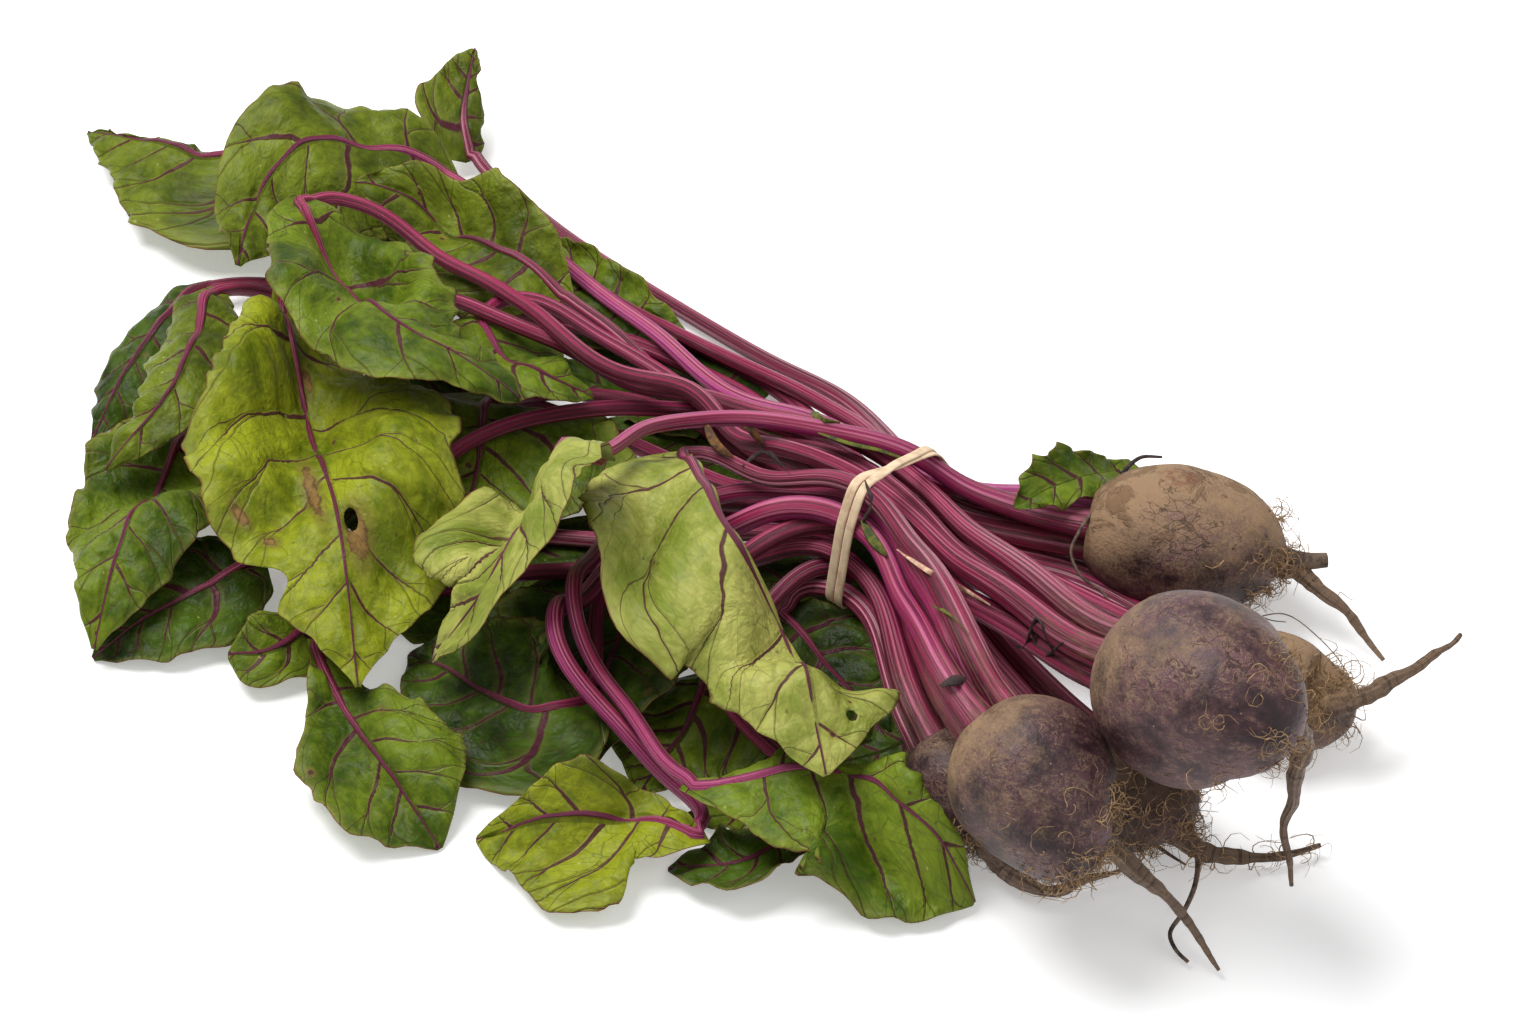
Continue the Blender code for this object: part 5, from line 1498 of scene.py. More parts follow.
@dataclass(frozen=True)
class RootFinish(Finish):
    """Dull purple-brown skin under dried soil. The soil is heavier on the side that faces the key light:
    partly real dust, partly painted light there, with painted shade on the side away from it.
    """

    name: str
    amount: float = 0.45
    # How much the soil grows toward the key light's side and thins away from it: partly painted light and
    # shade
    dust_and_light_slant: float = 0.5
    dust: Colour = linear(160, 130, 98)
    crust: Colour = linear(104, 74, 48)
    skin_dark: Colour = linear(38, 20, 26)
    skin_light: Colour = linear(92, 60, 66)
    bark: Colour = linear(112, 92, 76)
    scab: Colour = linear(48, 32, 26)
    sore: Colour = linear(112, 58, 44)
    pit: Colour = linear(176, 150, 122)

    def make(self, effects: Effects) -> Surface:
        """Build the material.

        Args:
            effects: the shared node groups.

        Returns:
            The material, which reads Object places and the masks of a root.
        """
        material, w, shader = self.start(self.name)
        place = w.object_place()
        tail = w.number("tail")
        sides = w.plus(w.times(w.number("crown"), 0.24), w.times(tail, 0.2))
        # Painted light and shade: more pale soil on the side facing the key light, less on the side away from
        # it
        dust_and_light_slope = w.times(w.minus(w.number("upward"), 0.55), self.dust_and_light_slant)
        soil = w.use(effects.soil, {"Place": place, "Amount": w.plus(self.amount, sides, dust_and_light_slope)})
        blotch = w.speckle(place, 48.0, 5.0, 0.62, 0.4)
        fine = w.speckle(place, 420.0, 4.0, 0.7)
        rings = w.speckle(w.point(w.number("run")), 330.0, 3.0, 0.7)
        torn = w.speckle(w.stretch(place, (1.0, 1.0, 2.0)), 130.0, 5.0, 0.75, 1.2)
        torn_edge = w.times(w.ease(torn, 0.5, 0.53), w.ease(torn, 0.53, 0.56, 1.0, 0.0),
                            w.ease(blotch, 0.44, 0.54))
        scabbed = w.times(w.ease(torn, 0.53, 0.6), w.ease(blotch, 0.5, 0.6))
        scratch = w.seams(w.stretch(place, (150.0, 150.0, 520.0)), 1.0)
        scratched = w.times(w.ease(scratch, 0.0, 0.03, 1.0, 0.0), w.ease(blotch, 0.5, 0.6))
        pits = w.cells(place, 250.0).outputs
        pit_kept = w.math("LESS_THAN", w.split(pits[1])[0], 0.3)
        skin_level = w.plus(w.times(blotch, 0.75), w.times(fine, 0.25))
        skin = w.coats(
            w.blend(w.ease(skin_level, 0.38, 0.64), self.skin_dark, self.skin_light),
            (soil["Dust"], 0.85, self.dust),
            (soil["Crust"], 0.6, self.crust),
            (w.times(w.ease(w.number("sore"), 0.35, 0.7), w.ease(fine, 0.4, 0.58)), 0.6, self.sore),
            (tail, 0.8, w.blend(w.ease(rings, 0.52, 0.6, 0.0, 0.75), self.bark, self.scab)),
            (scabbed, 0.5, self.scab),
            (torn_edge, 0.55, self.dust),
            (scratched, 0.4, self.scab),
            (w.times(w.ease(pits[0], 0.04, 0.13, 1.0, 0.0), pit_kept), 0.5, self.pit),
        )
        rough = w.plus(0.38, w.times(soil["Dust"], 0.42), w.times(fine, 0.12))
        grain = w.times(soil["Grain"], w.plus(0.12, w.times(soil["Dust"], 0.35)))
        height = w.plus(grain, w.times(blotch, 0.5), w.times(soil["Crust"], 0.7),
                        w.times(fine, 0.6), w.times(scabbed, 0.5))
        height = w.minus(height, w.plus(w.times(scratched, 0.3), w.times(tail, rings, 1.2)))
        self.dress(w, shader, skin, rough, height, (0.8, 0.001))
        shader.inputs["Specular IOR Level"].default_value = 0.42
        return material


@dataclass(frozen=True)
class BandFinish(Finish):
    """Dull cream rubber, mottled at random with a darker tan."""

    name: str = "band_rubber_dressed"
    cream: Colour = linear(234, 208, 174)
    darker_tan: Colour = linear(184, 150, 116)

    def make(self) -> Surface:
        """Build the material, which reads Object places."""
        material, w, shader = self.start(self.name)
        place = w.object_place()
        cloud = w.speckle(place, 140.0, 4.0, 0.6)
        colour = w.blend(w.ease(cloud, 0.42, 0.7, 0.0, 0.7), self.cream, self.darker_tan)
        rough = w.plus(w.times(cloud, 0.2), 0.5)
        self.dress(w, shader, colour, rough, w.speckle(place, 1500.0, 2.0, 0.6), (0.3, 0.0003))
        return material


class Waste(Enum):
    """Small matter on the bunch."""

    HAIR = "hair"
    BARK = "bark"
    SOIL = "soil"
    DRY = "dry"
    PEEL = "peel"
    GREEN = "green"
    PINK = "pink"
    BROWN = "brown"


@dataclass(frozen=True)
class TwigFinish(Finish):
    """Dry fibre of rootlets, hairs, shreds and dead stalks."""

    kind: Waste
    light: Colour
    dark: Colour

    def make(self) -> Surface:
        """Build the material, which reads Object places."""
        material, w, shader = self.start("waste_" + self.kind.value)
        place = w.object_place()
        cloud = w.speckle(place, 260.0, 4.0, 0.7)
        colour = w.blend(w.ease(cloud, 0.35, 0.65), self.dark, self.light)
        rough = w.plus(w.times(cloud, 0.2), 0.7)
        self.dress(w, shader, colour, rough, w.speckle(place, 900.0, 3.0), (0.6, 0.0005))
        return material


TWIG_FINISHES: Tuple[TwigFinish, ...] = (
    TwigFinish(Waste.HAIR, linear(184, 150, 108), linear(112, 84, 56)),
    TwigFinish(Waste.BARK, linear(116, 96, 80), linear(58, 44, 38)),
    TwigFinish(Waste.SOIL, linear(112, 84, 56), linear(56, 40, 30)),
    TwigFinish(Waste.DRY, linear(70, 50, 48), linear(28, 18, 22)),
    TwigFinish(Waste.PEEL, linear(222, 190, 158), linear(178, 128, 108)),
    TwigFinish(Waste.GREEN, linear(108, 112, 30), linear(54, 62, 22)),
    TwigFinish(Waste.PINK, linear(196, 110, 130), linear(120, 34, 66)),
    TwigFinish(Waste.BROWN, linear(124, 84, 36), linear(64, 40, 24)),
)


def placed(name: str, data: Any) -> Item:
    """New object with its data, linked to the scene."""
    item = bpy.data.objects.new(name, data)
    bpy.context.scene.collection.objects.link(item)
    return item


def make_mesh(name: str, points: Array, faces: Sequence[Sequence[int]], material: Surface) -> Item:
    """Smooth object from points in the picture-centred frame, moved to the bunch's own.

    Args:
        name: name of the object.
        points: one row of three for each corner.
        faces: corners of each face.
        material: its only material.

    Returns:
        The object, linked to the scene.
    """
    mesh = bpy.data.meshes.new(name)
    mesh.from_pydata((np.asarray(points) - MIDDLE).tolist(), [], faces)
    mesh.materials.append(material)
    mesh.polygons.foreach_set("use_smooth", [True] * len(mesh.polygons))
    mesh.update()
    return placed(name, mesh)


def keep_above_floor(item: Item) -> Item:
    """Lift the points of a piece that reach below the floor, and give the piece back.

    Args:
        item: the piece.

    Returns:
        The same piece.
    """
    mesh = item.data
    places = np.zeros(3 * len(mesh.vertices), np.float32)
    mesh.vertices.foreach_get("co", places)
    places[2::3] = np.maximum(places[2::3], FLOOR_SKIM)
    mesh.vertices.foreach_set("co", places)
    mesh.update()
    return item


def ring_faces(rings: int, corners: int, closed: bool = False) -> List[Tuple[int, ...]]:
    """Faces between rings of corners.

    Args:
        rings: how many rings there are.
        corners: how many corners each ring has.
        closed: says that the last ring joins the first.

    Returns:
        The corners of each face.
    """
    faces: List[Tuple[int, ...]] = []
    for k in range(rings if closed else rings - 1):
        here, there = k * corners, (k + 1) % rings * corners
        for i in range(corners):
            j = (i + 1) % corners
            faces.append((here + i, here + j, there + j, there + i))
    return faces


def set_attribute(mesh: Mesh, name: str, values: Array) -> None:
    """Give a mesh one number for each point."""
    layer = mesh.attributes.new(name, "FLOAT", "POINT")
    layer.data.foreach_set("value", np.asarray(values, np.float32).ravel())


def set_map(mesh: Mesh, name: str, values: Array) -> None:
    """Give a mesh a map from one pair of numbers for each point.

    Args:
        mesh: the mesh.
        name: name of the map.
        values: one row of two for each point.
    """
    corners = np.zeros(len(mesh.loops), np.int32)
    mesh.loops.foreach_get("vertex_index", corners)
    layer = mesh.uv_layers.new(name=name)
    layer.data.foreach_set("uv", np.asarray(values, np.float32)[corners].ravel())


def finish_piece(item: Item, nodes: Sequence[str]) -> None:
    """Tell the frame about a piece, and report it.

    Args:
        item: the piece.
        nodes: nodes of the frame that it stands for.
    """
    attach(item, BODY)
    if nodes:
        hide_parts(*nodes)
    LOG.info("%s: %d faces, replaces %s", item.name, len(item.data.polygons), ", ".join(nodes) or "nothing")


class Growth:
    """A Geometry Nodes tree that makes one kind of repeated or swept part."""

    def __init__(self, name: str, inputs: Dict[str, Any]) -> None:
        """Make the tree and its sockets.

        Args:
            name: name of the tree.
            inputs: socket names with default values; whole numbers make whole sockets.
        """
        self.tree = bpy.data.node_groups.new(name, "GeometryNodeTree")
        face = self.tree.interface
        face.new_socket("Geometry", in_out="INPUT", socket_type="NodeSocketGeometry")
        self.sockets: Dict[str, str] = {}
        for key, value in inputs.items():
            kind = "NodeSocketInt" if isinstance(value, int) else "NodeSocketFloat"
            kind = "NodeSocketMaterial" if value is None else kind
            socket = face.new_socket(key, in_out="INPUT", socket_type=kind)
            if value is not None:
                socket.default_value = value
            self.sockets[key] = socket.identifier
        face.new_socket("Geometry", in_out="OUTPUT", socket_type="NodeSocketGeometry")
        self.wires = Wiring(self.tree)
        self.source = self.wires.add("NodeGroupInput").outputs
        self.result = self.wires.add("NodeGroupOutput")

    def named(self, name: str) -> Socket:
        """A named number of the geometry."""
        return self.wires.out("GeometryNodeInputNamedAttribute", {"Name": name}, data_type="FLOAT")

    def store(self, geometry: Any, name: str, value: Any) -> Socket:
        """Keep a number on each point."""
        inputs = {"Geometry": geometry, "Name": name, "Value": value}
        return self.wires.out("GeometryNodeStoreNamedAttribute", inputs, data_type="FLOAT", domain="POINT")

    def scatter(self) -> Any:
        """Points at random on the surface, denser where its number "hair" is high."""
        density = self.wires.times(self.source["Density"], self.named("hair"))
        inputs = {"Mesh": self.source["Geometry"], "Density": density, "Seed": self.source["Seed"]}
        kind = "GeometryNodeDistributePointsOnFaces"
        return self.wires.add(kind, inputs, distribute_method="RANDOM").outputs

    def luck(self, low: Mark, high: Mark) -> Socket:
        """Three random numbers for each point."""
        inputs = {0: low, 1: high, "Seed": self.source["Seed"]}
        return self.wires.out("FunctionNodeRandomValue", inputs, data_type="FLOAT_VECTOR")

    def ring(self, sides: Any) -> Socket:
        """Round profile of radius one."""
        inputs = {"Resolution": sides, "Radius": 1.0}
        return self.wires.out("GeometryNodeCurvePrimitiveCircle", inputs, mode="RADIUS")

    def end(self, geometry: Any) -> None:
        """Close the tree with real geometry and a material.

        Args:
            geometry: what the tree has made.
        """
        w = self.wires
        real = w.out("GeometryNodeRealizeInstances", {0: geometry})
        smooth = w.out("GeometryNodeSetShadeSmooth", {0: real})
        dressed = w.out("GeometryNodeSetMaterial", {"Geometry": smooth, "Material": self.source["Material"]})
        w.feed(self.result.inputs[0], dressed)

    def grow(self, seed_item: Item, name: str, values: Dict[str, Any]) -> Item:
        """Run the tree on an object and keep the result as a plain mesh.

        Args:
            seed_item: object whose mesh the tree starts from; it is removed.
            name: name of the new object.
            values: input values by socket name.

        Returns:
            The new object.
        """
        modifier = seed_item.modifiers.new("growth", "NODES")
        modifier.node_group = self.tree
        for key, value in values.items():
            modifier[self.sockets[key]] = value
        bpy.context.view_layer.update()
        graph = bpy.context.evaluated_depsgraph_get()
        mesh = bpy.data.meshes.new_from_object(seed_item.evaluated_get(graph))
        seed_item.modifiers.remove(modifier)
        bpy.data.objects.remove(seed_item, do_unlink=True)
        mesh.name = name
        return placed(name, mesh)


def path_item(line: Array, values: Dict[str, Array]) -> Item:
    """Edges along a line, in the bunch's frame, for a sweep.

    Args:
        line: points in the picture-centred frame.
        values: numbers of the points by name.

    Returns:
        The object.
    """
    mesh = bpy.data.meshes.new("path")
    edges = [(i, i + 1) for i in range(len(line) - 1)]
    mesh.from_pydata((np.asarray(line) - MIDDLE).tolist(), edges, [])
    for key, numbers in values.items():
        set_attribute(mesh, key, numbers)
    return placed("path", mesh)


def even_path(points: Sequence[Sequence[float]], step: float, thick: float, thin: float) -> Item:
    """Path of a plain rod along a smooth curve.

    Args:
        points: control points.
        step: distance between the points of the path.
        thick: radius at its start, in millimetres.
        thin: radius at its end, in millimetres.

    Returns:
        The object, with the numbers that a sweep reads.
    """
    line, length = spline(points, step, axes=3)
    run = np.linspace(0, length, len(line))
    return path_item(line, {"radius": np.linspace(thick, thin, len(line)) * MM, "along": run, "rib": run * 0})


class StalkGrowth(Growth):
    """Sweeps a ribbed, channelled stalk along a path."""

    def __init__(self) -> None:
        """Build the tree."""
        super().__init__("ribbed_stalk", {
            "Sides": 32, "Ridges": 9, "Ridge Depth": 0.07, "Channel Depth": 0.3, "Channel Turn": 0.0,
            "Flatness": 0.16, "Twist": 4.0, "Lump": 0.06, "Seed": 0.0, "Material": None})
        w, source = self.wires, self.source
        rail = w.out("GeometryNodeMeshToCurve", {0: source["Geometry"]})
        ring = self.store(self.ring(source["Sides"]), "around", w.out("GeometryNodeSplineParameter"))
        tube = w.out("GeometryNodeCurveToMesh", {"Curve": rail, "Profile Curve": ring,
                                                 "Scale": self.named("radius"), "Fill Caps": True})
        along = self.named("along")
        turn = w.times(self.named("around"), 2 * math.pi)
        twisted = w.plus(w.times(turn, source["Ridges"]), w.times(along, source["Twist"], source["Ridges"]),
                         source["Seed"])
        second = w.plus(w.times(turn, 3.0), w.times(along, -31.0))
        wave = w.plus(w.math("SINE", twisted), w.times(w.math("SINE", second), 0.6))
        normal = w.out("GeometryNodeInputNormal")
        channel_turn = source["Channel Turn"]
        toward = w.point(0.0, w.math("SINE", channel_turn), w.math("COSINE", channel_turn))
        facing = w.add("ShaderNodeVectorMath", {0: normal, 1: toward},
                       operation="DOT_PRODUCT").outputs["Value"]
        channel = w.ease(facing, 0.45, 1.0)
        lump = w.minus(w.speckle(w.out("GeometryNodeInputPosition"), 60.0), 0.5)
        upright = w.split(normal)[2]
        oval = w.minus(1.0, w.times(upright, upright, 2.0))
        grooves = w.minus(w.times(wave, source["Ridge Depth"]), w.times(channel, source["Channel Depth"]))
        depth = w.plus(grooves, w.times(lump, source["Lump"], 2.0), w.times(oval, source["Flatness"]))
        reach = w.times(depth, self.named("radius"))
        offset = w.out("ShaderNodeVectorMath", {0: normal, "Scale": reach}, operation="SCALE")
        shaped = w.out("GeometryNodeSetPosition", {"Geometry": tube, "Offset": offset})
        self.end(self.store(shaped, "ridge", w.minus(w.times(wave, 0.6), w.times(channel, -0.5))))


class HairGrowth(Growth):
    """Scatters curly root hairs over a surface."""

    def __init__(self) -> None:
        """Build the tree."""
        super().__init__("root_hairs", {"Density": 20000.0, "Length": 0.012, "Thickness": 0.00012, "Seed": 1,
                                        "Material": None})
        w, source = self.wires, self.source
        spread = self.scatter()
        spiral = w.out("GeometryNodeCurveSpiral", {"Resolution": 9, "Rotations": 0.8, "Start Radius": 0.05,
                                                   "End Radius": 0.5, "Height": 0.6})
        thin = w.math("DIVIDE", source["Thickness"], source["Length"])
        taper = w.ease(w.out("GeometryNodeSplineParameter"), 0.0, 1.0, 1.0, 0.35)
        hair = w.out("GeometryNodeCurveToMesh", {"Curve": spiral, "Profile Curve": self.ring(3),
                                                 "Scale": w.times(thin, taper), "Fill Caps": True})
        spin = w.out("FunctionNodeEulerToRotation", {0: self.luck((-1.2, -1.2, -3.14), (1.2, 1.2, 3.14))})
        turned = w.out("FunctionNodeRotateRotation", {0: spread["Rotation"], 1: spin}, rotation_space="LOCAL")
        size = w.add("FunctionNodeRandomValue", {2: 0.35, 3: 1.2, "Seed": source["Seed"]},
                     data_type="FLOAT").outputs[1]
        self.end(w.out("GeometryNodeInstanceOnPoints",
                       {"Points": spread["Points"], "Instance": hair, "Rotation": turned,
                        "Scale": w.times(size, source["Length"])}))


class CrumbGrowth(Growth):
    """Scatters crumbs of dried soil over a surface."""

    def __init__(self) -> None:
        """Build the tree."""
        super().__init__("soil_crumbs", {"Density": 60000.0, "Size": 0.0006, "Seed": 1, "Material": None})
        w, spread = self.wires, self.scatter()
        ball = w.out("GeometryNodeMeshIcoSphere", {"Radius": 1.0, "Subdivisions": 1})
        size = w.out("ShaderNodeVectorMath", {0: self.luck((0.4, 0.4, 0.25), (1.3, 1.3, 0.7)),
                                              "Scale": self.source["Size"]}, operation="SCALE")
        self.end(w.out("GeometryNodeInstanceOnPoints",
                       {"Points": spread["Points"], "Instance": ball, "Rotation": spread["Rotation"],
                        "Scale": size}))


@dataclass
class Materials:
    """All finishes, made once."""

    leaves: Dict[Tone, Surface]
    stalk: Surface
    roots: Dict[int, Surface]
    band: Surface
    waste: Dict[Waste, Surface]


def make_materials() -> Materials:
    """Build the shared effects and every finish."""
    effects = Effects(vein_effect(), spot_effect(), fibre_effect(), soil_effect())
    roots = {n: RootFinish("root_skin_%d" % n, *soil).make(effects) for n, soil in ROOT_SOIL_AND_LIGHT.items()}
    clean = RootFinish("root_skin_2", 0.27, 0.3, skin_dark=linear(42, 22, 27), skin_light=linear(102, 68, 73))
    caked = RootFinish("root_skin_6", 0.5, 0.5, linear(86, 66, 50), linear(58, 42, 30))
    roots[2], roots[6] = clean.make(effects), caked.make(effects)
    return Materials(
        leaves={tone: finish.make(effects) for tone, finish in LEAF_FINISHES.items()},
        stalk=StalkFinish().make(effects),
        roots=roots,
        band=BandFinish().make(),
        waste={finish.kind: finish.make() for finish in TWIG_FINISHES},
    )


@dataclass
class Blade:
    """One blade's skin: a thin closed sheet with puffed fields between its veins."""

    laid: LaidLeaf
    step: float = SKIN_STEP
    thick: float = SKIN_THICK
    puff: float = 0.0017
    lump: float = 0.0010
    jag: float = 0.0010
    crinkle: float = 0.0016
    skim: float = 0.0003
    passes: int = 5
    least_rows: int = 34
    most_rows: int = 104
    least_columns: int = 22
    most_columns: int = 60

    def shares(self) -> Pair:
        """Shares along and across of the skin's grid."""
        grid = self.laid.blade
        widths = np.linalg.norm(np.diff(grid, axis=1), axis=2).sum(axis=1)
        rows = int(np.clip(round(self.laid.length / self.step), self.least_rows, self.most_rows)) + 1
        columns = int(np.clip(round(widths.max() / self.step), self.least_columns, self.most_columns))
        columns += 1 - columns % 2
        return np.linspace(0, 1, rows), np.linspace(-1, 1, columns)

    def vein_gap(self) -> float:
        """Distance between the side veins."""
        return float(np.clip(self.laid.length * VEIN_SHARE, VEIN_LEAST, VEIN_MOST))

    def notched(self, along: Array, across: Array) -> Pair:
        """Shares along and across of each point, pulled in at the bites.

        Args:
            along: shares along of the rows.
            across: shares across of the columns.

        Returns:
            The two shares of each point.
        """
        s, t = np.meshgrid(along, across, indexing="ij")
        reach = np.ones_like(s)
        for notch in self.laid.leaf.notches:
            pull = notch.depth * np.exp(-(((s - notch.place) * self.laid.length / (notch.length * MM)) ** 4))
            reach = np.where(t * notch.side > 0, reach * (1 - pull), reach)
        return s, t * reach

    def sampled(self, s: Array, t: Array) -> Array:
        """Points of the laid blade at shares along and across.

        Args:
            s: shares along.
            t: shares across.

        Returns:
            The points.
        """
        grid = self.laid.blade
        rows, columns = grid.shape[:2]
        a = np.clip(s * (rows - 1), 0, rows - 1.001)
        b = np.clip((t + 1) / 2 * (columns - 1), 0, columns - 1.001)
        i, j = a.astype(int), b.astype(int)
        return between(grid, i, j, (a - i)[..., None], (b - j)[..., None])

    def vein_count(self, x: Array, y: Array, t: Array) -> Array:
        """Number of the side vein at each point, whole on the vein itself.

        Args:
            x: distances along the midrib.
            y: distances across from it.
            t: shares across.

        Returns:
            The number at each point.
        """
        count = np.zeros_like(x)
        away, gap = np.abs(y), self.vein_gap()
        lean = -0.3 + 1.15 * smoothstep(-0.05, 0.75, np.clip(x / self.laid.length, 0, 1))
        for sign in (1, -1):
            source = np.random.default_rng(self.laid.leaf.seed * 7 + sign)
            knots = np.cumsum(gap * source.uniform(0.72, 1.3, 60)) - gap * 10.3
            root = x - away * lean - 0.18 * away * away / max(away.max(), 0.01)
            value = np.interp(root, knots, np.arange(len(knots)) + sign * 20)
            count = np.where(t * sign >= 0, value, count)
        return count

    def relief(self, shares: Pair, places: Pair, count: Array) -> Pair:
        """Low relief of the skin.

        Args:
            shares: shares along and across of each point.
            places: distances along the rib and across from it at each point.
            count: number of the side vein at each point.

        Returns:
            The rise of each point, and its shift sideways at the jagged margin.
        """
        (s, t), (x, y) = shares, places
        seed, away = self.laid.leaf.seed, np.abs(t)
        grown = smoothstep(0.02, 0.16, s) * smoothstep(1.0, 0.93, s)
        field = np.abs(np.sin(np.pi * count)) ** 0.8
        room = smoothstep(0.02, 0.2, away) * (1 - 0.6 * smoothstep(0.75, 1.0, away))
        rise = self.puff * field * room * grown
        rise += self.lump * ripple(x, y, 0.012, seed + 50) * grown * smoothstep(0.0, 0.25, away)
        rise += 0.5 * self.lump * ripple(x, y, 0.0055, seed + 70) * grown * away
        edge = ripple(x, y * 0, 0.008, seed + 90) + 0.5 * ripple(x, y * 0, 0.0042, seed + 95)
        jag = self.jag * edge * np.sign(t) * away**5 * smoothstep(0.03, 0.12, s) * smoothstep(1.0, 0.97, s)
        crinkle = self.crinkle * ripple(x, y * 0, 0.0048, seed + 99) * away**6 * grown
        return rise + crinkle, jag

    def pierced(self, points: Array, shares: Pair, places: Pair, ways: Pair) -> Pair:
        """Cut the leaf's holes.

        Args:
            points: the grid of the skin.
            shares: shares along and across of each point.
            places: distances along the rib and across from it at each point.
            ways: directions along and across at each point.

        Returns:
            The points, with the rims pulled onto the ovals of the holes, and the cells that stay.
        """
        rows, columns = shares[0].shape
        keep = np.ones((rows - 1, columns - 1), bool)
        for hole in self.laid.leaf.holes:
            away = np.hypot(shares[0] - hole.along, shares[1] - hole.across)
            middle = np.unravel_index(away.argmin(), away.shape)
            x, y = (place - place[middle] for place in places)
            ring = np.hypot(x / (hole.length * MM), y / (hole.width * MM))
            gone = 0.25 * (ring[:-1, :-1] + ring[1:, :-1] + ring[:-1, 1:] + ring[1:, 1:]) < 1
            touched = np.zeros((rows, columns), int)
            for i, j in ((0, 0), (0, 1), (1, 0), (1, 1)):
                touched[i : rows - 1 + i, j : columns - 1 + j] += gone
            pull = np.where((touched > 0) & (touched < 4), 1 / np.maximum(ring, 0.2) - 1, 0.0)
            points = points + ways[0] * (x * pull)[..., None] + ways[1] * (y * pull)[..., None]
            keep &= ~gone
        return points, keep

    def scar_mask(self, s: Array, t: Array, width: float) -> Array:
        """How scarred the skin is at shares along and across, for a blade of that half width.

        Args:
            s: shares along.
            t: shares across.
            width: half width of the blade.

        Returns:
            A number from 0 to 1 for each point.
        """
        scar = np.zeros_like(s)
        for mark in self.laid.leaf.scars:
            ring = ((s - mark.along) * self.laid.length / (mark.length * MM)) ** 2
            ring = ring + ((t - mark.across) * width / (mark.width * MM)) ** 2
            scar = np.maximum(scar, np.exp(-ring))
        return scar

    @staticmethod
    def sheet_faces(keep: Array) -> List[Sequence[int]]:
        """Faces of both sides of the kept cells, and of the rim between the sides.

        Args:
            keep: says for each cell of the grid whether it stays.

        Returns:
            The corners of each face.
        """
        rows, columns = keep.shape[0] + 1, keep.shape[1] + 1
        total = rows * columns
        number = np.arange(total).reshape(rows, columns)
        quads = np.stack([number[:-1, :-1], number[1:, :-1], number[1:, 1:], number[:-1, 1:]], axis=-1)[keep]
        edges = [(quad[k], quad[(k + 1) % 4]) for quad in quads.tolist() for k in range(4)]
        known = set(edges)
        rim = [(v, u, u + total, v + total) for u, v in edges if (v, u) not in known]
        return quads.tolist() + (quads[:, ::-1] + total).tolist() + rim

    @staticmethod
    def drop_loose(mesh: Mesh) -> None:
        """Remove the points that no face uses.

        Args:
            mesh: the mesh to clean.
        """
        work = bmesh.new()
        work.from_mesh(mesh)
        loose = [v for v in work.verts if not v.link_faces]
        if loose:
            bmesh.ops.delete(work, geom=loose, context="VERTS")
            work.to_mesh(mesh)
        work.free()

    def build(self, name: str, material: Surface) -> Item:
        """Build the skin.

        Args:
            name: name of the object.
            material: leaf finish.

        Returns:
            The finished mesh object with its maps and masks.
        """
        along, across = self.shares()
        s, t = self.notched(along, across)
        points = smoothed(self.sampled(s, t), self.passes)
        sideways = np.gradient(points, axis=1)
        forward = np.gradient(points, axis=0)
        steps = np.linalg.norm(np.diff(points, axis=1), axis=2)
        middle = len(across) // 2
        y = np.concatenate([np.zeros((len(along), 1)), np.cumsum(steps, axis=1)], axis=1)
        y = y - y[:, middle : middle + 1]
        x = s * self.laid.length
        normal, flat = units(np.cross(forward, sideways)), units(sideways)
        count = self.vein_count(x, y, t)
        rise, jag = self.relief((s, t), (x, y), count)
        points = points + normal * rise[..., None] + flat * jag[..., None]
        points, keep = self.pierced(points, (s, t), (x, y), (units(forward), flat))
        thick = self.thick * (1 - 0.45 * smoothstep(0.6, 1.0, np.abs(t)))
        below = points - normal * thick[..., None]
        if min(points[..., 2].min(), below[..., 2].min()) < 0:
            points[..., 2] = np.maximum(points[..., 2], self.skim)
        below[..., 2] = np.maximum(below[..., 2], 0.0)
        both = np.concatenate([points.reshape(-1, 3), below.reshape(-1, 3)])
        item = make_mesh(name, both, self.sheet_faces(keep), material)
        shift = self.laid.leaf.seed * 0.131
        pair = np.stack([count.ravel(), t.ravel()], axis=1)
        place = np.stack([x.ravel() + shift, y.ravel() + shift * 0.5], axis=1)
        scar = self.scar_mask(s, t, np.abs(y).max())
        set_map(item.data, "vein", np.concatenate([pair, pair]))
        set_map(item.data, "blade", np.concatenate([place, place]))
        set_attribute(item.data, "under", np.repeat([0.0, 1.0], s.size))
        set_attribute(item.data, "spacing", np.full(2 * s.size, self.vein_gap() / MM))
        set_attribute(item.data, "scar", np.concatenate([scar.ravel(), scar.ravel()]))
        self.drop_loose(item.data)
        return item


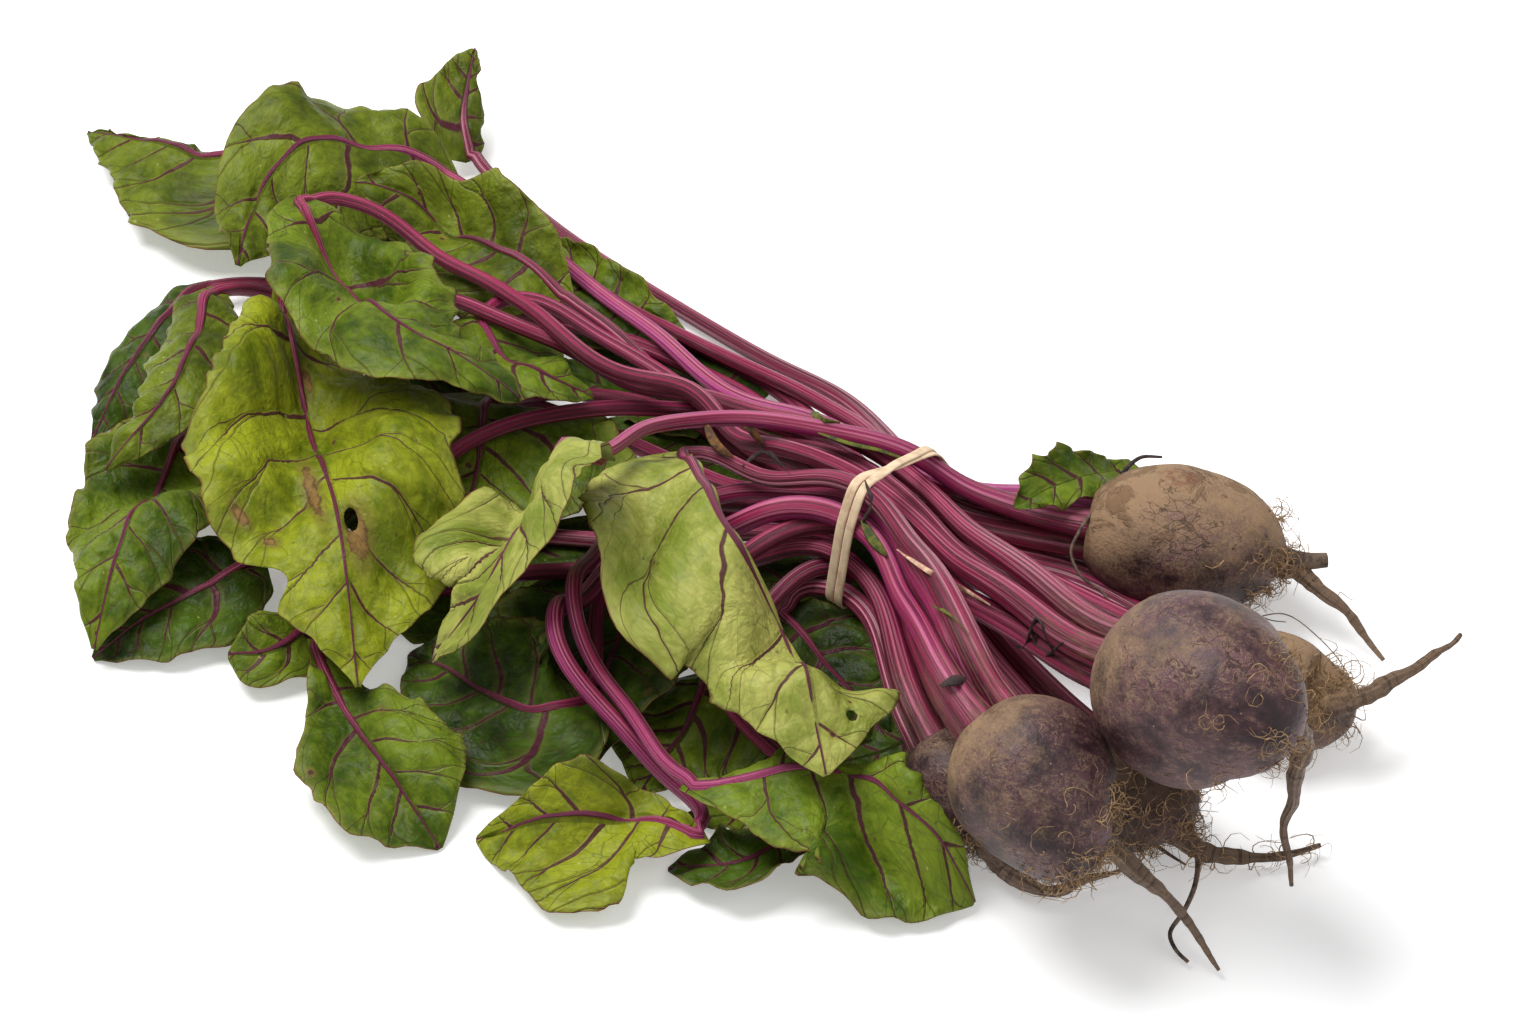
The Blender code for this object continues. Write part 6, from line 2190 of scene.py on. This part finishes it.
@dataclass
class Stalk:
    """One stalk from inside its crown to the end of the blade's midrib."""

    laid: LaidLeaf
    step: float = 0.003
    sink: float = 0.003
    flare: float = 0.12
    swell: float = 0.24
    passes: int = 26
    tuck_passes: int = 6
    tip_radius: float = 0.00035

    def midrib(self) -> Tuple[Array, Array, Array]:
        """Points of the midrib half sunk in its blade, their radii and their shares along it."""
        grid = self.laid.blade
        middle = grid.shape[1] // 2
        rib = grid[:, middle]
        normal = units(np.cross(np.gradient(rib, axis=0), grid[:, middle + 2] - grid[:, middle - 2]))
        share = np.linspace(0, 1, len(rib))
        radius = self.tip_radius + (END_STALK_RADIUS - self.tip_radius) * (1 - share) ** 1.35
        sunk = BLADE_THICK * 0.5 + (radius * 0.62 - BLADE_THICK * 0.5) * smoothstep(0.0, 0.15, share)
        rib = rib - normal * sunk[:, None]
        rib[:, 2] = np.maximum(rib[:, 2], radius * 1.05)
        return rib, radius, share

    def line(self) -> Tuple[Array, Dict[str, Array]]:
        """Points along the stalk and midrib with their radii and masks."""
        centre, radius = self.laid.centre, self.laid.radius
        rib, rib_radius, share = self.midrib()
        start = centre[0] - unit(centre[1] - centre[0]) * self.sink
        keep = np.linalg.norm(centre - centre[-1], axis=1) > 0.002
        points = np.vstack([start, centre[keep], rib])
        radii = np.concatenate([[radius[0]], radius[keep], rib_radius])
        on_rib = np.concatenate([np.zeros(1 + keep.sum()), share])
        run = reaches(points)
        wanted = np.linspace(0, run[-1], int(run[-1] / self.step) + 1)
        line = read_at(wanted, run, points)
        shares = np.interp(wanted, run, on_rib)
        smooth = smoothed(line, self.passes)
        line = smooth + (line - smooth) * smoothstep(0.0, 0.04, shares)[:, None]
        wide = np.interp(wanted, run, radii)
        if self.laid.leaf.name in TUCKED:
            line = self.tucked(line, shares, wide)
        wide = wide * (1 + self.flare * (1 - smoothstep(0.0, 0.012, wanted)))
        at_band = wanted[int(np.argmin(np.abs((line[:, :2] - BAND_MIDDLE) @ BAND_AHEAD)))]
        wide = wide * (1 + self.swell * (1 - smoothstep(0.3 * at_band, at_band, wanted)))
        return line, {"radius": wide, "along": wanted, "rib": shares}

    def tucked(self, line: Array, shares: Array, radius: Array) -> Array:
        """Press a stalk under its own blade where they cross.

        Args:
            line: points of the stalk and midrib.
            shares: shares along the midrib, 0 on the stalk.
            radius: radius at each point.

        Returns:
            The pressed line.
        """
        blade = self.laid.blade.reshape(-1, 3)
        away = np.linalg.norm(line[:, None, :2] - blade[None, :, :2], axis=2)
        under = blade[away.argmin(axis=1), 2] - radius - TUCK_GAP
        share = (1 - smoothstep(0.004, 0.012, away.min(axis=1))) * (shares <= 0)
        sunk = smoothed(line[:, 2] + (np.minimum(line[:, 2], under) - line[:, 2]) * share, self.tuck_passes)
        out = line.copy()
        out[:, 2] = np.where(shares <= 0, np.maximum(sunk, radius * 1.1), line[:, 2])
        return out

    def build(self, name: str, growth: StalkGrowth, material: Surface) -> Item:
        """Build the stalk.

        Args:
            name: name of the object.
            growth: tree of the ribbed sweep.
            material: stalk finish.

        Returns:
            The finished mesh object.
        """
        leaf = self.laid.leaf
        source = np.random.default_rng(leaf.seed + 300)
        item = growth.grow(path_item(*self.line()), name, {
            "Ridges": int(source.integers(8, 13)), "Ridge Depth": 0.055,
            "Channel Depth": float(source.uniform(0.12, 0.4)),
            "Channel Turn": float(source.uniform(-0.9, 0.9)), "Twist": float(source.uniform(-3, 3)),
            "Seed": float(source.uniform(0, 6)), "Material": material})
        set_attribute(item.data, "tone", np.full(len(item.data.vertices), leaf.stalk_tone))
        return item


def frames(line: Array) -> Pair:
    """Crossways directions carried along a line without twist.

    Args:
        line: points of the line.

    Returns:
        The two directions at each point.
    """
    tangent = np.gradient(line, axis=0)
    tangent /= np.linalg.norm(tangent, axis=1, keepdims=True)
    sides = [unit(np.cross((0, 0, 1), tangent[0]))]
    for way in tangent[1:]:
        sides.append(unit(sides[-1] - way * np.dot(sides[-1], way)))
    return np.array(sides), np.cross(tangent, sides)


@dataclass
class Root:
    """One bulb with its crown and taproot."""

    number: int
    around: int = 96
    bulb_rings: int = 64
    tail_rings: int = 64
    lumps: float = 0.0011
    grooves: float = 0.2
    knots: float = 0.14
    sway: float = 0.0011
    dome: float = 0.0012
    caps: Tuple[float, ...] = (0.12, 0.35, 0.6, 0.82, 0.95)
    hairy: int = 6

    def __post_init__(self) -> None:
        """Measure the root."""
        self.beet = BEETS[self.number]
        self.crown, self.axis, _, _ = crown_frame(self.beet)
        self.radius = self.beet.radius * MM
        self.widest = self.beet.front * math.sqrt(self.radius**2 - CROWN_RADIUS**2)
        self.bulb_end = self.widest + self.radius * self.beet.back
        centre = np.array(self.beet.centre) * MM
        tail = centre - self.axis * self.beet.radius * MM * 0.8
        points = [seen(mark) for mark in self.beet.taproot]
        self.middle, self.length = spline(
            [self.crown, 0.5 * (self.crown + centre), centre, tail, *points], 0.002, axes=3)

    def radius_at(self, past: Array) -> Array:
        """Radius of the root at distances past the widest ring.

        Args:
            past: the distances.

        Returns:
            The radius at each of them.
        """
        radius, back = self.radius, self.beet.back
        stretch = np.where(past > 0, back, self.beet.front)
        ball = radius * np.sqrt(np.clip(1 - (past / (stretch * radius)) ** 2, 0, 1))
        share = np.clip((past - back * radius) / (self.length - self.widest - back * radius), 0, 1)
        thin = np.interp(share, [0, 0.12, 0.5, 1.0],
                         [TAPROOT_RADIUS * 1.7, TAPROOT_RADIUS, TAPROOT_MIDDLE_RADIUS, TAPROOT_END_RADIUS])
        thin = thin * smoothstep(0.2 * radius, 0.9 * back * radius, past)
        return (ball**4 + thin**4) ** 0.25

    def rings(self) -> Tuple[Array, Array, Array, Array, Array]:
        """Rings from the dome of the crown to the end of the taproot.

        Returns:
            Distances, middles and radii of the rings, and their two crossways directions.
        """
        turn = np.linspace(-math.acos(CROWN_RADIUS / self.radius), math.pi / 2, self.bulb_rings)
        bulb = self.widest + self.radius * np.sin(turn) * np.where(turn > 0, self.beet.back, self.beet.front)
        share = np.linspace(0, 1, self.tail_rings + 1)[1:] ** 1.1
        stations = np.concatenate([bulb, self.bulb_end + (self.length - self.bulb_end) * share])
        centre = read_at(stations, np.linspace(0, self.length, len(self.middle)), self.middle)
        width = self.radius_at(stations - self.widest)
        width[0] = CROWN_RADIUS
        ways = frames(centre)
        caps = np.array(self.caps)
        stations = np.concatenate([np.zeros(len(caps)), stations])
        centre = np.vstack([centre[0] + self.axis * (self.dome * (1 - caps**2))[:, None], centre])
        width = np.concatenate([CROWN_RADIUS * caps, width])
        side, over = (np.vstack([np.repeat(way[:1], len(caps), axis=0), way]) for way in ways)
        return stations, centre, width, side, over

    def wander(self, stations: Array, size: float, key: int) -> Array:
        """Ripple along the root, one for each key."""
        return ripple(stations, stations * 0, size, self.number + key)

    def lumpiness(self, points: Array) -> Array:
        """Noise at each point, from broad lumps to fine ones.

        Args:
            points: points by ring.

        Returns:
            A number for each point.
        """
        shift = Vector((self.number * 3.1, 0, 0))
        offset = np.zeros(points.shape[:2])
        for index in np.ndindex(*offset.shape):
            place = Vector(points[index])
            broad, middle, fine = (noise.noise(place * size + shift) for size in (34, 95, 310))
            offset[index] = broad + 0.35 * middle + 0.12 * fine
        return offset

    def dress(self, mesh: Mesh, points: Array, outward: Array, stations: Array) -> None:
        """Give the skin its masks; the last two points close the crown and the tail.

        Args:
            mesh: the skin.
            points: its rings of points.
            outward: direction away from the middle line at each point.
            stations: distances of the rings.
        """
        radius, bulb_end = self.radius, self.bulb_end
        crown = smoothstep(radius * 0.9, 0.0, stations)
        tail = smoothstep(bulb_end - 0.1 * radius, bulb_end + 0.5 * radius, stations)
        masks = (("crown", crown, (1, 0)), ("tail", tail, (0, 1)), ("run", stations, (0, self.length)))
        for key, ring, extra in masks:
            set_attribute(mesh, key, np.append(np.repeat(ring, self.around), extra))
        hair = 1.3 * np.exp(-(((stations - bulb_end) / (0.33 * radius)) ** 2))
        hair = hair + (0.4 if self.number == self.hairy else 0.0)
        x, y, z = np.moveaxis(points, -1, 0)
        patch = np.clip(ripple(x, y + z, 0.012, self.number + 5) + 0.4, 0, 1)
        set_attribute(mesh, "hair", np.append((hair[:, None] * patch).ravel(), (0, 0)))
        # How far each point faces the upper left of the view, where the key light comes from; the finish
        # turns this into painted light and shade in the soil
        top = outward @ unit(PICTURE_UP - PICTURE_RIGHT) * 0.5 + 0.5
        set_attribute(mesh, "upward", np.append(top.ravel(), (0.5, 0.5)))

    def build(self, name: str, material: Surface) -> Item:
        """Build the root's skin.

        Args:
            name: name of the object.
            material: root finish.

        Returns:
            The finished mesh object with its masks.
        """
        stations, centre, width, side, over = self.rings()
        top = centre[0] + self.axis * 0.0001
        angle = 2 * np.pi * np.arange(self.around) / self.around
        share = smoothstep(self.bulb_end - 0.25 * self.radius, self.bulb_end + 0.35 * self.radius, stations)
        groove = np.sin(5 * angle[None, :] + 30 * stations[:, None]) + 0.7 * np.sin(
            9 * angle[None, :] - 47 * stations[:, None] + self.number)
        knots = self.wander(stations, 0.0075, 60) + 0.7 * self.wander(stations, 0.003, 70)
        relief = (self.grooves * 0.5 * groove + self.knots * knots[:, None]) * share[:, None]
        spread = width[:, None] * (1 + relief)
        for key, way in ((80, side), (90, over)):
            centre = centre + way * (self.sway * self.wander(stations, 0.016, key) * share)[:, None]
        points = centre[:, None, :] + spread[..., None] * (
            np.cos(angle)[None, :, None] * side[:, None, :] + np.sin(angle)[None, :, None] * over[:, None, :])
        outward = units(points - centre[:, None, :])
        small = np.minimum(1.0, width / 0.02)[:, None]
        points = points + outward * (self.lumps * self.lumpiness(points) * small)[..., None]
        points[..., 2] = np.maximum(points[..., 2], 0.0)
        centre[:, 2] = np.maximum(centre[:, 2], 0.0001)
        flat = np.vstack([points.reshape(-1, 3), top, centre[-1]])
        faces = ring_faces(len(stations), self.around)
        first, last_ring = len(flat) - 2, (len(stations) - 1) * self.around
        for i in range(self.around):
            j = (i + 1) % self.around
            faces.append((first, j, i))
            faces.append((first + 1, last_ring + i, last_ring + j))
        item = make_mesh(name, flat, faces, material)
        self.dress(item.data, points, outward, stations)
        sore = np.zeros(len(flat))
        if self.number in SORES:
            place, size = SORES[self.number]
            sore = np.exp(-((np.linalg.norm(flat - seen(place), axis=1) / (size * MM)) ** 2))
        set_attribute(item.data, "sore", sore)
        return item


@dataclass(frozen=True)
class Rootlet:
    """A thin side root: beet, picture points with heights in mm, radii in mm."""

    beet: int
    marks: Tuple[Mark, ...]
    thick: float
    thin: float
    kind: Waste = Waste.BARK


ROOTLETS: Tuple[Rootlet, ...] = (
    Rootlet(1, ((1262, 560, 26), (1290, 559, 27), (1308, 561, 26), (1327, 560, 26)), 4.4, 2.9),
    Rootlet(6, ((1160, 790, 24), (1184, 825, 18), (1197, 855, 13), (1196, 881, 10), (1184, 911, 8),
                (1170, 933, 5), (1176, 950, 4), (1188, 962, 3)), 1.3, 0.7),
    Rootlet(6, ((1143, 836, 12), (1167, 853, 8), (1186, 865, 4)), 1.0, 0.4),
    Rootlet(5, ((1047, 864, 8), (1040, 872, 6), (1034, 882, 3)), 0.8, 0.4),
    Rootlet(1, ((1249, 619, 14), (1284, 614, 22), (1319, 638, 26), (1347, 673, 30), (1350, 690, 30)),
            0.25, 0.18),
    Rootlet(1, ((1251, 612, 16), (1270, 620, 14), (1286, 622, 12)), 0.3, 0.18),
    Rootlet(1, ((1092, 512, 40), (1080, 530, 38), (1071, 552, 33), (1081, 576, 27), (1102, 592, 22),
                (1116, 611, 18)), 0.65, 0.5),
    Rootlet(1, ((1122, 474, 36), (1132, 463, 38), (1142, 457, 40), (1162, 457, 42)), 1.0, 0.5, Waste.DRY),
    Rootlet(2, ((1255, 735, 92), (1268, 748, 90), (1262, 762, 84), (1280, 770, 80)), 0.3, 0.18, Waste.HAIR),
    Rootlet(2, ((1230, 742, 100), (1242, 722, 104), (1262, 716, 102), (1285, 722, 96)),
            0.35, 0.2, Waste.HAIR),
    Rootlet(4, ((1030, 800, 74), (1036, 832, 66), (1056, 836, 62), (1078, 812, 62)), 0.35, 0.2, Waste.HAIR),
)


@dataclass(frozen=True)
class Scrap:
    """A shred or thread on the stalks.

    Marks are picture points with lifts over the pile in millimetres; wide and
    thick are half sizes in millimetres, turns is how often it twists.
    """

    kind: Waste
    marks: Tuple[Mark, ...]
    wide: float
    thick: float = 0.2
    turns: float = 0.3
    corners: int = 8

    def line(self, pile: Pile) -> Array:
        """Points of the shred's middle, smoothed over the pile.

        Args:
            pile: what the shred lies on.

        Returns:
            The points.
        """
        places = []
        for across, down, lift in self.marks:
            xy = pile.drop(across, down, lift * MM)
            places.append([*xy, float(pile.at(xy, pile.height)) + lift * MM])
        return spline(places, 0.0012, axes=3)[0]

    def build(self, name: str, pile: Pile, material: Surface) -> Item:
        """Build the shred as a twisted, tapered strip.

        Args:
            name: name of the object.
            pile: what the shred lies on.
            material: its finish.

        Returns:
            The finished mesh object.
        """
        line = self.line(pile)
        share = np.linspace(0, 1, len(line))
        sides, overs = frames(line)
        body = np.sin(np.pi * np.clip(share, 0.03, 0.97)) ** 0.45
        curl = 2 * np.pi * self.turns * share
        points = []
        for k, place in enumerate(line):
            flat = sides[k] * math.cos(curl[k]) + overs[k] * math.sin(curl[k])
            up = overs[k] * math.cos(curl[k]) - sides[k] * math.sin(curl[k])
            for corner in range(self.corners):
                turn = 2 * math.pi * corner / self.corners
                reach = flat * math.cos(turn) * self.wide + up * math.sin(turn) * self.thick
                points.append(place + reach * body[k] * MM)
        faces = ring_faces(len(line), self.corners)
        faces.append(tuple(range(self.corners))[::-1])
        faces.append(tuple(range((len(line) - 1) * self.corners, len(line) * self.corners)))
        return make_mesh(name, np.array(points), faces, material)


SCRAPS: Tuple[Scrap, ...] = (
    Scrap(Waste.DRY, ((865, 482, 3), (872, 508, 3), (863, 523, 4), (868, 536, 3)), 0.9, 0.5),
    Scrap(Waste.GREEN, ((862, 523, 4), (872, 540, 4), (886, 557, 2)), 2.0, 0.25, 0.2),
    Scrap(Waste.PINK, ((837, 556, 2), (848, 548, 4), (864, 531, 3)), 1.5, 0.5, 0.2),
    Scrap(Waste.PEEL, ((897, 550, 1), (930, 572, 2), (965, 592, 2), (990, 607, 0)), 1.1, 0.25, 0.15),
    Scrap(Waste.GREEN, ((931, 606, 1), (952, 618, 2), (971, 635, 1)), 0.7, 0.3, 0.4),
    Scrap(Waste.DRY, ((1013, 676, 1), (1022, 664, 3), (1036, 658, 4), (1046, 663, 4), (1054, 673, 2)),
          0.9, 0.5, 0.5),
    Scrap(Waste.DRY, ((1024, 668, 1), (1040, 668, 2), (1062, 660, 2)), 0.7, 0.4, 0.3),
    Scrap(Waste.BROWN, ((705, 430, 2), (716, 446, 3), (733, 458, 2)), 2.0, 0.3, 0.2),
    Scrap(Waste.BROWN, ((738, 440, 2), (750, 447, 3), (764, 456, 2)), 1.6, 0.3, 0.3),
    Scrap(Waste.GREEN, ((818, 437, 0), (850, 445, 1), (880, 452, 1), (905, 461, 0)), 1.2, 0.25, 0.1),
    Scrap(Waste.GREEN, ((812, 412, 1), (826, 421, 2), (840, 424, 1)), 1.6, 0.25, 0.3),
    Scrap(Waste.DRY, ((742, 470, 2), (764, 466, 3), (790, 474, 1)), 1.1, 0.3, 0.3),
    Scrap(Waste.DRY, ((940, 690, 1), (951, 683, 2), (966, 680, 1)), 2.4, 0.9, 0.1),
)


@dataclass
class Band:
    """The rubber band: two flat strands closed round the stalks, which cross each other."""

    stalks: List[Tuple[Array, Array]]
    corners: int = 10
    passes: int = 10
    spread: float = 0.0021
    wide: float = 0.0019
    thick: float = 0.0005

    def loop(self) -> Array:
        """Closed loop round the stalks at the band, evenly stepped."""
        around = []
        turns = np.linspace(0, 2 * np.pi, 40, endpoint=False)
        for centre, radius in self.stalks:
            away = centre[:, :2] - BAND_MIDDLE
            near = (np.abs(away @ BAND_AHEAD) < BAND_HALF_WIDTH + 0.002) & (np.abs(away @ BAND_SIDE) < 0.05)
            for y, z, r in zip((away @ BAND_SIDE)[near], centre[near, 2], radius[near]):
                gap = r + BAND_GAP + 0.0003
                around += [(y + gap * math.cos(a), z + gap * math.sin(a)) for a in turns]
        loop = self.hull(around)
        closed = np.vstack([loop, loop[:1]])
        run = reaches(closed)
        loop = read_at(np.linspace(0, run[-1], BAND_STEPS, endpoint=False), run, closed)
        for _ in range(self.passes):
            loop = 0.25 * np.roll(loop, 1, axis=0) + 0.5 * loop + 0.25 * np.roll(loop, -1, axis=0)
        return loop

    @staticmethod
    def hull(points: List[Tuple[float, float]]) -> Array:
        """Convex hull of plane points, counter-clockwise.

        Args:
            points: pairs of numbers.

        Returns:
            The corners of the hull.
        """
        ordered = sorted(set((round(float(a), 7), round(float(b), 7)) for a, b in points))
        chains = []
        for items in (ordered, ordered[::-1]):
            kept: List[Tuple[float, float]] = []
            for p in items:
                while len(kept) > 1:
                    (ax, ay), (bx, by) = kept[-2], kept[-1]
                    if (bx - ax) * (p[1] - ay) - (by - ay) * (p[0] - ax) > 0:
                        break
                    kept.pop()
                kept.append(p)
            chains += kept[:-1]
        return np.array(chains)

    def build(self, name: str, material: Surface) -> Item:
        """Build the two strands, which cross on the near side and lie on each other on the far side.

        Args:
            name: name of the object.
            material: band finish.

        Returns:
            The finished mesh object.
        """
        inner = self.loop()
        ahead = np.roll(inner, -1, axis=0) - np.roll(inner, 1, axis=0)
        ahead /= np.linalg.norm(ahead, axis=1, keepdims=True)
        outward = np.stack([ahead[:, 1], -ahead[:, 0]], axis=1)
        points: List[Tuple[float, float, float]] = []
        faces: List[Tuple[int, ...]] = []
        for strand in (1, -1):
            first, strip = len(points), ring_faces(len(inner), self.corners, True)
            faces += [tuple(corner + first for corner in face) for face in strip]
            for (y, z), (oy, oz) in zip(inner, outward):
                half_turns = 0.06 + 0.5 * smoothstep(-0.024, 0.004, y) + 0.36 * smoothstep(0.008, 0.04, y)
                cross = math.pi * half_turns
                middle = strand * math.cos(cross) * self.spread
                rise = self.thick * (1.1 + strand * math.sin(cross))
                for corner in range(self.corners):
                    turn = 2 * math.pi * corner / self.corners
                    across = middle + self.wide * math.copysign(abs(math.cos(turn)) ** 0.6, math.cos(turn))
                    over = rise + self.thick * math.copysign(abs(math.sin(turn)) ** 0.7, math.sin(turn))
                    plan = BAND_MIDDLE + BAND_AHEAD * across + BAND_SIDE * (y + oy * over)
                    points.append((*plan, z + oz * over))
        return make_mesh(name, np.array(points), faces, material)


@dataclass(frozen=True)
class Studio:
    """Camera, floor and soft lights."""

    floor_half: float = 6.0
    floor_drop: float = 0.0002
    key_power: float = 25.0
    fill_power: float = 5.0
    sky: float = 0.4
    glow: float = 0.3

    @staticmethod
    def aimed(item: Item, way: Array, distance: Array) -> Item:
        """Place a lamp or camera that way from the picture's middle, facing it.

        Args:
            item: the lamp or camera.
            way: direction from the middle, of length one.
            distance: the step from the middle to the item.

        Returns:
            The item.
        """
        item.location = distance - MIDDLE
        item.rotation_euler = Vector(-way).to_track_quat("-Z", "Y").to_euler()
        return item

    def camera(self) -> None:
        """Place the camera at the picture's viewing angle."""
        data = bpy.data.cameras.new("camera")
        data.lens = LENS
        data.sensor_width = SENSOR
        data.clip_start = 0.05
        bpy.context.scene.camera = self.aimed(placed("camera", data), BACK, EYE)

    def light(self, name: str, direction: Array, distance: float, size: float, power: float) -> None:
        """Hang one soft area light that faces the bunch.

        Args:
            name: name of the lamp.
            direction: where it hangs, seen from the bunch.
            distance: how far away it hangs.
            size: its width.
            power: its power in watts.
        """
        data = bpy.data.lights.new(name, "AREA")
        data.shape = "DISK"
        data.size = size
        data.energy = power
        way = unit(direction)
        self.aimed(placed(name, data), way, way * distance)

    def build(self) -> None:
        """Build everything that isn't part of the bunch; colours are shown as they are."""
        bpy.context.scene.view_settings.view_transform = "Standard"
        self.camera()
        high, low = np.array([0, 0, 0.6]), np.array([0, 0, 0.3])
        left = BACK * 0.35 + PICTURE_UP * 0.75 - PICTURE_RIGHT * 0.55
        self.light("key", left + high, 1.5, 1.0, self.key_power)
        self.light("fill", BACK * 0.8 + PICTURE_RIGHT * 0.7 + low, 1.8, 1.4, self.fill_power)
        world = bpy.data.worlds.new("studio")
        world.use_nodes = True
        sky = world.node_tree.nodes["Background"]
        sky.inputs["Color"].default_value = (1.0, 1.0, 1.0, 1.0)
        sky.inputs["Strength"].default_value = self.sky
        bpy.context.scene.world = world
        mesh = bpy.data.meshes.new("floor")
        corners = [(x * self.floor_half, y * self.floor_half, -self.floor_drop)
                   for x, y in ((-1, -1), (1, -1), (1, 1), (-1, 1))]
        mesh.from_pydata(corners, [], [(0, 1, 2, 3)])
        material, _, shader = Finish.start("pale_floor")
        shader.inputs["Base Color"].default_value = (0.9, 0.9, 0.9, 1.0)
        shader.inputs["Emission Color"].default_value = (1.0, 1.0, 1.0, 1.0)
        shader.inputs["Emission Strength"].default_value = self.glow
        shader.inputs["Roughness"].default_value = 0.9
        mesh.materials.append(material)
        placed("floor", mesh)


def build_leaves(pile: Pile, growth: StalkGrowth, finishes: Materials) -> List[Pair]:
    """Lay each leaf on the pile in turn and dress its stalk and blade.

    Args:
        pile: what already lies there.
        growth: tree of the ribbed sweep.
        finishes: all finishes.

    Returns:
        Middle line and radii of each stalk.
    """
    stalks = []
    for leaf in LEAVES:
        laid = Laying(pile, leaf).lay()
        line, values = Stalk(laid).line()
        stalks.append((line, values["radius"]))
        stalk = Stalk(laid).build("stalk_%s_skin" % leaf.name, growth, finishes.stalk)
        finish_piece(stalk, ["stalk_" + leaf.name])
        blade = Blade(laid).build("blade_%s_skin" % leaf.name, finishes.leaves[leaf.tone])
        finish_piece(blade, ["blade_" + leaf.name])
    return stalks


def build_fillers(growth: StalkGrowth, finishes: Materials) -> None:
    """Build the leaves and stalks in the dark under the others, and the young leaf.

    Args:
        growth: tree of the ribbed sweep.
        finishes: all finishes.
    """
    for leaf in GROUND_LEAVES:
        blade = Blade(Laying(Pile(), leaf).lay(), puff=0.0006, lump=0.0004)
        finish_piece(blade.build("blade_" + leaf.name, finishes.leaves[leaf.tone]), [])
    for order, marks in enumerate(LOST_STALKS):
        path = even_path(np.array(marks) * MM, 0.003, LOST_RADIUS, LOST_RADIUS)
        item = growth.grow(path, "stalk_lost_%d" % order, {"Ridges": 9, "Material": finishes.stalk})
        set_attribute(item.data, "tone", np.full(len(item.data.vertices), 0.2 * order))
        finish_piece(item, [])
    young = Blade(lay_young_leaf(), step=0.0009, puff=0.0005, lump=0.0004, jag=0.0005)
    skin = young.build("young_leaf_skin", finishes.leaves[YOUNG_LEAF.tone])
    finish_piece(skin, ["young_leaf"])


def build_roots(growth: StalkGrowth, finishes: Materials) -> None:
    """Build the roots with their hairs and crumbs of soil, and the rootlets.

    Args:
        growth: tree of the ribbed sweep.
        finishes: all finishes.
    """
    hair_growth, crumb_growth = HairGrowth(), CrumbGrowth()
    for number in BEETS:
        name = "root_%d" % number
        root = Root(number).build(name + "_skin", finishes.roots[number])
        finish_piece(root, [name])
        hairs = hair_growth.grow(placed(name, root.data.copy()), name + "_hairs", {
            "Seed": number, "Density": HAIR_DENSITY, "Thickness": HAIR_THICK,
            "Material": finishes.waste[Waste.HAIR]})
        finish_piece(keep_above_floor(hairs), [])
        crumbs = crumb_growth.grow(placed(name, root.data.copy()), name + "_crumbs", {
            "Seed": number + 20, "Material": finishes.waste[Waste.SOIL]})
        finish_piece(keep_above_floor(crumbs), [])
    for order, rootlet in enumerate(ROOTLETS):
        path = even_path([seen(mark) for mark in rootlet.marks], 0.0015, rootlet.thick, rootlet.thin)
        item = growth.grow(path, "rootlet_%d" % order, {
            "Sides": 12, "Ridges": 3, "Ridge Depth": 0.1, "Channel Depth": 0.0, "Twist": 30.0, "Lump": 0.5,
            "Flatness": 0.0, "Material": finishes.waste[rootlet.kind]})
        finish_piece(keep_above_floor(item), [])


def main() -> None:
    """Build every piece in order and report it."""
    logging.basicConfig(level=logging.INFO, format="%(name)s: %(message)s")
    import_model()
    Studio().build()
    finishes = make_materials()
    growth, pile = StalkGrowth(), Pile()
    for number, beet in BEETS.items():
        if number not in UPPER_BEETS:
            pile.add_ball(np.array(beet.centre) * MM, GRID_BEET_SHARE * beet.radius * MM)
    stalks = build_leaves(pile, growth, finishes)
    build_fillers(growth, finishes)
    build_roots(growth, finishes)
    finish_piece(Band(stalks).build("band_skin", finishes.band), ["band"])
    for number in UPPER_BEETS:
        pile.add_ball(np.array(BEETS[number].centre) * MM, BEETS[number].radius * MM)
    for order, scrap in enumerate(SCRAPS):
        item = scrap.build("scrap_%02d" % order, pile, finishes.waste[scrap.kind])
        finish_piece(item, [])


if __name__ == "__main__":
    main()
